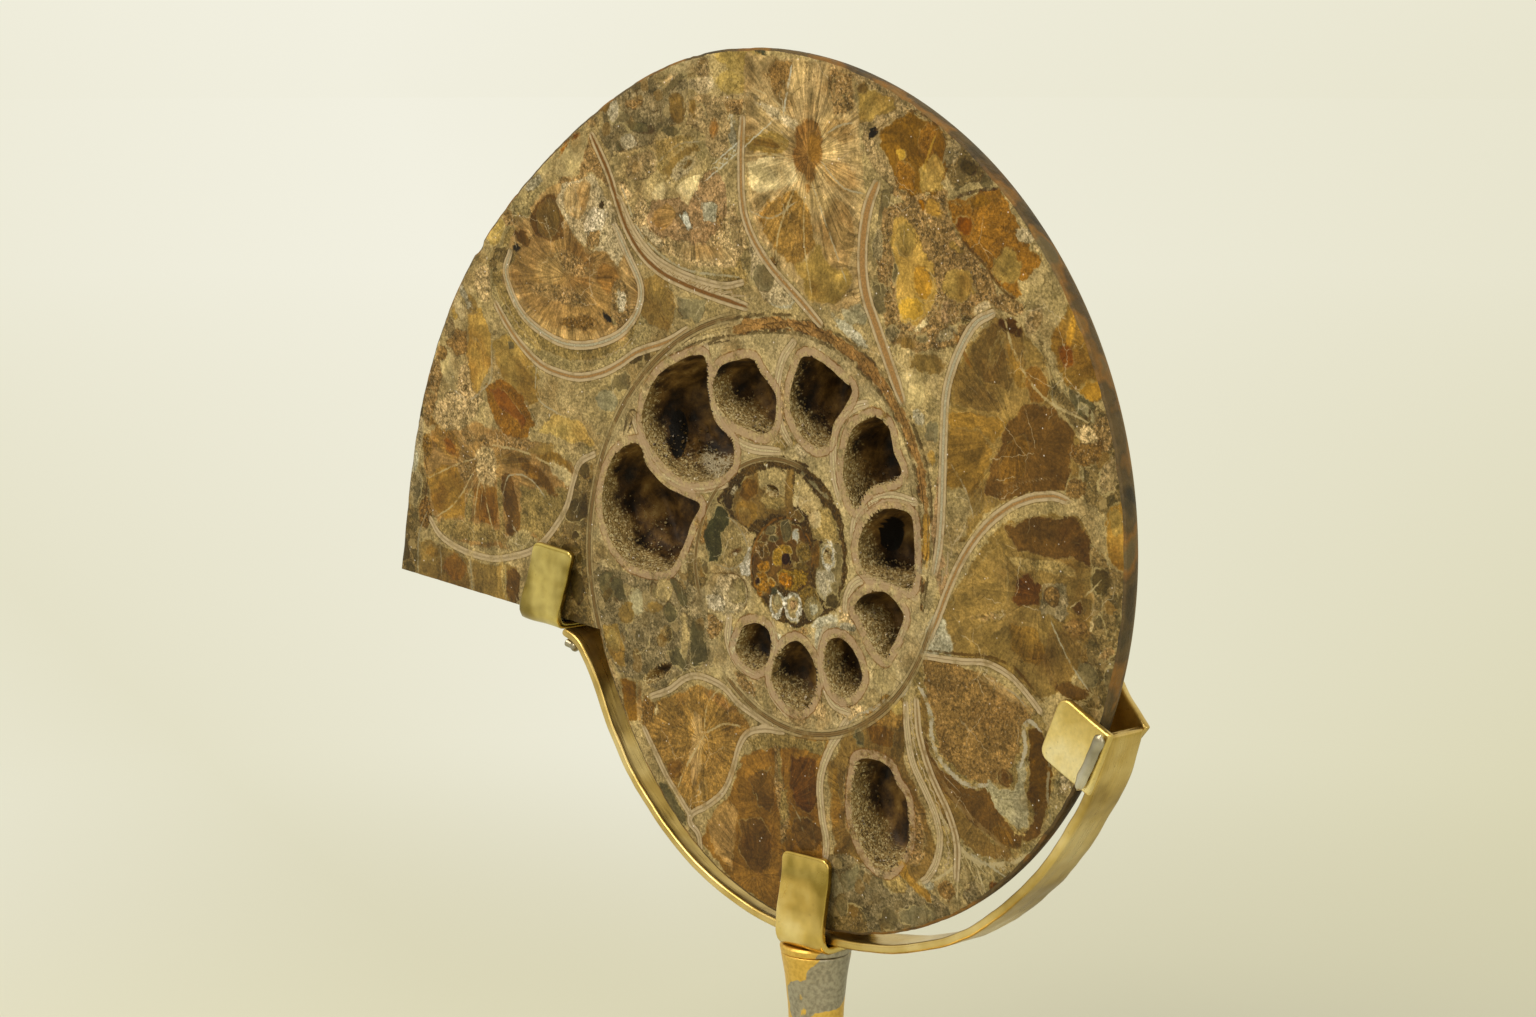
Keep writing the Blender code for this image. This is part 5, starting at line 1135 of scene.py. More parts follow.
def shell_surface(cells):
    """The shell as one closed skin: the sawn face at y = 0 with its chambers sunk into it, the
    rounded venter and the broken mouth round it, and the coiled flank behind. Gives the points,
    the four-sided faces, the triangles where two of the face's columns meet one of the rim's,
    how many there are of each kind, and what is known of the points."""
    columns = 4 * cells
    edge, on_mouth, turns = outline(columns)
    chips = 0.16 * noise(edge, 2.2, 5) + 0.1 * noise(edge, 0.9, 6) - 0.5 * ease(0.55, 0.8, noise(edge, 3.4, 7))
    edge = edge * (1 - (0.35 - chips) / polar(edge)[0])[:, None]
    face, depth, rim = sawn_face(edge, cells)
    rows = rim_rows(edge[::2], on_mouth[::2], turns[::2])
    back, turn, across, whorl, back_rim = flank_points(rows[-1], cells // 2)

    half = columns // 2
    first_row = len(face)
    first_back = first_row + half * (len(rows) - 1)
    points = np.concatenate([np.column_stack([face[:, 0], depth, face[:, 1]]), rows[:-1].reshape(-1, 3), back])
    step = np.arange(half)
    near_edge, middle_edge, far_edge = rim[2 * step], rim[2 * step + 1], rim[(2 * step + 2) % columns]
    low, high = first_row + step, first_row + (step + 1) % half
    stitch = np.concatenate([np.stack([near_edge, middle_edge, low], axis=1),
                             np.stack([middle_edge, high, low], axis=1),
                             np.stack([middle_edge, far_edge, high], axis=1)])
    front_faces = grid_faces(cells + 1, cells + 1)
    number = np.concatenate([first_row + np.arange(half * (len(rows) - 1)), first_back + back_rim])
    strip = number[grid_faces(len(rows), half, closed=True)]
    back_faces = grid_faces(cells // 2 + 1, cells // 2 + 1)[:, ::-1] + first_back
    counts = {"front": first_row, "back": first_back, "sawn": len(front_faces), "strip": len(strip)}
    values = {"face": face, "depth": depth, "mouth": on_mouth[::2], "coil": np.column_stack([turn, across, whorl])}
    return points, np.concatenate([front_faces, strip, back_faces]), stitch, counts, values


# ---- materials ----

def node(tree, kind, *values, **settings):
    """Adds a shader node. The kind's second word is its operation; the values fill its inputs in use,
    in order; a setting of the node's own is set, and any other fills the input of that name."""
    kind, _, operation = kind.partition(" ")
    made = tree.nodes.new("ShaderNode" + kind)
    if operation:
        made.operation = operation
    for number, (position, tone) in enumerate(settings.pop("ramp", ())):
        elements = made.color_ramp.elements
        element = elements[number] if number < 2 else elements.new(position)
        element.position, element.color = position, srgb(tone)
    for name in [name for name in settings if hasattr(made, name)]:
        setattr(made, name, settings.pop(name))
    named = [(made.inputs[name], value) for name, value in settings.items()]
    in_use = [socket for socket in made.inputs if socket.enabled]
    for socket, value in [*zip(in_use, values), *named]:
        if isinstance(value, bpy.types.Node):
            value = next(output for output in value.outputs if output.enabled)
        if isinstance(value, bpy.types.NodeSocket):
            tree.links.new(value, socket)
        else:
            socket.default_value = srgb(value) if isinstance(value, str) else value
    return made


def new_material(name, **constants):
    """A material: what adds nodes to it, its shader, and the place on the object in millimetres."""
    material = bpy.data.materials.new(name)
    material.use_nodes = True
    material.node_tree.nodes.clear()
    add = functools.partial(node, material.node_tree)
    shader = add("BsdfPrincipled", **constants)
    return material, add, shader, add("Mapping", add("TexCoord").outputs["Object"], Scale=(1000, 1000, 1000))


def finish_shader(material, shader, colour, height, strength, distance, roughness=None):
    """Links a shader's colour, the bump of a height, and its roughness if that varies, and shows it."""
    links = material.node_tree.links
    links.new(next(output for output in colour.outputs if output.enabled), shader.inputs["Base Color"])
    bump = node(material.node_tree, "Bump", Height=height, Strength=strength, Distance=distance)
    links.new(bump.outputs[0], shader.inputs["Normal"])
    if roughness:
        links.new(roughness.outputs[0], shader.inputs["Roughness"])
    node(material.node_tree, "OutputMaterial", shader)
    return material


def shaded(add, colour, amount, strength):
    """A colour made darker or lighter, by up to half the strength, as an amount goes from 0 to 1."""
    scale = add("Math MULTIPLY_ADD", add("Math SUBTRACT", amount, 0.5), strength, 1.0)
    return add("VectorMath SCALE", colour, Scale=scale)


def laid(add, colour, stone, value, low, high, share):
    """A stone laid over a colour where a value goes from low to high, by at most its share."""
    spread = add("MapRange", value, low, high, interpolation_type="SMOOTHSTEP")
    return add("Mix", add("Math MULTIPLY", spread, share), colour, stone, data_type="RGBA")


def stone_blocks(add, layers, wander, fibre):
    """The blocks, layer over layer, softer where fibres run on, and the distance to the nearest edge."""
    soft = add("Math MULTIPLY_ADD", fibre, 0.3, 0.06)
    colour, edge = add("Attribute", attribute_name="stone"), None
    for number in range(layers):
        layer = add("Attribute", attribute_name=f"layer_{number}")
        depth = add("Math ADD", layer.outputs["Alpha"], wander)
        share = add("MapRange", depth, add("Math MULTIPLY", soft, -1.0), soft)
        colour = add("Mix", share, colour, layer.outputs["Color"], data_type="RGBA")
        gap = add("Math ABSOLUTE", depth)
        edge = add("Mix", share, add("Math MINIMUM", gap, edge) if edge else gap, gap)
    return colour, edge


def calcite_tones(add, colour, place, warp, warped, edge, clear):
    """Smoky depths over 8 mm, growth zones along the blocks' edges, steps over 3 mm and fine cloud."""
    smoke = add("TexNoise", place, 0.12, 4.0, 0.55)
    tint = add("ValToRGB", smoke, ramp=((0.36, "A08A6C"), (0.5, "C8C8C8"), (0.62, "F0F0E4")))
    tinted = add("VectorMath SCALE", add("VectorMath MULTIPLY", colour, tint), Scale=1.73)
    colour = add("Mix", add("Math MULTIPLY_ADD", clear, 0.25, 0.2), colour, tinted, data_type="RGBA")
    zones = add("TexNoise", W=add("Math MULTIPLY_ADD", warp, 0.8, edge), Scale=1.3, Detail=3.0, noise_dimensions="1D")
    colour = shaded(add, colour, zones, add("Math MULTIPLY", clear, 0.8))
    steps = add("SeparateColor", add("TexVoronoi", warped, 0.3).outputs["Color"])
    colour = shaded(add, colour, steps, 0.3)
    clouds = add("Math MULTIPLY_ADD", clear, -0.7, 2.2)
    colour = shaded(add, colour, add("TexNoise", place, 0.45, 6.0, 0.7), clouds)
    fine = add("Math MULTIPLY_ADD", clear, -1.3, 2.8)
    return shaded(add, colour, add("TexNoise", place, 2.2, 4.0, 0.7), fine)


def calcite_blades(add, colour, fibre):
    """Blades of fibrous calcite, about 0.8 mm wide and 7 mm long, with threads a quarter of that."""
    fan = add("Attribute", attribute_name="fan").outputs["Vector"]
    for scale, strength in (((11, 11, 1.4), 0.6), ((26, 26, 2.4), 0.5)):
        blade = add("SeparateColor", add("TexVoronoi", add("Mapping", fan, Scale=scale), 1.0).outputs["Color"])
        colour = shaded(add, colour, blade, add("Math MULTIPLY", fibre, strength))
    threads = add("TexNoise", add("Mapping", fan, Scale=(30, 30, 1.6)), 1.0, 4.0, 0.6)
    return shaded(add, colour, threads, add("Math MULTIPLY", fibre, 1.2))


def sugar_and_mud(add, colour, warped, speckle, grains, grain, pebble):
    """Sugary calcite, each grain its own shade, with pale crystals and dark pin holes, and the mud's
    pebbles, 3 mm across."""
    tone = add("SeparateColor", grains.outputs["Color"])
    colour = shaded(add, colour, tone, add("Math MULTIPLY", grain, 1.0))
    colour = laid(add, colour, "3F2C14", speckle, 0.42, 0.34, add("Math MULTIPLY", grain, 0.75))
    colour = laid(add, colour, "D2C193", speckle, 0.6, 0.68, add("Math MULTIPLY", grain, 0.6))
    pebbles = add("TexVoronoi", warped, 0.36)
    kinds = add("ValToRGB", add("SeparateColor", pebbles.outputs["Color"]).outputs["Green"], ramp=(
        (0.0, "3F361F"), (0.2, "6A5A38"), (0.4, "8A7549"), (0.58, "554B30"), (0.78, "9A8656"), (0.9, "7C5F2C")))
    kinds.color_ramp.interpolation = "CONSTANT"
    return laid(add, colour, kinds, pebbles, 0.5, 0.42, add("Math MULTIPLY", pebble, 0.5))


def seams_and_cracks(add, colour, place, warped, edge, fibre):
    """Seams between blocks, pale or brown, and a few cracks along the edges of cells 8 mm across."""
    tint = add("ValToRGB", add("TexNoise", place, 0.13, 2.0), ramp=((0.46, "463015"), (0.56, "A3925F")))
    shown = add("MapRange", add("TexNoise", place, 0.3, 2.0), 0.4, 0.56)
    shown = add("Math MULTIPLY", shown, add("MapRange", fibre, 0.0, 0.5, 0.6, 0.12))
    colour = laid(add, colour, tint, edge, 0.22, 0.06, shown)
    for scale, width, low, stone, share in ((0.12, 0.01, 0.57, "B5A57A", 0.4), (0.2, 0.016, 0.56, "3A280F", 0.5)):
        crack = add("TexVoronoi", warped, scale, feature="DISTANCE_TO_EDGE")
        run = add("MapRange", add("TexNoise", place, scale * 0.9, 3.0), low, low + 0.05)
        colour = laid(add, colour, stone, crack, width, width * 0.3, add("Math MULTIPLY", run, share))
    return colour


def drawn_lines(add, colour, broken, jitter, speckle):
    """The threads, which wander and fade here and there, and over them the walls between chambers: a
    core between two pale bands and their dark hair lines."""
    across, shown, half = add("SeparateXYZ", add("Attribute", attribute_name="thread").outputs["Vector"]).outputs
    past = add("Math SUBTRACT", add("Math ABSOLUTE", add("Math ADD", across, jitter)),
               add("Math MULTIPLY", half, add("Math MULTIPLY_ADD", speckle, 2.4, -0.4)))
    colour = laid(add, colour, add("Attribute", attribute_name="thread_stone"), past, 0.1, -0.06,
                  add("Math MULTIPLY", add("Math MULTIPLY", shown, broken), 0.7))
    across, shown, half = add("SeparateXYZ", add("Attribute", attribute_name="septum").outputs["Vector"]).outputs
    gentle = add("Math MULTIPLY", jitter, 0.45)
    past = add("Math SUBTRACT", add("Math ABSOLUTE", add("Math ADD", across, gentle)), half)
    lit = add("Math MULTIPLY", shown, add("Math MULTIPLY_ADD", broken, 0.5, 0.5))
    for low, high, stone, share in ((0.74, 0.66, "3A2408", 0.35), (0.56, 0.46, "A5936A", 0.85),
                                    (0.08, 0.02, "3A2408", 0.35)):
        colour = laid(add, colour, stone, past, low, high, add("Math MULTIPLY", lit, share))
    core = shaded(add, add("Attribute", attribute_name="septum_stone"), speckle, 1.6)
    return laid(add, colour, core, past, -0.07, -0.12, add("Math MULTIPLY", shown, 0.9))


def walls_and_rims(add, colour, broken, jitter, ragged, speckle):
    """The spiral walls, a core between dark hair lines and pale margins, and what lies round each
    opened chamber: a brown and a pale line, then a sugary crust, and dark specks at the lip that are
    painted shade where the face falls into the chamber."""
    gap, shown, rim = add("SeparateXYZ", add("Attribute", attribute_name="wall").outputs["Vector"]).outputs
    spiral = add("Math ABSOLUTE", add("Math ADD", gap, add("Math MULTIPLY", jitter, 0.45)))
    for low, high, stone, share in ((1.2, 1.15, "3A2408", 0.4), (1.05, 1.0, "A08F62", 0.5), (0.56, 0.5, "352006", 0.7),
                                    (0.38, 0.32, "90764A", 0.4), (0.1, 0.06, "4A2C0C", 0.4)):
        lit = add("Math MULTIPLY", shown, add("Math MULTIPLY_ADD", broken, share * 0.7, share * 0.3))
        colour = laid(add, colour, stone, spiral, low, high, lit)
    rim = add("Math MULTIPLY_ADD", jitter, 1.3, rim)
    for low, high, stone, share in ((-1.8, -1.65, "6A4520", 0.7), (-1.6, -1.45, "B3A27A", 0.4)):
        colour = laid(add, colour, stone, rim, low, high, add("Math MULTIPLY", broken, share))
    # a ragged pale crust, then dark specks at the lip: painted shade
    for amount, spread, low, high, stone in ((ragged, 9.0, -0.9, -0.2, "A3925F"), (speckle, 7.0, -0.5, 0.1, "4A3418")):
        torn = add("Math MULTIPLY_ADD", add("Math SUBTRACT", amount, 0.55), spread, rim)
        colour = laid(add, colour, stone, torn, low, high, 0.5)
    return colour


def sawn_calcite(layers):
    """Calcite and fossil shell, sawn and polished to a satin face: clear crystal blocks zoned along
    their edges, blades that fan out from each chamber's middle, sugary crusts, pebbly mud, and the
    shell's own walls as thin lines."""
    material, add, shader, place = new_material("sawn_calcite", IOR=1.6, Roughness=0.4, **{"Specular IOR Level": 0.12})
    fibre, grain, pebble = add("SeparateXYZ", add("Attribute", attribute_name="texture").outputs["Vector"]).outputs
    clear = add("MapRange", grain, 0.45, 0.15)

    # blocks' edges wander by facets 1.3 mm across and by noise down to 0.2 mm; grains are 0.5 mm across
    warp = add("TexNoise", place, 0.8, 3.0)
    warped = add("VectorMath MULTIPLY_ADD", warp.outputs["Color"], (1.4, 1.4, 1.4), place)
    facet = add("SeparateColor", add("TexVoronoi", place, 0.75).outputs["Color"])
    ragged = add("TexNoise", place, 1.3, 5.0, 0.62)
    wander = add("Math MULTIPLY_ADD", facet, 0.5, add("Math MULTIPLY_ADD", ragged, 1.1, -0.8))
    speckle = add("TexNoise", place, 2.4, 4.0, 0.7)
    grains = add("TexVoronoi", warped, 2.0)
    broken = add("MapRange", add("TexNoise", place, 0.5, 4.0, 0.6), 0.36, 0.52)
    jitter = add("Math MULTIPLY_ADD", add("TexNoise", place, 1.1, 4.0, 0.6), 0.6, -0.3)

    colour, edge = stone_blocks(add, layers, wander, fibre)
    colour = calcite_tones(add, colour, place, warp, warped, edge, clear)
    colour = calcite_blades(add, colour, fibre)
    colour = sugar_and_mud(add, colour, warped, speckle, grains, grain, pebble)
    colour = seams_and_cracks(add, colour, place, warped, edge, fibre)
    colour = drawn_lines(add, colour, broken, jitter, speckle)
    colour = walls_and_rims(add, colour, broken, jitter, ragged, speckle)
    # white dust in pin holes and short scratches
    for size, scale, share in ((0.09, (0.55, 0.55, 0.55), 0.6), (0.05, (0.5, 0.5, 0.14), 0.5)):
        specks = add("TexVoronoi", add("Mapping", place, Scale=scale, Rotation=(0, share, 0)), 1.0)
        run = add("MapRange", add("TexNoise", place, 0.25, 3.0), 0.48, 0.56)
        colour = laid(add, colour, "D6CCA8", specks, size, size * 0.6, add("Math MULTIPLY", run, share))

    # the polish deepens every tone away from the stone's middle brown, blues the most
    colour = add("VectorMath POWER", colour, (1.32, 1.32, 1.5))
    colour = add("VectorMath MULTIPLY", colour, (1.66, 1.8, 3.9))
    # it holds on the clear crystal and is dull on the sugary crusts
    rough = add("Math MULTIPLY_ADD", ragged, 0.15, add("Math MULTIPLY_ADD", grain, 0.25, 0.32))
    pits = add("Math MULTIPLY_ADD", grains, add("Math MULTIPLY", grain, 0.6), add("MapRange", edge, 0.0, 0.25))
    return finish_shader(material, shader, colour, pits, 0.25, 0.0003, rough)


def chamber_lining():
    """Druse: fine sugary calcite on the lip, the floor and the left wall of each chamber, thinning out
    into smooth lumps deeper down. Light and shade are painted in: the sugar is paler where the wall
    faces up or to the right, and the lining darkens with depth, to nearly black in the deepest parts
    and in two holes."""
    material, add, shader, place = new_material("drusy_calcite", IOR=1.6, Roughness=0.6, **{"Specular IOR Level": 0.2})
    # the depth, the painted shade of two deep holes, and the white sugar
    depth, hole, sugar = add("SeparateXYZ", add("Attribute", attribute_name="druse").outputs["Vector"]).outputs
    facing = add("SeparateXYZ", add("NewGeometry").outputs["Normal"]).outputs
    lumps = add("TexNoise", place, 0.2, 6.0, 0.62)
    colour = add("ValToRGB", lumps, ramp=((0.36, "160D05"), (0.48, "432E12"), (0.6, "755729"), (0.74, "A1854E")))
    # how much pale sugar, partly real and partly painted light and shade: it falls with the depth as
    # painted shade, and grows where the wall faces up or to the right as painted light
    sugar_and_painted_light = add("Math MULTIPLY_ADD", depth, -0.17, 0.62)
    for amount, weight in ((facing["Z"], 0.75), (facing["X"], 0.35), (add("Math SUBTRACT", lumps, 0.5), 2.2)):
        sugar_and_painted_light = add("Math MULTIPLY_ADD", amount, weight, sugar_and_painted_light)
    sugar_and_painted_light = add("Math SUBTRACT", add("Math ADD", sugar_and_painted_light, sugar), hole)
    grains = add("TexVoronoi", place, 3.0)
    number, tone, _ = add("SeparateColor", grains.outputs["Color"]).outputs
    colour = laid(add, colour, "86703F", sugar_and_painted_light, 0.05, 1.0, 0.85)
    pale = add("ValToRGB", tone, ramp=((0.0, "6E562B"), (0.5, "9F8753"), (1.0, "D2C290")))
    pale = add("Mix", sugar, pale, "C9BD9C", data_type="RGBA")
    colour = laid(add, colour, pale, add("Math SUBTRACT", sugar_and_painted_light, number), -0.2, 0.3, 0.75)
    # painted shade: nearly black in the deepest parts and in the two holes
    colour = laid(add, colour, "0C0804", add("Math MULTIPLY_ADD", hole, 14.0, depth), 12.0, 15.0, 1.0)
    height = add("Math MULTIPLY_ADD", grains, add("MapRange", sugar_and_painted_light, 0.0, 0.6, 0.0, -0.35), lumps)
    return finish_shader(material, shader, colour, height, 0.8, 0.0008)


def calcite_crystal():
    """Calcite crystals: small glassy facets from smoky brown to nearly white, by a tone that is partly
    random and partly painted light, paler on crystals whose lining faces up.
    """
    material, add, shader, place = new_material("calcite_crystal", IOR=1.6, Roughness=0.35)
    light = add("Attribute", attribute_name="light").outputs["Fac"]
    colour = add("ValToRGB", light, ramp=((0.0, "4A3818"), (0.5, "7A653A"), (0.85, "A28E60"), (1.0, "CFC39C")))
    return finish_shader(material, shader, colour, add("TexNoise", place, 4.0), 0.1, 0.0001)


def weathered_shell():
    """Fossil shell as it came from the rock, brushed clean: brown and cream, the leafy lines where
    each chamber's wall met the shell, and mud left in the hollows."""
    material, add, shader, place = new_material("weathered_fossil_shell", IOR=1.4, Roughness=0.6)
    turn, across, _ = add("SeparateXYZ", add("Attribute", attribute_name="coil").outputs["Vector"]).outputs
    clouds = add("TexNoise", place, 0.06, 5.0, 0.6)
    colour = add("ValToRGB", clouds, ramp=(
        (0.3, "6A4C22"), (0.42, "9A7639"), (0.52, "B3934F"), (0.62, "9A8455"), (0.75, "C9B27A")))
    spots = add("TexNoise", place, 0.8, 4.0, 0.65)
    colour = shaded(add, colour, spots, 1.1)
    # the leafy lines: waves of three sizes across the coil, added to the turn
    phase = add("Math MULTIPLY", turn, 3.4)
    for number, size in ((21, 0.16), (63, 0.07), (171, 0.03)):
        wave = add("Math SINE", add("Math MULTIPLY", across, number))
        phase = add("Math MULTIPLY_ADD", wave, size, phase)
    away = add("Math PINGPONG", add("Math MULTIPLY_ADD", spots, 0.12, phase), 1.0)
    shown = add("MapRange", clouds, 0.4, 0.5)
    colour = laid(add, colour, "3F2E14", away, 0.06, 0.025, add("Math MULTIPLY", shown, 0.7))
    colour = laid(add, colour, "6E6240", across, 0.42, 0.3, 0.5)
    # near the sawn edge the stone inside shows through the thin shell: dark mud and amber
    inner = add("ValToRGB", add("TexNoise", place, 0.09, 3.0), ramp=(
        (0.4, "1E1A10"), (0.47, "4A3A1E"), (0.52, "3A2C14"), (0.58, "7A5218"), (0.64, "55492C")))
    behind = add("SeparateXYZ", place).outputs["Y"]
    colour = laid(add, colour, inner, behind, SPIRAL_CENTRE[1] + 7.0, SPIRAL_CENTRE[1] + 3.0, 0.9)
    return finish_shader(material, shader, colour, add("Math ADD", spots, clouds), 0.5, 0.001)


def broken_stone():
    """The mouth as it broke, never polished: rough brown mudstone and calcite."""
    material, add, shader, place = new_material("broken_mudstone", IOR=1.55, Roughness=0.8)
    lumps = add("TexNoise", place, 0.35, 6.0, 0.65)
    colour = add("ValToRGB", lumps, ramp=((0.3, "49381C"), (0.45, "6E5730"), (0.58, "8B7142"), (0.72, "A58E5E")))
    return finish_shader(material, shader, colour, lumps, 0.9, 0.0012)


def worn_metal(name, tones, roughness, streak, tarnish=0.35, bump=0.15):
    """A soft metal with hand wear: three tones in slow clouds, fine brushed streaks along one way,
    specks of tarnish, and shallow dents."""
    material, add, shader, place = new_material(name, Metallic=1.0, Roughness=roughness)
    clouds = add("TexNoise", place, 0.09, 3.0, 0.5)
    colour = add("ValToRGB", clouds, ramp=tuple(zip((0.36, 0.5, 0.64), tones)))
    streaks = add("TexNoise", add("Mapping", place, Scale=streak), 1.0, 3.0)
    colour = shaded(add, colour, streaks, 0.35)
    colour = laid(add, colour, "6A5426", add("TexNoise", place, 1.6, 3.0, 0.7), 0.62, 0.74, tarnish)
    rough = add("Math MULTIPLY_ADD", streaks, 0.2, roughness - 0.1)
    height = add("Math MULTIPLY_ADD", streaks, 0.35, clouds)
    return finish_shader(material, shader, colour, height, bump, 0.0006, rough)


def gilded_lead(top):
    """The stem: soft grey solder and tin with gold leaf on it, torn off in patches and most of all in
    two below its top, one to the shell's right and one lower in front."""
    material, add, shader, place = new_material("worn_gilding_on_tin", Metallic=1.0, Roughness=0.42)
    torn = add("TexNoise", add("Mapping", place, Scale=(1, 1, 0.7)), 0.085, 5.0, 0.5)
    for patch, reach in (((5.5, -0.8, top - 5.0), 6.2), ((0.4, -5.1, top - 8.5), 5.0)):
        gap = add("VectorMath DISTANCE", place, patch).outputs["Value"]
        torn = add("Math SUBTRACT", torn, add("MapRange", gap, reach, reach - 2.0, 0.0, 0.2))
    leaf = add("MapRange", torn, 0.42, 0.43)
    fine = add("TexNoise", place, 1.4, 4.0)
    grey = add("ValToRGB", fine, ramp=((0.35, "918B7C"), (0.6, "AFA896")))
    gold = add("ValToRGB", fine, ramp=((0.35, "D2AB55"), (0.6, "E3BE62")))
    colour = add("Mix", leaf, grey, gold, data_type="RGBA")
    return finish_shader(material, shader, colour, add("Math MULTIPLY_ADD", leaf, 0.5, fine), 0.12, 0.0003)


SAWN, LINING, WEATHERED, BROKEN = range(4)   # the shell's finishes, in the order of its materials


def face_finishes(points, quads, stitch, counts, values):
    """Which finish each of the shell's faces shows."""
    sawn, strip, mouth = counts["sawn"], counts["strip"], values["mouth"]
    depth = np.zeros(len(points))
    depth[:counts["front"]] = values["depth"]
    finish = np.full(len(quads) + len(stitch), WEATHERED, np.int32)
    finish[:sawn] = np.where(depth[quads[:sawn]].max(axis=1) > 0.05, LINING, SAWN)
    on_mouth = mouth & np.roll(mouth, -1)
    finish[sawn:sawn + strip] = np.where(np.tile(on_mouth, strip // len(mouth)), BROKEN, WEATHERED)
    finish[-len(stitch):] = np.where(np.tile(on_mouth, 3), BROKEN, WEATHERED)
    # on the flank, the step where the outer whorl broke off
    back = quads[sawn + strip:]
    steep = np.ptp(points[back, 1], axis=1) > 4.2
    place = points[back[:, 0]][:, [0, 2]]
    inner = polar(place)[0] < 0.9 * venter_radius(whorl_turns(place))
    finish[sawn + strip:len(quads)] = np.where(steep & inner, BROKEN, WEATHERED)
    return finish


def lining_marks(face, depth, marks):
    """How much of some marks each point of the face shows, from 0 to 1, and only below the rims."""
    away = [np.hypot((face[:, 0] + depth - x) / across, (face[:, 1] - z) / up) for x, z, across, up in marks]
    return ease(1.15, 0.7, np.min(away, axis=0)) * (depth > 0.3)


def face_values(face, depth, wall, parted):
    """What the materials read of the sawn face's lines and chambers: for each name, the values at the
    face's points and the value at all others."""
    septum, thread = lines_at(face, WALLS, 3.0), lines_at(face, THREADS, 2.0)
    ones = np.ones((len(face), 1))
    # the spiral walls' own lines show where no strip of another stone lies over them
    over_top = (parted == 1) * ease(-17, -12, face[:, 0]) * ease(-9, -4, face[:, 1])
    round_core = (parted == 2) * ease(-18, -12, face[:, 0] - face[:, 1]) + (parted == 3)
    shown = 1 - np.minimum(over_top + round_core, 1)
    gap = wall * np.where(parted > 1, 1.9, 1.15)
    marks = [lining_marks(face, depth, marks) for marks in (PAINTED_SHADE_HOLES, WHITE_SUGAR)]
    return (("fan", fans_at(face), (1, 0, 0)),
            ("wall", np.column_stack([gap, shown, rims_at(face)]), (9, 1, -9)),
            ("septum", septum[:, :3], (9, 0, 0.3)),
            ("septum_stone", np.hstack([septum[:, 3:], ones]), (0, 0, 0, 1)),
            ("thread", thread[:, :3], (9, 0, 0.3)),
            ("thread_stone", np.hstack([thread[:, 3:], ones]), (0, 0, 0, 1)),
            ("druse", np.column_stack([depth, *marks]), (0, 0, 0)))


def shell_piece(cells):
    """The shell's mesh with all that its materials read."""
    points, quads, stitch, counts, values = shell_surface(cells)
    face, depth = values["face"], values["depth"]
    wall, parted, ground = walls_at(face)
    base, texture, layers = stone_layers(face, ground)
    materials = [sawn_calcite(len(layers)), chamber_lining(), weathered_shell(), broken_stone()]
    piece = mesh_object("ammonite", to_frame(points), [quads, stitch], materials, sharp=math.radians(38))
    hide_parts("ammonite_half")
    piece.data.polygons.foreach_set("material_index", face_finishes(points, quads, stitch, counts, values))

    # the sawn face's stones and lines, each with one value for all points that are not on it
    stone = np.hstack([base, np.ones((len(face), 1))])
    blocks = [(f"layer_{number}", layer, (0, 0, 0, -2)) for number, layer in enumerate(layers)]
    for name, at_face, elsewhere in (("stone", stone, srgb(STONES["khaki_shade"][0])), *blocks,
                                     ("texture", texture, (0, 0.5, 0)), *face_values(face, depth, wall, parted)):
        rest = np.tile(np.asarray(elsewhere, float), (len(points) - len(face), 1))
        add_values(piece, name, np.concatenate([at_face, rest]))
    # the rim and the flank: their turn along the coil, their way across it and their whorl
    coil = np.zeros((len(points), 3))
    rim = slice(counts["front"], counts["back"])
    place = points[rim][:, [0, 2]]
    turn = whorl_turns(place)
    coil[rim, :2] = np.column_stack([turn, polar(place)[0] / venter_radius(turn)])
    coil[counts["back"]:] = values["coil"]
    add_values(piece, "coil", coil)
    return piece


def lining_spots(rng, count):
    """Spots on the opened chambers' lining, most of them on floors and left walls: their places in
    millimetres and the lining's direction there."""
    mesh = bpy.data.objects["ammonite"].data
    finish, area = np.empty(len(mesh.polygons), np.int32), np.empty(len(mesh.polygons), np.float32)
    centre, normal = np.empty((2, len(mesh.polygons), 3), np.float32)
    for field, values in (("material_index", finish), ("center", centre), ("normal", normal), ("area", area)):
        mesh.polygons.foreach_get(field, values.ravel())
    centre = centre / MM - SPIRAL_CENTRE
    lining = np.flatnonzero((finish == LINING) & (centre[:, 1] > 0.7))
    share = area * np.clip(0.2 + normal[:, 2] + 0.35 * normal[:, 0] - 0.05 * centre[:, 1], 0, None)
    chosen = rng.choice(lining, count, p=share[lining] / share[lining].sum())
    return centre[chosen], normal[chosen].astype(float)


def crystal_shape():
    """A crystal one long: four corners round its middle and a point at each end, and its eight faces."""
    angles = np.arange(4) * math.pi / 2
    shape = np.column_stack([np.cos(angles) * 0.42, np.sin(angles) * 0.42, np.full(4, 0.1)])
    faces = [(i, (i + 1) % 4, 4) for i in range(4)] + [((i + 1) % 4, i, 5) for i in range(4)]
    return np.vstack([shape, [[0, 0, 0.75], [0, 0, -0.55]]]), np.array(faces)


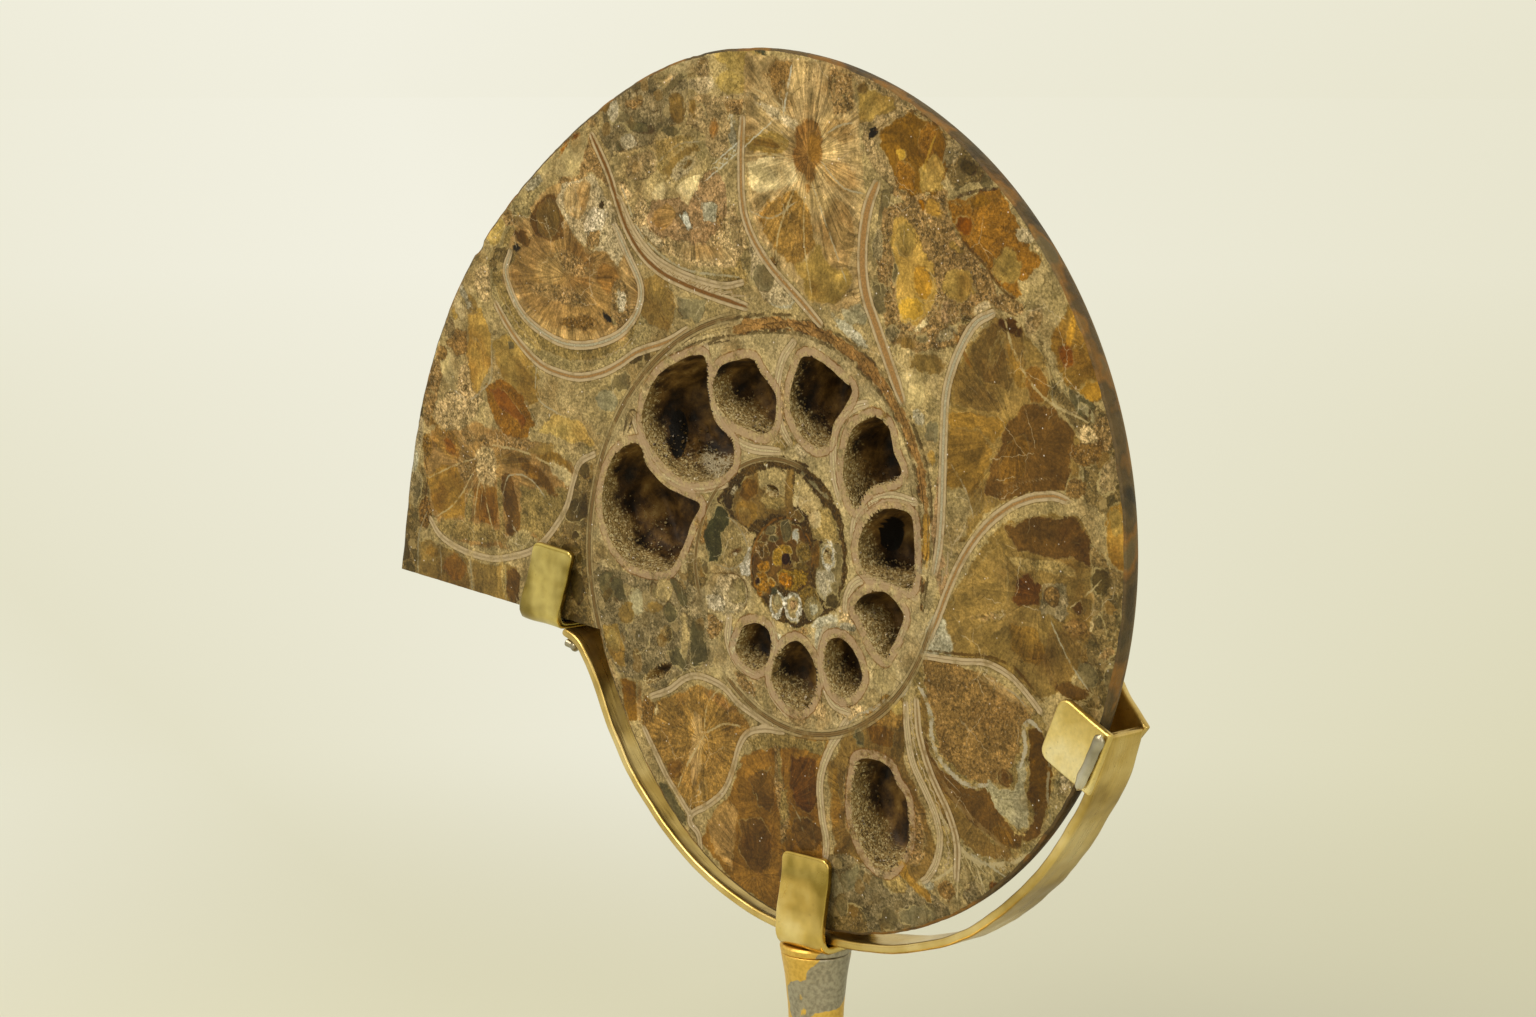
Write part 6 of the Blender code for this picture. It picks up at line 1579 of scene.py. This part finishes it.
def druse_piece(count, size):
    """Calcite crystals on the floors and left walls of the opened chambers: eight-faced double
    points, each on its own spot of the lining and leaning its own way."""
    rng = np.random.default_rng(7)
    centre, out = lining_spots(rng, count)
    place = centre + rng.normal(0, 0.28, (count, 3))
    axis = out + rng.normal(0, 0.75, (count, 3))
    axis /= np.linalg.norm(axis, axis=1)[:, None]
    side = np.cross(axis, rng.normal(0, 1, (count, 3)))
    side /= np.linalg.norm(side, axis=1)[:, None]
    axes = np.stack([side, np.cross(axis, side), axis], axis=1)
    scale = size * np.clip(rng.lognormal(0, 0.35, count), 0.5, 1.9) * (1 + 0.45 * noise(place, 6, 90))
    place = place - out * 0.1 * scale[:, None]
    shape, faces = crystal_shape()
    points = place[:, None, :] + scale[:, None, None] * np.einsum("vk,nkc->nvc", shape, axes)
    points[..., 1] = np.maximum(points[..., 1], 0.25)
    faces = (faces[None] + len(shape) * np.arange(count)[:, None, None]).reshape(-1, 3)
    piece = mesh_object("chamber_crystals", to_frame(points.reshape(-1, 3)), [faces], [calcite_crystal()], smooth=False)
    # each crystal's tone: random, and paler where its lining faces up, which is painted light
    light = ease(-0.6, 1.0, noise(place, 7, 91) + 0.5 * out[:, 2]) * rng.uniform(0.4, 1.0, count)
    add_values(piece, "light", np.repeat(light, len(shape)))
    return piece


# ---- the stand ----

def closed_tube(rings):
    """Points and faces of rings joined in a row, with a point at the middle of each end, turned so
    that the faces point outwards."""
    count, around, _ = rings.shape
    points = np.concatenate([rings.reshape(-1, 3), rings[:1].mean(axis=1), rings[-1:].mean(axis=1)])
    sides = grid_faces(count, around, closed=True)
    step = np.arange(around)
    beside = (step + 1) % around
    last = (count - 1) * around
    caps = np.concatenate([np.stack([beside, step, np.full(around, count * around)], axis=1),
                           np.stack([last + step, last + beside, np.full(around, count * around + 1)], axis=1)])
    first = points[sides[:, 0]] - points.mean(axis=0)
    volume = np.einsum("fk,fk->", first, np.cross(points[sides[:, 2]] - points[sides[:, 0]],
                                                  points[sides[:, 3]] - points[sides[:, 1]]))
    return (points, [sides, caps]) if volume > 0 else (points, [sides[:, ::-1], caps[:, ::-1]])


def strip_section():
    """A rectangle with rounded corners, from 1 to -1 both ways: each point's share of the half width
    and half thickness that lie before the corners' curves, and its place on its corner's curve."""
    turn = np.linspace(0, math.pi / 2, 5)
    arc = np.stack([np.cos(turn), np.sin(turn)], axis=1)
    flat = np.linspace(1, -1, 9)[1:-1]
    section, curl = [], []
    for number, (a, b) in enumerate(((1, 1), (-1, 1), (-1, -1), (1, -1))):
        section += [(a, b)] * len(arc)
        curl += [(a * c, b * s) for c, s in (arc if a * b > 0 else arc[::-1])]
        if number % 2 == 0:
            section += [(f * a, b) for f in flat]
            curl += [(0, b)] * len(flat)
    return np.array(section), np.array(curl)


def strip_rings(route, across, width, thickness, start=0.0, end=0.0, hammered=0.0, seed=0):
    """A flat strip: a rectangle with rounded corners carried along the middle line of its
    thickness. Its ends are rounded in plan by narrowing the rectangle as a circle would, and its
    broad faces wander a little as metal bent and hammered by hand does."""
    way = np.concatenate([[0], np.cumsum(np.linalg.norm(np.diff(route, axis=0), axis=1))])
    close = 1 - np.cos(np.linspace(0, math.pi / 2, 7)[:-1])
    reach = [max(radius, EDGE_ROUNDING) for radius in (start, end)]
    middle = np.linspace(reach[0], way[-1] - reach[1], max(24, int(way[-1] / 0.7)))
    stations = np.concatenate([close * reach[0], middle, way[-1] - (close * reach[1])[::-1]])
    route = np.stack([np.interp(stations, way, axis) for axis in route.T], axis=1)
    ahead = np.gradient(route, axis=0)
    ahead = ahead / np.linalg.norm(ahead, axis=1)[:, None]
    across = np.asarray(across, float) / np.linalg.norm(across)
    normal = np.cross(ahead, across)
    normal /= np.linalg.norm(normal, axis=1)[:, None]
    half = np.full(len(stations), width / 2)
    thinned = np.ones(len(stations))
    for gap, radius in ((stations, start), (way[-1] - stations, end)):
        if radius:
            round_end = radius - np.sqrt(np.maximum(radius ** 2 - (radius - gap) ** 2, 0))
            half -= np.where(gap < radius, round_end, 0)
        thinned = np.minimum(thinned, 0.55 + 0.45 * np.sqrt(np.clip(gap / EDGE_ROUNDING, 0, 1)))
    corner = min(0.34 * thickness, 0.5)
    section, curl = strip_section()
    out = section[None, :, 0] * (half[:, None] - corner) + corner * curl[None, :, 0]
    up = (section[None, :, 1] * (thickness / 2 - corner) + corner * curl[None, :, 1]) * thinned[:, None]
    middle = route[:, None] + out[..., None] * across
    bumps = hammered * (noise(middle, 5.5, seed) + 0.5 * noise(middle, 2.3, seed + 1))
    shown = ease(0, 4, np.minimum(stations, way[-1] - stations))
    rings = middle + up[..., None] * normal[:, None]
    return rings + (bumps - hammered * 0.4)[..., None] * normal[:, None] * shown[:, None, None]


def metal_piece(name, node, rings, materials, smooth_below=50.0):
    """A closed metal piece that stands for one node of the frame."""
    points, faces = closed_tube(rings)
    piece = mesh_object(name, to_frame(points), faces, materials, sharp=math.radians(smooth_below))
    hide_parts(node)
    return piece


def turned_rings(profile, segments):
    """Circles about the stand's axis, each of a profile's (radius, height) in millimetres from the
    floor, as points about the spiral's centre."""
    angle = np.arange(segments) * 2 * math.pi / segments
    profile = np.asarray(profile, float)
    rings = np.stack([np.outer(profile[:, 0], np.cos(angle)), np.outer(profile[:, 0], np.sin(angle)),
                      np.repeat(profile[:, 1:], segments, axis=1)], axis=2)
    return rings - SPIRAL_CENTRE


def rounded_profile(profile, radius, steps=4):
    """A profile with each corner cut by a quadratic curve that starts at most a radius from it."""
    profile = np.asarray(profile, float)
    made = [profile[:1]]
    for before, corner, after in zip(profile, profile[1:], profile[2:]):
        share = np.linspace(0, 1, steps + 1)[:, None]
        legs = [corner + (other - corner) * min(0.45, radius / max(np.hypot(*(other - corner)), 1e-6))
                for other in (before, after)]
        made.append(legs[0] * (1 - share) ** 2 + 2 * corner * share * (1 - share) + legs[1] * share ** 2)
    return np.concatenate([*made, profile[-1:]])


def lump_rings(start, end, radii, flat, seed, segments=20):
    """Solder run along a line: ovals carried from start to end, their radius from a list, eased
    to nothing at both ends, flattened along y, and pushed about by noise."""
    start, end = np.array(start, float), np.array(end, float)
    length = np.linalg.norm(end - start)
    share = 0.5 - 0.5 * np.cos(np.linspace(0.02, math.pi - 0.02, 28))
    radius = np.interp(share, np.linspace(0, 1, len(radii)), radii) * np.sqrt(1 - (2 * share - 1) ** 6)
    radius *= np.sqrt(np.clip(np.minimum(share, 1 - share) * length / max(radii), 0, 0.5) * 2)
    side = np.cross((end - start) / length, (0, 1, 0))
    angle = np.arange(segments)[:, None] * 2 * math.pi / segments
    oval = np.cos(angle) * side + flat * np.sin(angle) * np.array([0, 1, 0])
    middle = start + share[:, None, None] * (end - start)
    rings = middle + radius[:, None, None] * oval
    return middle + (rings - middle) * (1 + 0.14 * noise(rings, 1.3, seed))[..., None]


CLEARANCE = 0.3                # between pieces that touch
EDGE_ROUNDING = 0.35           # at the strips' sawn ends
BAND_FRONT = -1.0              # the band's front edge, from the sawn face
BAND_LOW_POINT = -64.2
BAND_ROUTE = ((-58.1, -19.0), (-54.8, -20.2), (-52.3, -22.6), (-49.6, -26.8), (-45.0, -35.3),
              (-38.5, -44.3), (-29.6, -52.4), (-19.4, -58.6), (-9.0, -62.4), (1.0, -63.9), (11.0, -64.2),
              (21.0, -63.5), (31.2, -61.4), (41.4, -57.4), (51.6, -50.3), (59.8, -42.1), (66.8, -32.1),
              (70.6, -24.8), (72.6, -18.4))
# The clips from the side: y, then the rise over their floor
LEFT_CLIP_PLACE, LEFT_CLIP_LEAN = -62.2, 0.19
LEFT_CLIP_SIDE = ((-1.1, 15.0), (-1.5, 9.0), (-1.9, 3.0), (-1.3, 0.9), (0.6, 0.0), (10.0, 0.0), (19.6, 0.0),
                  (21.4, 0.9), (22.0, 3.0), (21.4, 7.5), (20.9, 11.5))
MIDDLE_CLIP_PLACE = 6.0
MIDDLE_CLIP_SIDE = ((-1.1, 16.2), (-1.3, 12.0), (-2.1, 8.0), (-2.7, 4.0), (-2.6, 1.6), (-1.7, 0.2), (0.2, 0.0),
                    (4.0, 0.0), (7.6, 0.0), (9.1, 0.6), (9.5, 2.0), (9.6, 5.0), (9.8, 8.0), (11.0, 12.0), (11.4, 14.6))
CLIP_END = 1.6                 # radius of the clips' rounded ends
# The tabs: root, tip, and how far in y they bend over their length
FRONT_TAB = (72.3, 0, -23.1), (61.3, 0, -18.3), ((0, -2), (0.4, -1.7), (0.8, -1.2), (1, -1.1))
BACK_TAB = (70.4, 0, -21.8), (60.5, 0, -13.3), ((0, 0), (0.45, 0.8), (0.75, 2.2), (1, 3.2))
# The solder: where it starts and ends, its radius on the way, and how flat it is
LEFT_DROPS = (-58.4, 0.1, -21.0), (-55.4, 0.6, -22.0), (0.95, 0.85, 0.7, 0.95, 1.0), 1.0
RIGHT_SEAM = (68.6, -3.4, -27.6), (73.9, -3.9, -17.6), (1.0, 1.0, 1.0, 1.05, 1.15, 1.35), 0.6
SEAM_HEIGHT = 1.15             # from the stem's top to the top of the solder on it
# Radius and height from the solder's top, and from the stem's, with its last ones from the floor
SEAM_PROFILE = ((0.5, 0.25), (6.1, 0.35), (6.45, -0.1), (6.3, -1.1), (0.5, -1.1))
STEM_HEAD = ((0.4, 0), (6.3, 0), (6.0, -1.5), (5.5, -4.5), (4.95, -10), (4.7, -16))
STEM_BASE = ((4.7, 30), (4.7, 3.8), (4.2, 3.3), (0.4, 3.3))
# The foot: radius and height of its socket for the stem, and then in from its edge and height
FOOT_SOCKET = ((0.5, 3.0), (5.0, 3.0), (5.0, 11.0), (7.5, 11), (9.5, 10.5), (10.5, 9.4), (12, 8.6))
FOOT_EDGE = ((12, 7.2), (9, 7.0), (8.4, 6.1), (2.6, 5.7), (1, 5.1), (0.2, 4), (0, 2.8), (0.5, 0.4), (1.1, 0))


def solder_top(settings):
    """Height over the floor of the solder that joins the lower clip to the stem."""
    under_band = SPIRAL_CENTRE[2] + BAND_LOW_POINT - settings.band_thickness / MM / 2 - CLEARANCE
    return under_band - settings.clip_thickness / MM - CLEARANCE


# ---- the stage ----

CAMERA_AZIMUTH, CAMERA_ELEVATION = 45.39, 8.42   # degrees, to the face's right and up
CAMERA_AIM = np.array([-4.72, 0, 9.69])          # the point that it faces, from the spiral's centre


def backdrop_painted_light(add, settings, way, lower):
    """The glowing backdrop's painted light and shade along a way: lightest left of the middle, shaded
    deeper to the near right and a little to the far left, and deeper the lower it is."""
    right = add("VectorMath DOT_PRODUCT", add("VectorMath NORMALIZE", way), (0.55, 0.55, 0.0)).outputs["Value"]
    tone = add("Math ADD", add("Math ADD", right, 0.13), add("MapRange", right, -0.1, -0.3, 0.0, 0.45))
    tone = add("Math ADD", tone, lower, use_clamp=True)
    return add("Mix", tone, (*settings.backdrop, 1), (*settings.backdrop_shade, 1), data_type="RGBA")


def floor_and_backdrop(settings):
    """A pale floor that takes the shadow near the object, and farther off glows for the eye and for
    reflections with the backdrop's painted light and shade.
    """
    step = np.arange(96)
    angle = step * 2 * math.pi / 96
    radii = np.array([0.3, 0.7, 1.5, 3.5, settings.floor_radius])[:, None, None]
    rings = radii * np.stack([np.cos(angle), np.sin(angle), np.zeros(96)], axis=1)[None]
    points = np.concatenate([rings.reshape(-1, 3), [[0, 0, 0]]])
    fan = np.stack([np.full(96, len(points) - 1), step, (step + 1) % 96], axis=1)
    material, add, shader, _ = new_material("matt_paper", Roughness=0.9)
    floor = mesh_object("floor", points, [grid_faces(5, 96, closed=True)[:, ::-1], fan], [material])
    place = add("TexCoord").outputs["Object"]
    shader.inputs["Base Color"].default_value = (*settings.floor_tone, 1)
    seen = add("LightPath").outputs
    either = add("Math MAXIMUM", seen["Is Camera Ray"], seen["Is Glossy Ray"])
    away = add("VectorMath LENGTH", place).outputs["Value"]
    # the far floor's glow: painted light and shade, darker nearer the object
    colour = backdrop_painted_light(add, settings, place, add("MapRange", away, 0.4, 2.5, 0.17, 0.0))
    fade = add("MapRange", away, 0.15, 0.5, interpolation_type="SMOOTHSTEP")
    add("OutputMaterial", add("MixShader", add("Math MULTIPLY", either, fade), shader, add("Emission", colour, 1.0)))


def soft_world(settings):
    """The room's light: a plain pale sky for the stone; for the eye the backdrop's painted light and
    shade, darker lower down; and for metal a room with a darker, browner side that it mirrors."""
    world = bpy.data.worlds.new("soft_room")
    bpy.context.scene.world = world
    world.use_nodes = True
    world.node_tree.nodes.clear()
    add = functools.partial(node, world.node_tree)
    way = add("TexCoord").outputs["Generated"]
    seen = add("LightPath").outputs
    light = add("Background", (*settings.room_light, 1), settings.room_strength)
    height = add("SeparateXYZ", way).outputs["Z"]
    # the eye sees the backdrop's painted light and shade, darker lower down
    shown = add("Background", backdrop_painted_light(add, settings, way, add("Math MULTIPLY", height, -1.37)), 1.0)
    height = add("MapRange", height, -1.0, 1.0)
    room = add("ValToRGB", height, ramp=((0.35, "7A6E48"), (0.52, "C9BE92"), (0.68, "FFFAE6"), (0.95, "C9BD94")))
    glossy = add("MixShader", seen["Is Glossy Ray"], light, add("Background", room, 1.0))
    either = add("Math MAXIMUM", seen["Is Camera Ray"], seen["Is Transmission Ray"])
    add("OutputWorld", add("MixShader", either, glossy, shown))


def aimed(name, data, aim, azimuth, elevation, distance):
    """Puts a lamp or camera on a sphere round a point near the spiral's centre, and turns it to that
    point. The azimuth counts from straight before the sawn face to its right; both are in degrees."""
    piece = bpy.data.objects.new(name, data)
    azimuth, elevation = math.radians(azimuth), math.radians(elevation)
    towards = Vector((math.cos(elevation) * math.sin(azimuth), -math.cos(elevation) * math.cos(azimuth),
                      math.sin(elevation)))
    piece.location = Vector(((SPIRAL_CENTRE + aim) * MM).tolist()) + towards * distance
    piece.rotation_euler = (-towards).to_track_quat("-Z", "Y").to_euler()
    bpy.context.scene.collection.objects.link(piece)
    return piece


def lamp(name, power, colour, size, azimuth, elevation, distance):
    """A square soft light that faces the shell's middle."""
    data = bpy.data.lights.new(name, "AREA")
    data.shape, data.size, data.energy, data.color = "SQUARE", size, power, srgb(colour)[:3]
    aimed(name, data, np.zeros(3), azimuth, elevation, distance)


def camera(settings):
    """A long lens, level, turned to the shell's right side and a little above it."""
    data = bpy.data.cameras.new("camera")
    data.lens, data.sensor_width, data.clip_end = settings.lens, 36, 100
    bpy.context.scene.camera = aimed("camera", data, CAMERA_AIM, CAMERA_AZIMUTH, CAMERA_ELEVATION, settings.distance)


# ---- settings ----

def colour_setting(name, description, colour):
    """A colour that can be changed in the sidebar."""
    return FloatVectorProperty(name=name, description=description, default=srgb(colour)[:3], size=3,
                               subtype="COLOR", min=0, max=1)


def length_setting(name, description, metres):
    """A length that can be changed in the sidebar."""
    return FloatProperty(name=name, description=description, default=metres, min=0.0001, subtype="DISTANCE",
                         unit="LENGTH")


class AmmoniteShellSettings(bpy.types.PropertyGroup):
    cells: IntProperty(name="Face grid", description="Cells across the sawn face, in fours", default=268,
                       min=40, max=276)
    crystals: IntProperty(name="Crystals", description="Crystals grown in the opened chambers", default=3000,
                          min=1, max=20000)
    crystal_size: length_setting("Crystal size", "Usual length of a crystal", 0.00034)


class AmmoniteStandSettings(bpy.types.PropertyGroup):
    band_width: length_setting("Band width", "Front edge to back edge of the band", 0.0086)
    band_thickness: length_setting("Band thickness", "Thickness of the band's metal", 0.0016)
    clip_thickness: length_setting("Clip thickness", "Thickness of the clips' and tabs' metal", 0.0014)
    clip_width: length_setting("Clip width", "Width of the clips", 0.0114)
    foot_radius: length_setting("Foot radius", "Middle to edge of the round foot", 0.054)
    hammering: length_setting("Hammering", "Depth of the dents in the bent metal", 0.00016)


class AmmoniteStageSettings(bpy.types.PropertyGroup):
    floor_radius: length_setting("Floor radius", "Middle to edge of the floor", 9.0)
    backdrop: colour_setting("Backdrop", "Colour behind the object, high on the light side", "F3F1E2")
    floor_tone: colour_setting("Floor", "Colour of the floor's paper", "DBDDC8")
    backdrop_shade: colour_setting("Backdrop shade", "Colour behind the object, low on the dark side", "CEC89A")
    room_light: colour_setting("Room light", "Colour of the light from all round", "FFF8EA")
    room_strength: FloatProperty(name="Room strength", description="Strength of the light from all round",
                                 default=0.55, min=0)
    key_power: FloatProperty(name="Key power", description="Power of the main lamp", default=9.0, min=0, unit="POWER")
    fill_power: FloatProperty(name="Fill power", description="Power of the lamp beside the eye", default=4.0,
                              min=0, unit="POWER")
    distance: length_setting("Distance", "Camera to the point that it faces", 0.5776)
    lens: FloatProperty(name="Lens", description="Focal length", default=78.0, min=10, unit="CAMERA")


# ---- operators ----

BRASS_TONES = ("A3894A", "C9AE68", "DFC88A")


def clip_sizes(settings):
    """Thickness, width and depth of the dents of the clips and tabs, in millimetres."""
    return (value / MM for value in (settings.clip_thickness, settings.clip_width, settings.hammering))


class AMMONITE_OT_shell(bpy.types.Operator):
    """Build the sawn shell, with its chambers, walls and stones"""
    bl_idname = "ammonite.shell"
    bl_label = "Sawn shell"

    def execute(self, context):
        shell_piece(context.scene.ammonite_shell.cells // 4 * 4)
        return {"FINISHED"}


class AMMONITE_OT_crystals(bpy.types.Operator):
    """Grow the crystals in the opened chambers"""
    bl_idname = "ammonite.crystals"
    bl_label = "Chamber crystals"

    def execute(self, context):
        settings = context.scene.ammonite_shell
        if "ammonite" not in bpy.data.objects:
            raise RuntimeError("The crystals grow in the shell's chambers: build the shell first")
        druse_piece(settings.crystals, settings.crystal_size / MM)
        return {"FINISHED"}


class AMMONITE_OT_band(bpy.types.Operator):
    """Build the long band that the shell lies in"""
    bl_idname = "ammonite.band"
    bl_label = "Cradle band"

    def execute(self, context):
        settings = context.scene.ammonite_stand
        width = settings.band_width / MM
        plan = smooth_line(BAND_ROUTE, steps=12)
        route = np.column_stack([plan[:, 0], np.full(len(plan), BAND_FRONT + width / 2), plan[:, 1]])
        rings = strip_rings(route, (0, 1, 0), width, settings.band_thickness / MM,
                            hammered=settings.hammering / MM, seed=100)
        finish = worn_metal("hand_bent_brass", BRASS_TONES, 0.3, (0.12, 2.2, 0.12))
        metal_piece("band", "cradle_band", rings, [finish])
        return {"FINISHED"}


class AMMONITE_OT_clips(bpy.types.Operator):
    """Build the clip folded round the mouth and the one in the middle of the band"""
    bl_idname = "ammonite.clips"
    bl_label = "Clips"

    def execute(self, context):
        settings = context.scene.ammonite_stand
        thickness, width, hammered = clip_sizes(settings)
        side = smooth_line(LEFT_CLIP_SIDE, steps=10)
        floor = -MOUTH_OFFSET - CLEARANCE - thickness / 2
        route = np.column_stack([LEFT_CLIP_PLACE + LEFT_CLIP_LEAN * side[:, 1], side[:, 0], floor + side[:, 1]])
        cosine, sine = math.cos(MOUTH_SLOPE), math.sin(MOUTH_SLOPE)
        turned = np.array([[cosine, 0, sine], [0, 1, 0], [-sine, 0, cosine]])
        rings = strip_rings(route, (1, 0, 0), width - 0.4, thickness, CLIP_END, CLIP_END, hammered * 1.3, 110)
        finish = worn_metal("brushed_brass", ("5E5224", "958140", "CDB96C"), 0.2, (0.5, 0.08, 0.25))
        metal_piece("mouth_clip", "left_clip", rings @ turned.T, [finish])
        side = smooth_line(MIDDLE_CLIP_SIDE, steps=10)
        floor = BAND_LOW_POINT - settings.band_thickness / MM / 2 - CLEARANCE - thickness / 2
        route = np.column_stack([np.full(len(side), MIDDLE_CLIP_PLACE), side[:, 0], floor + side[:, 1]])
        rings = strip_rings(route, (1, 0, 0), width, thickness, CLIP_END, CLIP_END, hammered * 1.3, 120)
        finish = worn_metal("matt_gilt_brass", ("9A843F", "D6B968", "EED895"), 0.24, (0.25, 0.2, 0.12))
        metal_piece("lower_clip", "middle_clip", rings, [finish])
        return {"FINISHED"}


class AMMONITE_OT_tabs(bpy.types.Operator):
    """Build the two tabs at the band's right end"""
    bl_idname = "ammonite.tabs"
    bl_label = "Right tabs"

    def execute(self, context):
        settings = context.scene.ammonite_stand
        thickness, width, hammered = clip_sizes(settings)
        behind = BAND_FRONT + settings.band_width / MM + CLEARANCE + thickness / 2
        for name, stands_for, (root, tip, bends), behind, width, end, tones, slot in (
                ("front_tab", "right_front_prong", FRONT_TAB, 0, width, 2.0, ("CDB264", "E6CE85", "F2E2AC"), "gilt"),
                ("back_tab", "right_back_prong", BACK_TAB, behind, width - 2.4, 1.6, BRASS_TONES, "band_brass")):
            share, bend = smooth_line([(share, behind + bend) for share, bend in bends], steps=8).T
            root, tip = np.array(root, float), np.array(tip, float)
            route = root + share[:, None] * (tip - root) + bend[:, None] * np.array([0, 1, 0])
            across = np.cross((tip - root) / np.linalg.norm(tip - root), (0, 1, 0))
            rings = strip_rings(route, across, width, thickness, 0, end, hammered, 130)
            finish = worn_metal(name + "_brass", tones, 0.34, (1.5, 1.5, 1.5))
            metal_piece(name, stands_for, rings, [finish])
        return {"FINISHED"}


class AMMONITE_OT_solder(bpy.types.Operator):
    """Build the drops and seams of solder"""
    bl_idname = "ammonite.solder"
    bl_label = "Solder"

    def execute(self, context):
        finish = worn_metal("soft_solder", ("8D8672", "B3AC98", "CFC9B6"), 0.35, (1, 1, 1), 0.2)
        metal_piece("left_drops", "left_solder", lump_rings(*LEFT_DROPS, 140), [finish], 80)
        metal_piece("right_seam", "right_solder", lump_rings(*RIGHT_SEAM, 141), [finish], 80)
        top = solder_top(context.scene.ammonite_stand)
        profile = rounded_profile([(radius, top + height) for radius, height in SEAM_PROFILE], 0.15)
        metal_piece("stem_seam", "stem_solder", turned_rings(profile, 48), [gilded_lead(top)], 60)
        return {"FINISHED"}


class AMMONITE_OT_stem_and_foot(bpy.types.Operator):
    """Build the round stem and the disc it stands in"""
    bl_idname = "ammonite.stem_and_foot"
    bl_label = "Stem and foot"

    def execute(self, context):
        settings = context.scene.ammonite_stand
        top = solder_top(settings) - SEAM_HEIGHT
        profile = rounded_profile([*((radius, top + height) for radius, height in STEM_HEAD), *STEM_BASE], 0.6, 5)
        profile = np.concatenate([*(np.linspace(a, b, 6, endpoint=False) for a, b in zip(profile, profile[1:])),
                                  profile[-1:]])
        metal_piece("stem", "stem", turned_rings(profile, 64), [gilded_lead(top)])
        edge = settings.foot_radius / MM
        profile = rounded_profile([*FOOT_SOCKET, *((edge - inwards, height) for inwards, height in FOOT_EDGE),
                                   (0.5, 0)], 0.5)
        finish = worn_metal("turned_brass", ("A98B45", "BFA257", "CDB26B"), 0.28, (0.5, 0.5, 4.0), 0.15)
        metal_piece("foot", "foot", turned_rings(profile, 128), [finish])
        return {"FINISHED"}


class AMMONITE_OT_stage(bpy.types.Operator):
    """Set up the floor, the soft light and the camera"""
    bl_idname = "ammonite.stage"
    bl_label = "Stage"

    def execute(self, context):
        settings = context.scene.ammonite_stage
        floor_and_backdrop(settings)
        soft_world(settings)
        lamp("key", settings.key_power, "FFF6E6", size=0.7, azimuth=-10, elevation=48, distance=1.1)
        lamp("fill", settings.fill_power, "FFF8EC", size=0.9, azimuth=75, elevation=20, distance=1.2)
        camera(settings)
        context.scene.view_settings.view_transform = "Standard"
        return {"FINISHED"}


OPERATORS = (AMMONITE_OT_shell, AMMONITE_OT_crystals, AMMONITE_OT_band, AMMONITE_OT_clips, AMMONITE_OT_tabs,
             AMMONITE_OT_solder, AMMONITE_OT_stem_and_foot, AMMONITE_OT_stage)
GROUPS = (("ammonite_shell", AmmoniteShellSettings), ("ammonite_stand", AmmoniteStandSettings),
          ("ammonite_stage", AmmoniteStageSettings))


class AMMONITE_PT_sidebar(bpy.types.Panel):
    """Every setting, and a button for each piece and the stage"""
    bl_label = "Ammonite"
    bl_space_type = "VIEW_3D"
    bl_region_type = "UI"
    bl_category = "Ammonite"

    def draw(self, context):
        for group, settings in GROUPS:
            box = self.layout.box()
            for name in settings.__annotations__:
                box.prop(getattr(context.scene, group), name)
        for operator in OPERATORS:
            self.layout.operator(operator.bl_idname)


def register():
    for _, group in GROUPS:
        bpy.utils.register_class(group)
    for name, group in GROUPS:
        setattr(bpy.types.Scene, name, PointerProperty(type=group))
    for kind in (*OPERATORS, AMMONITE_PT_sidebar):
        bpy.utils.register_class(kind)


def unregister():
    for kind in (AMMONITE_PT_sidebar, *reversed(OPERATORS)):
        bpy.utils.unregister_class(kind)
    for name, group in reversed(GROUPS):
        delattr(bpy.types.Scene, name)
        bpy.utils.unregister_class(group)


def main():
    """Builds every piece and the stage."""
    register()
    for operator in OPERATORS:
        getattr(bpy.ops.ammonite, operator.bl_idname.partition(".")[2])()


if __name__ == "__main__":
    main()
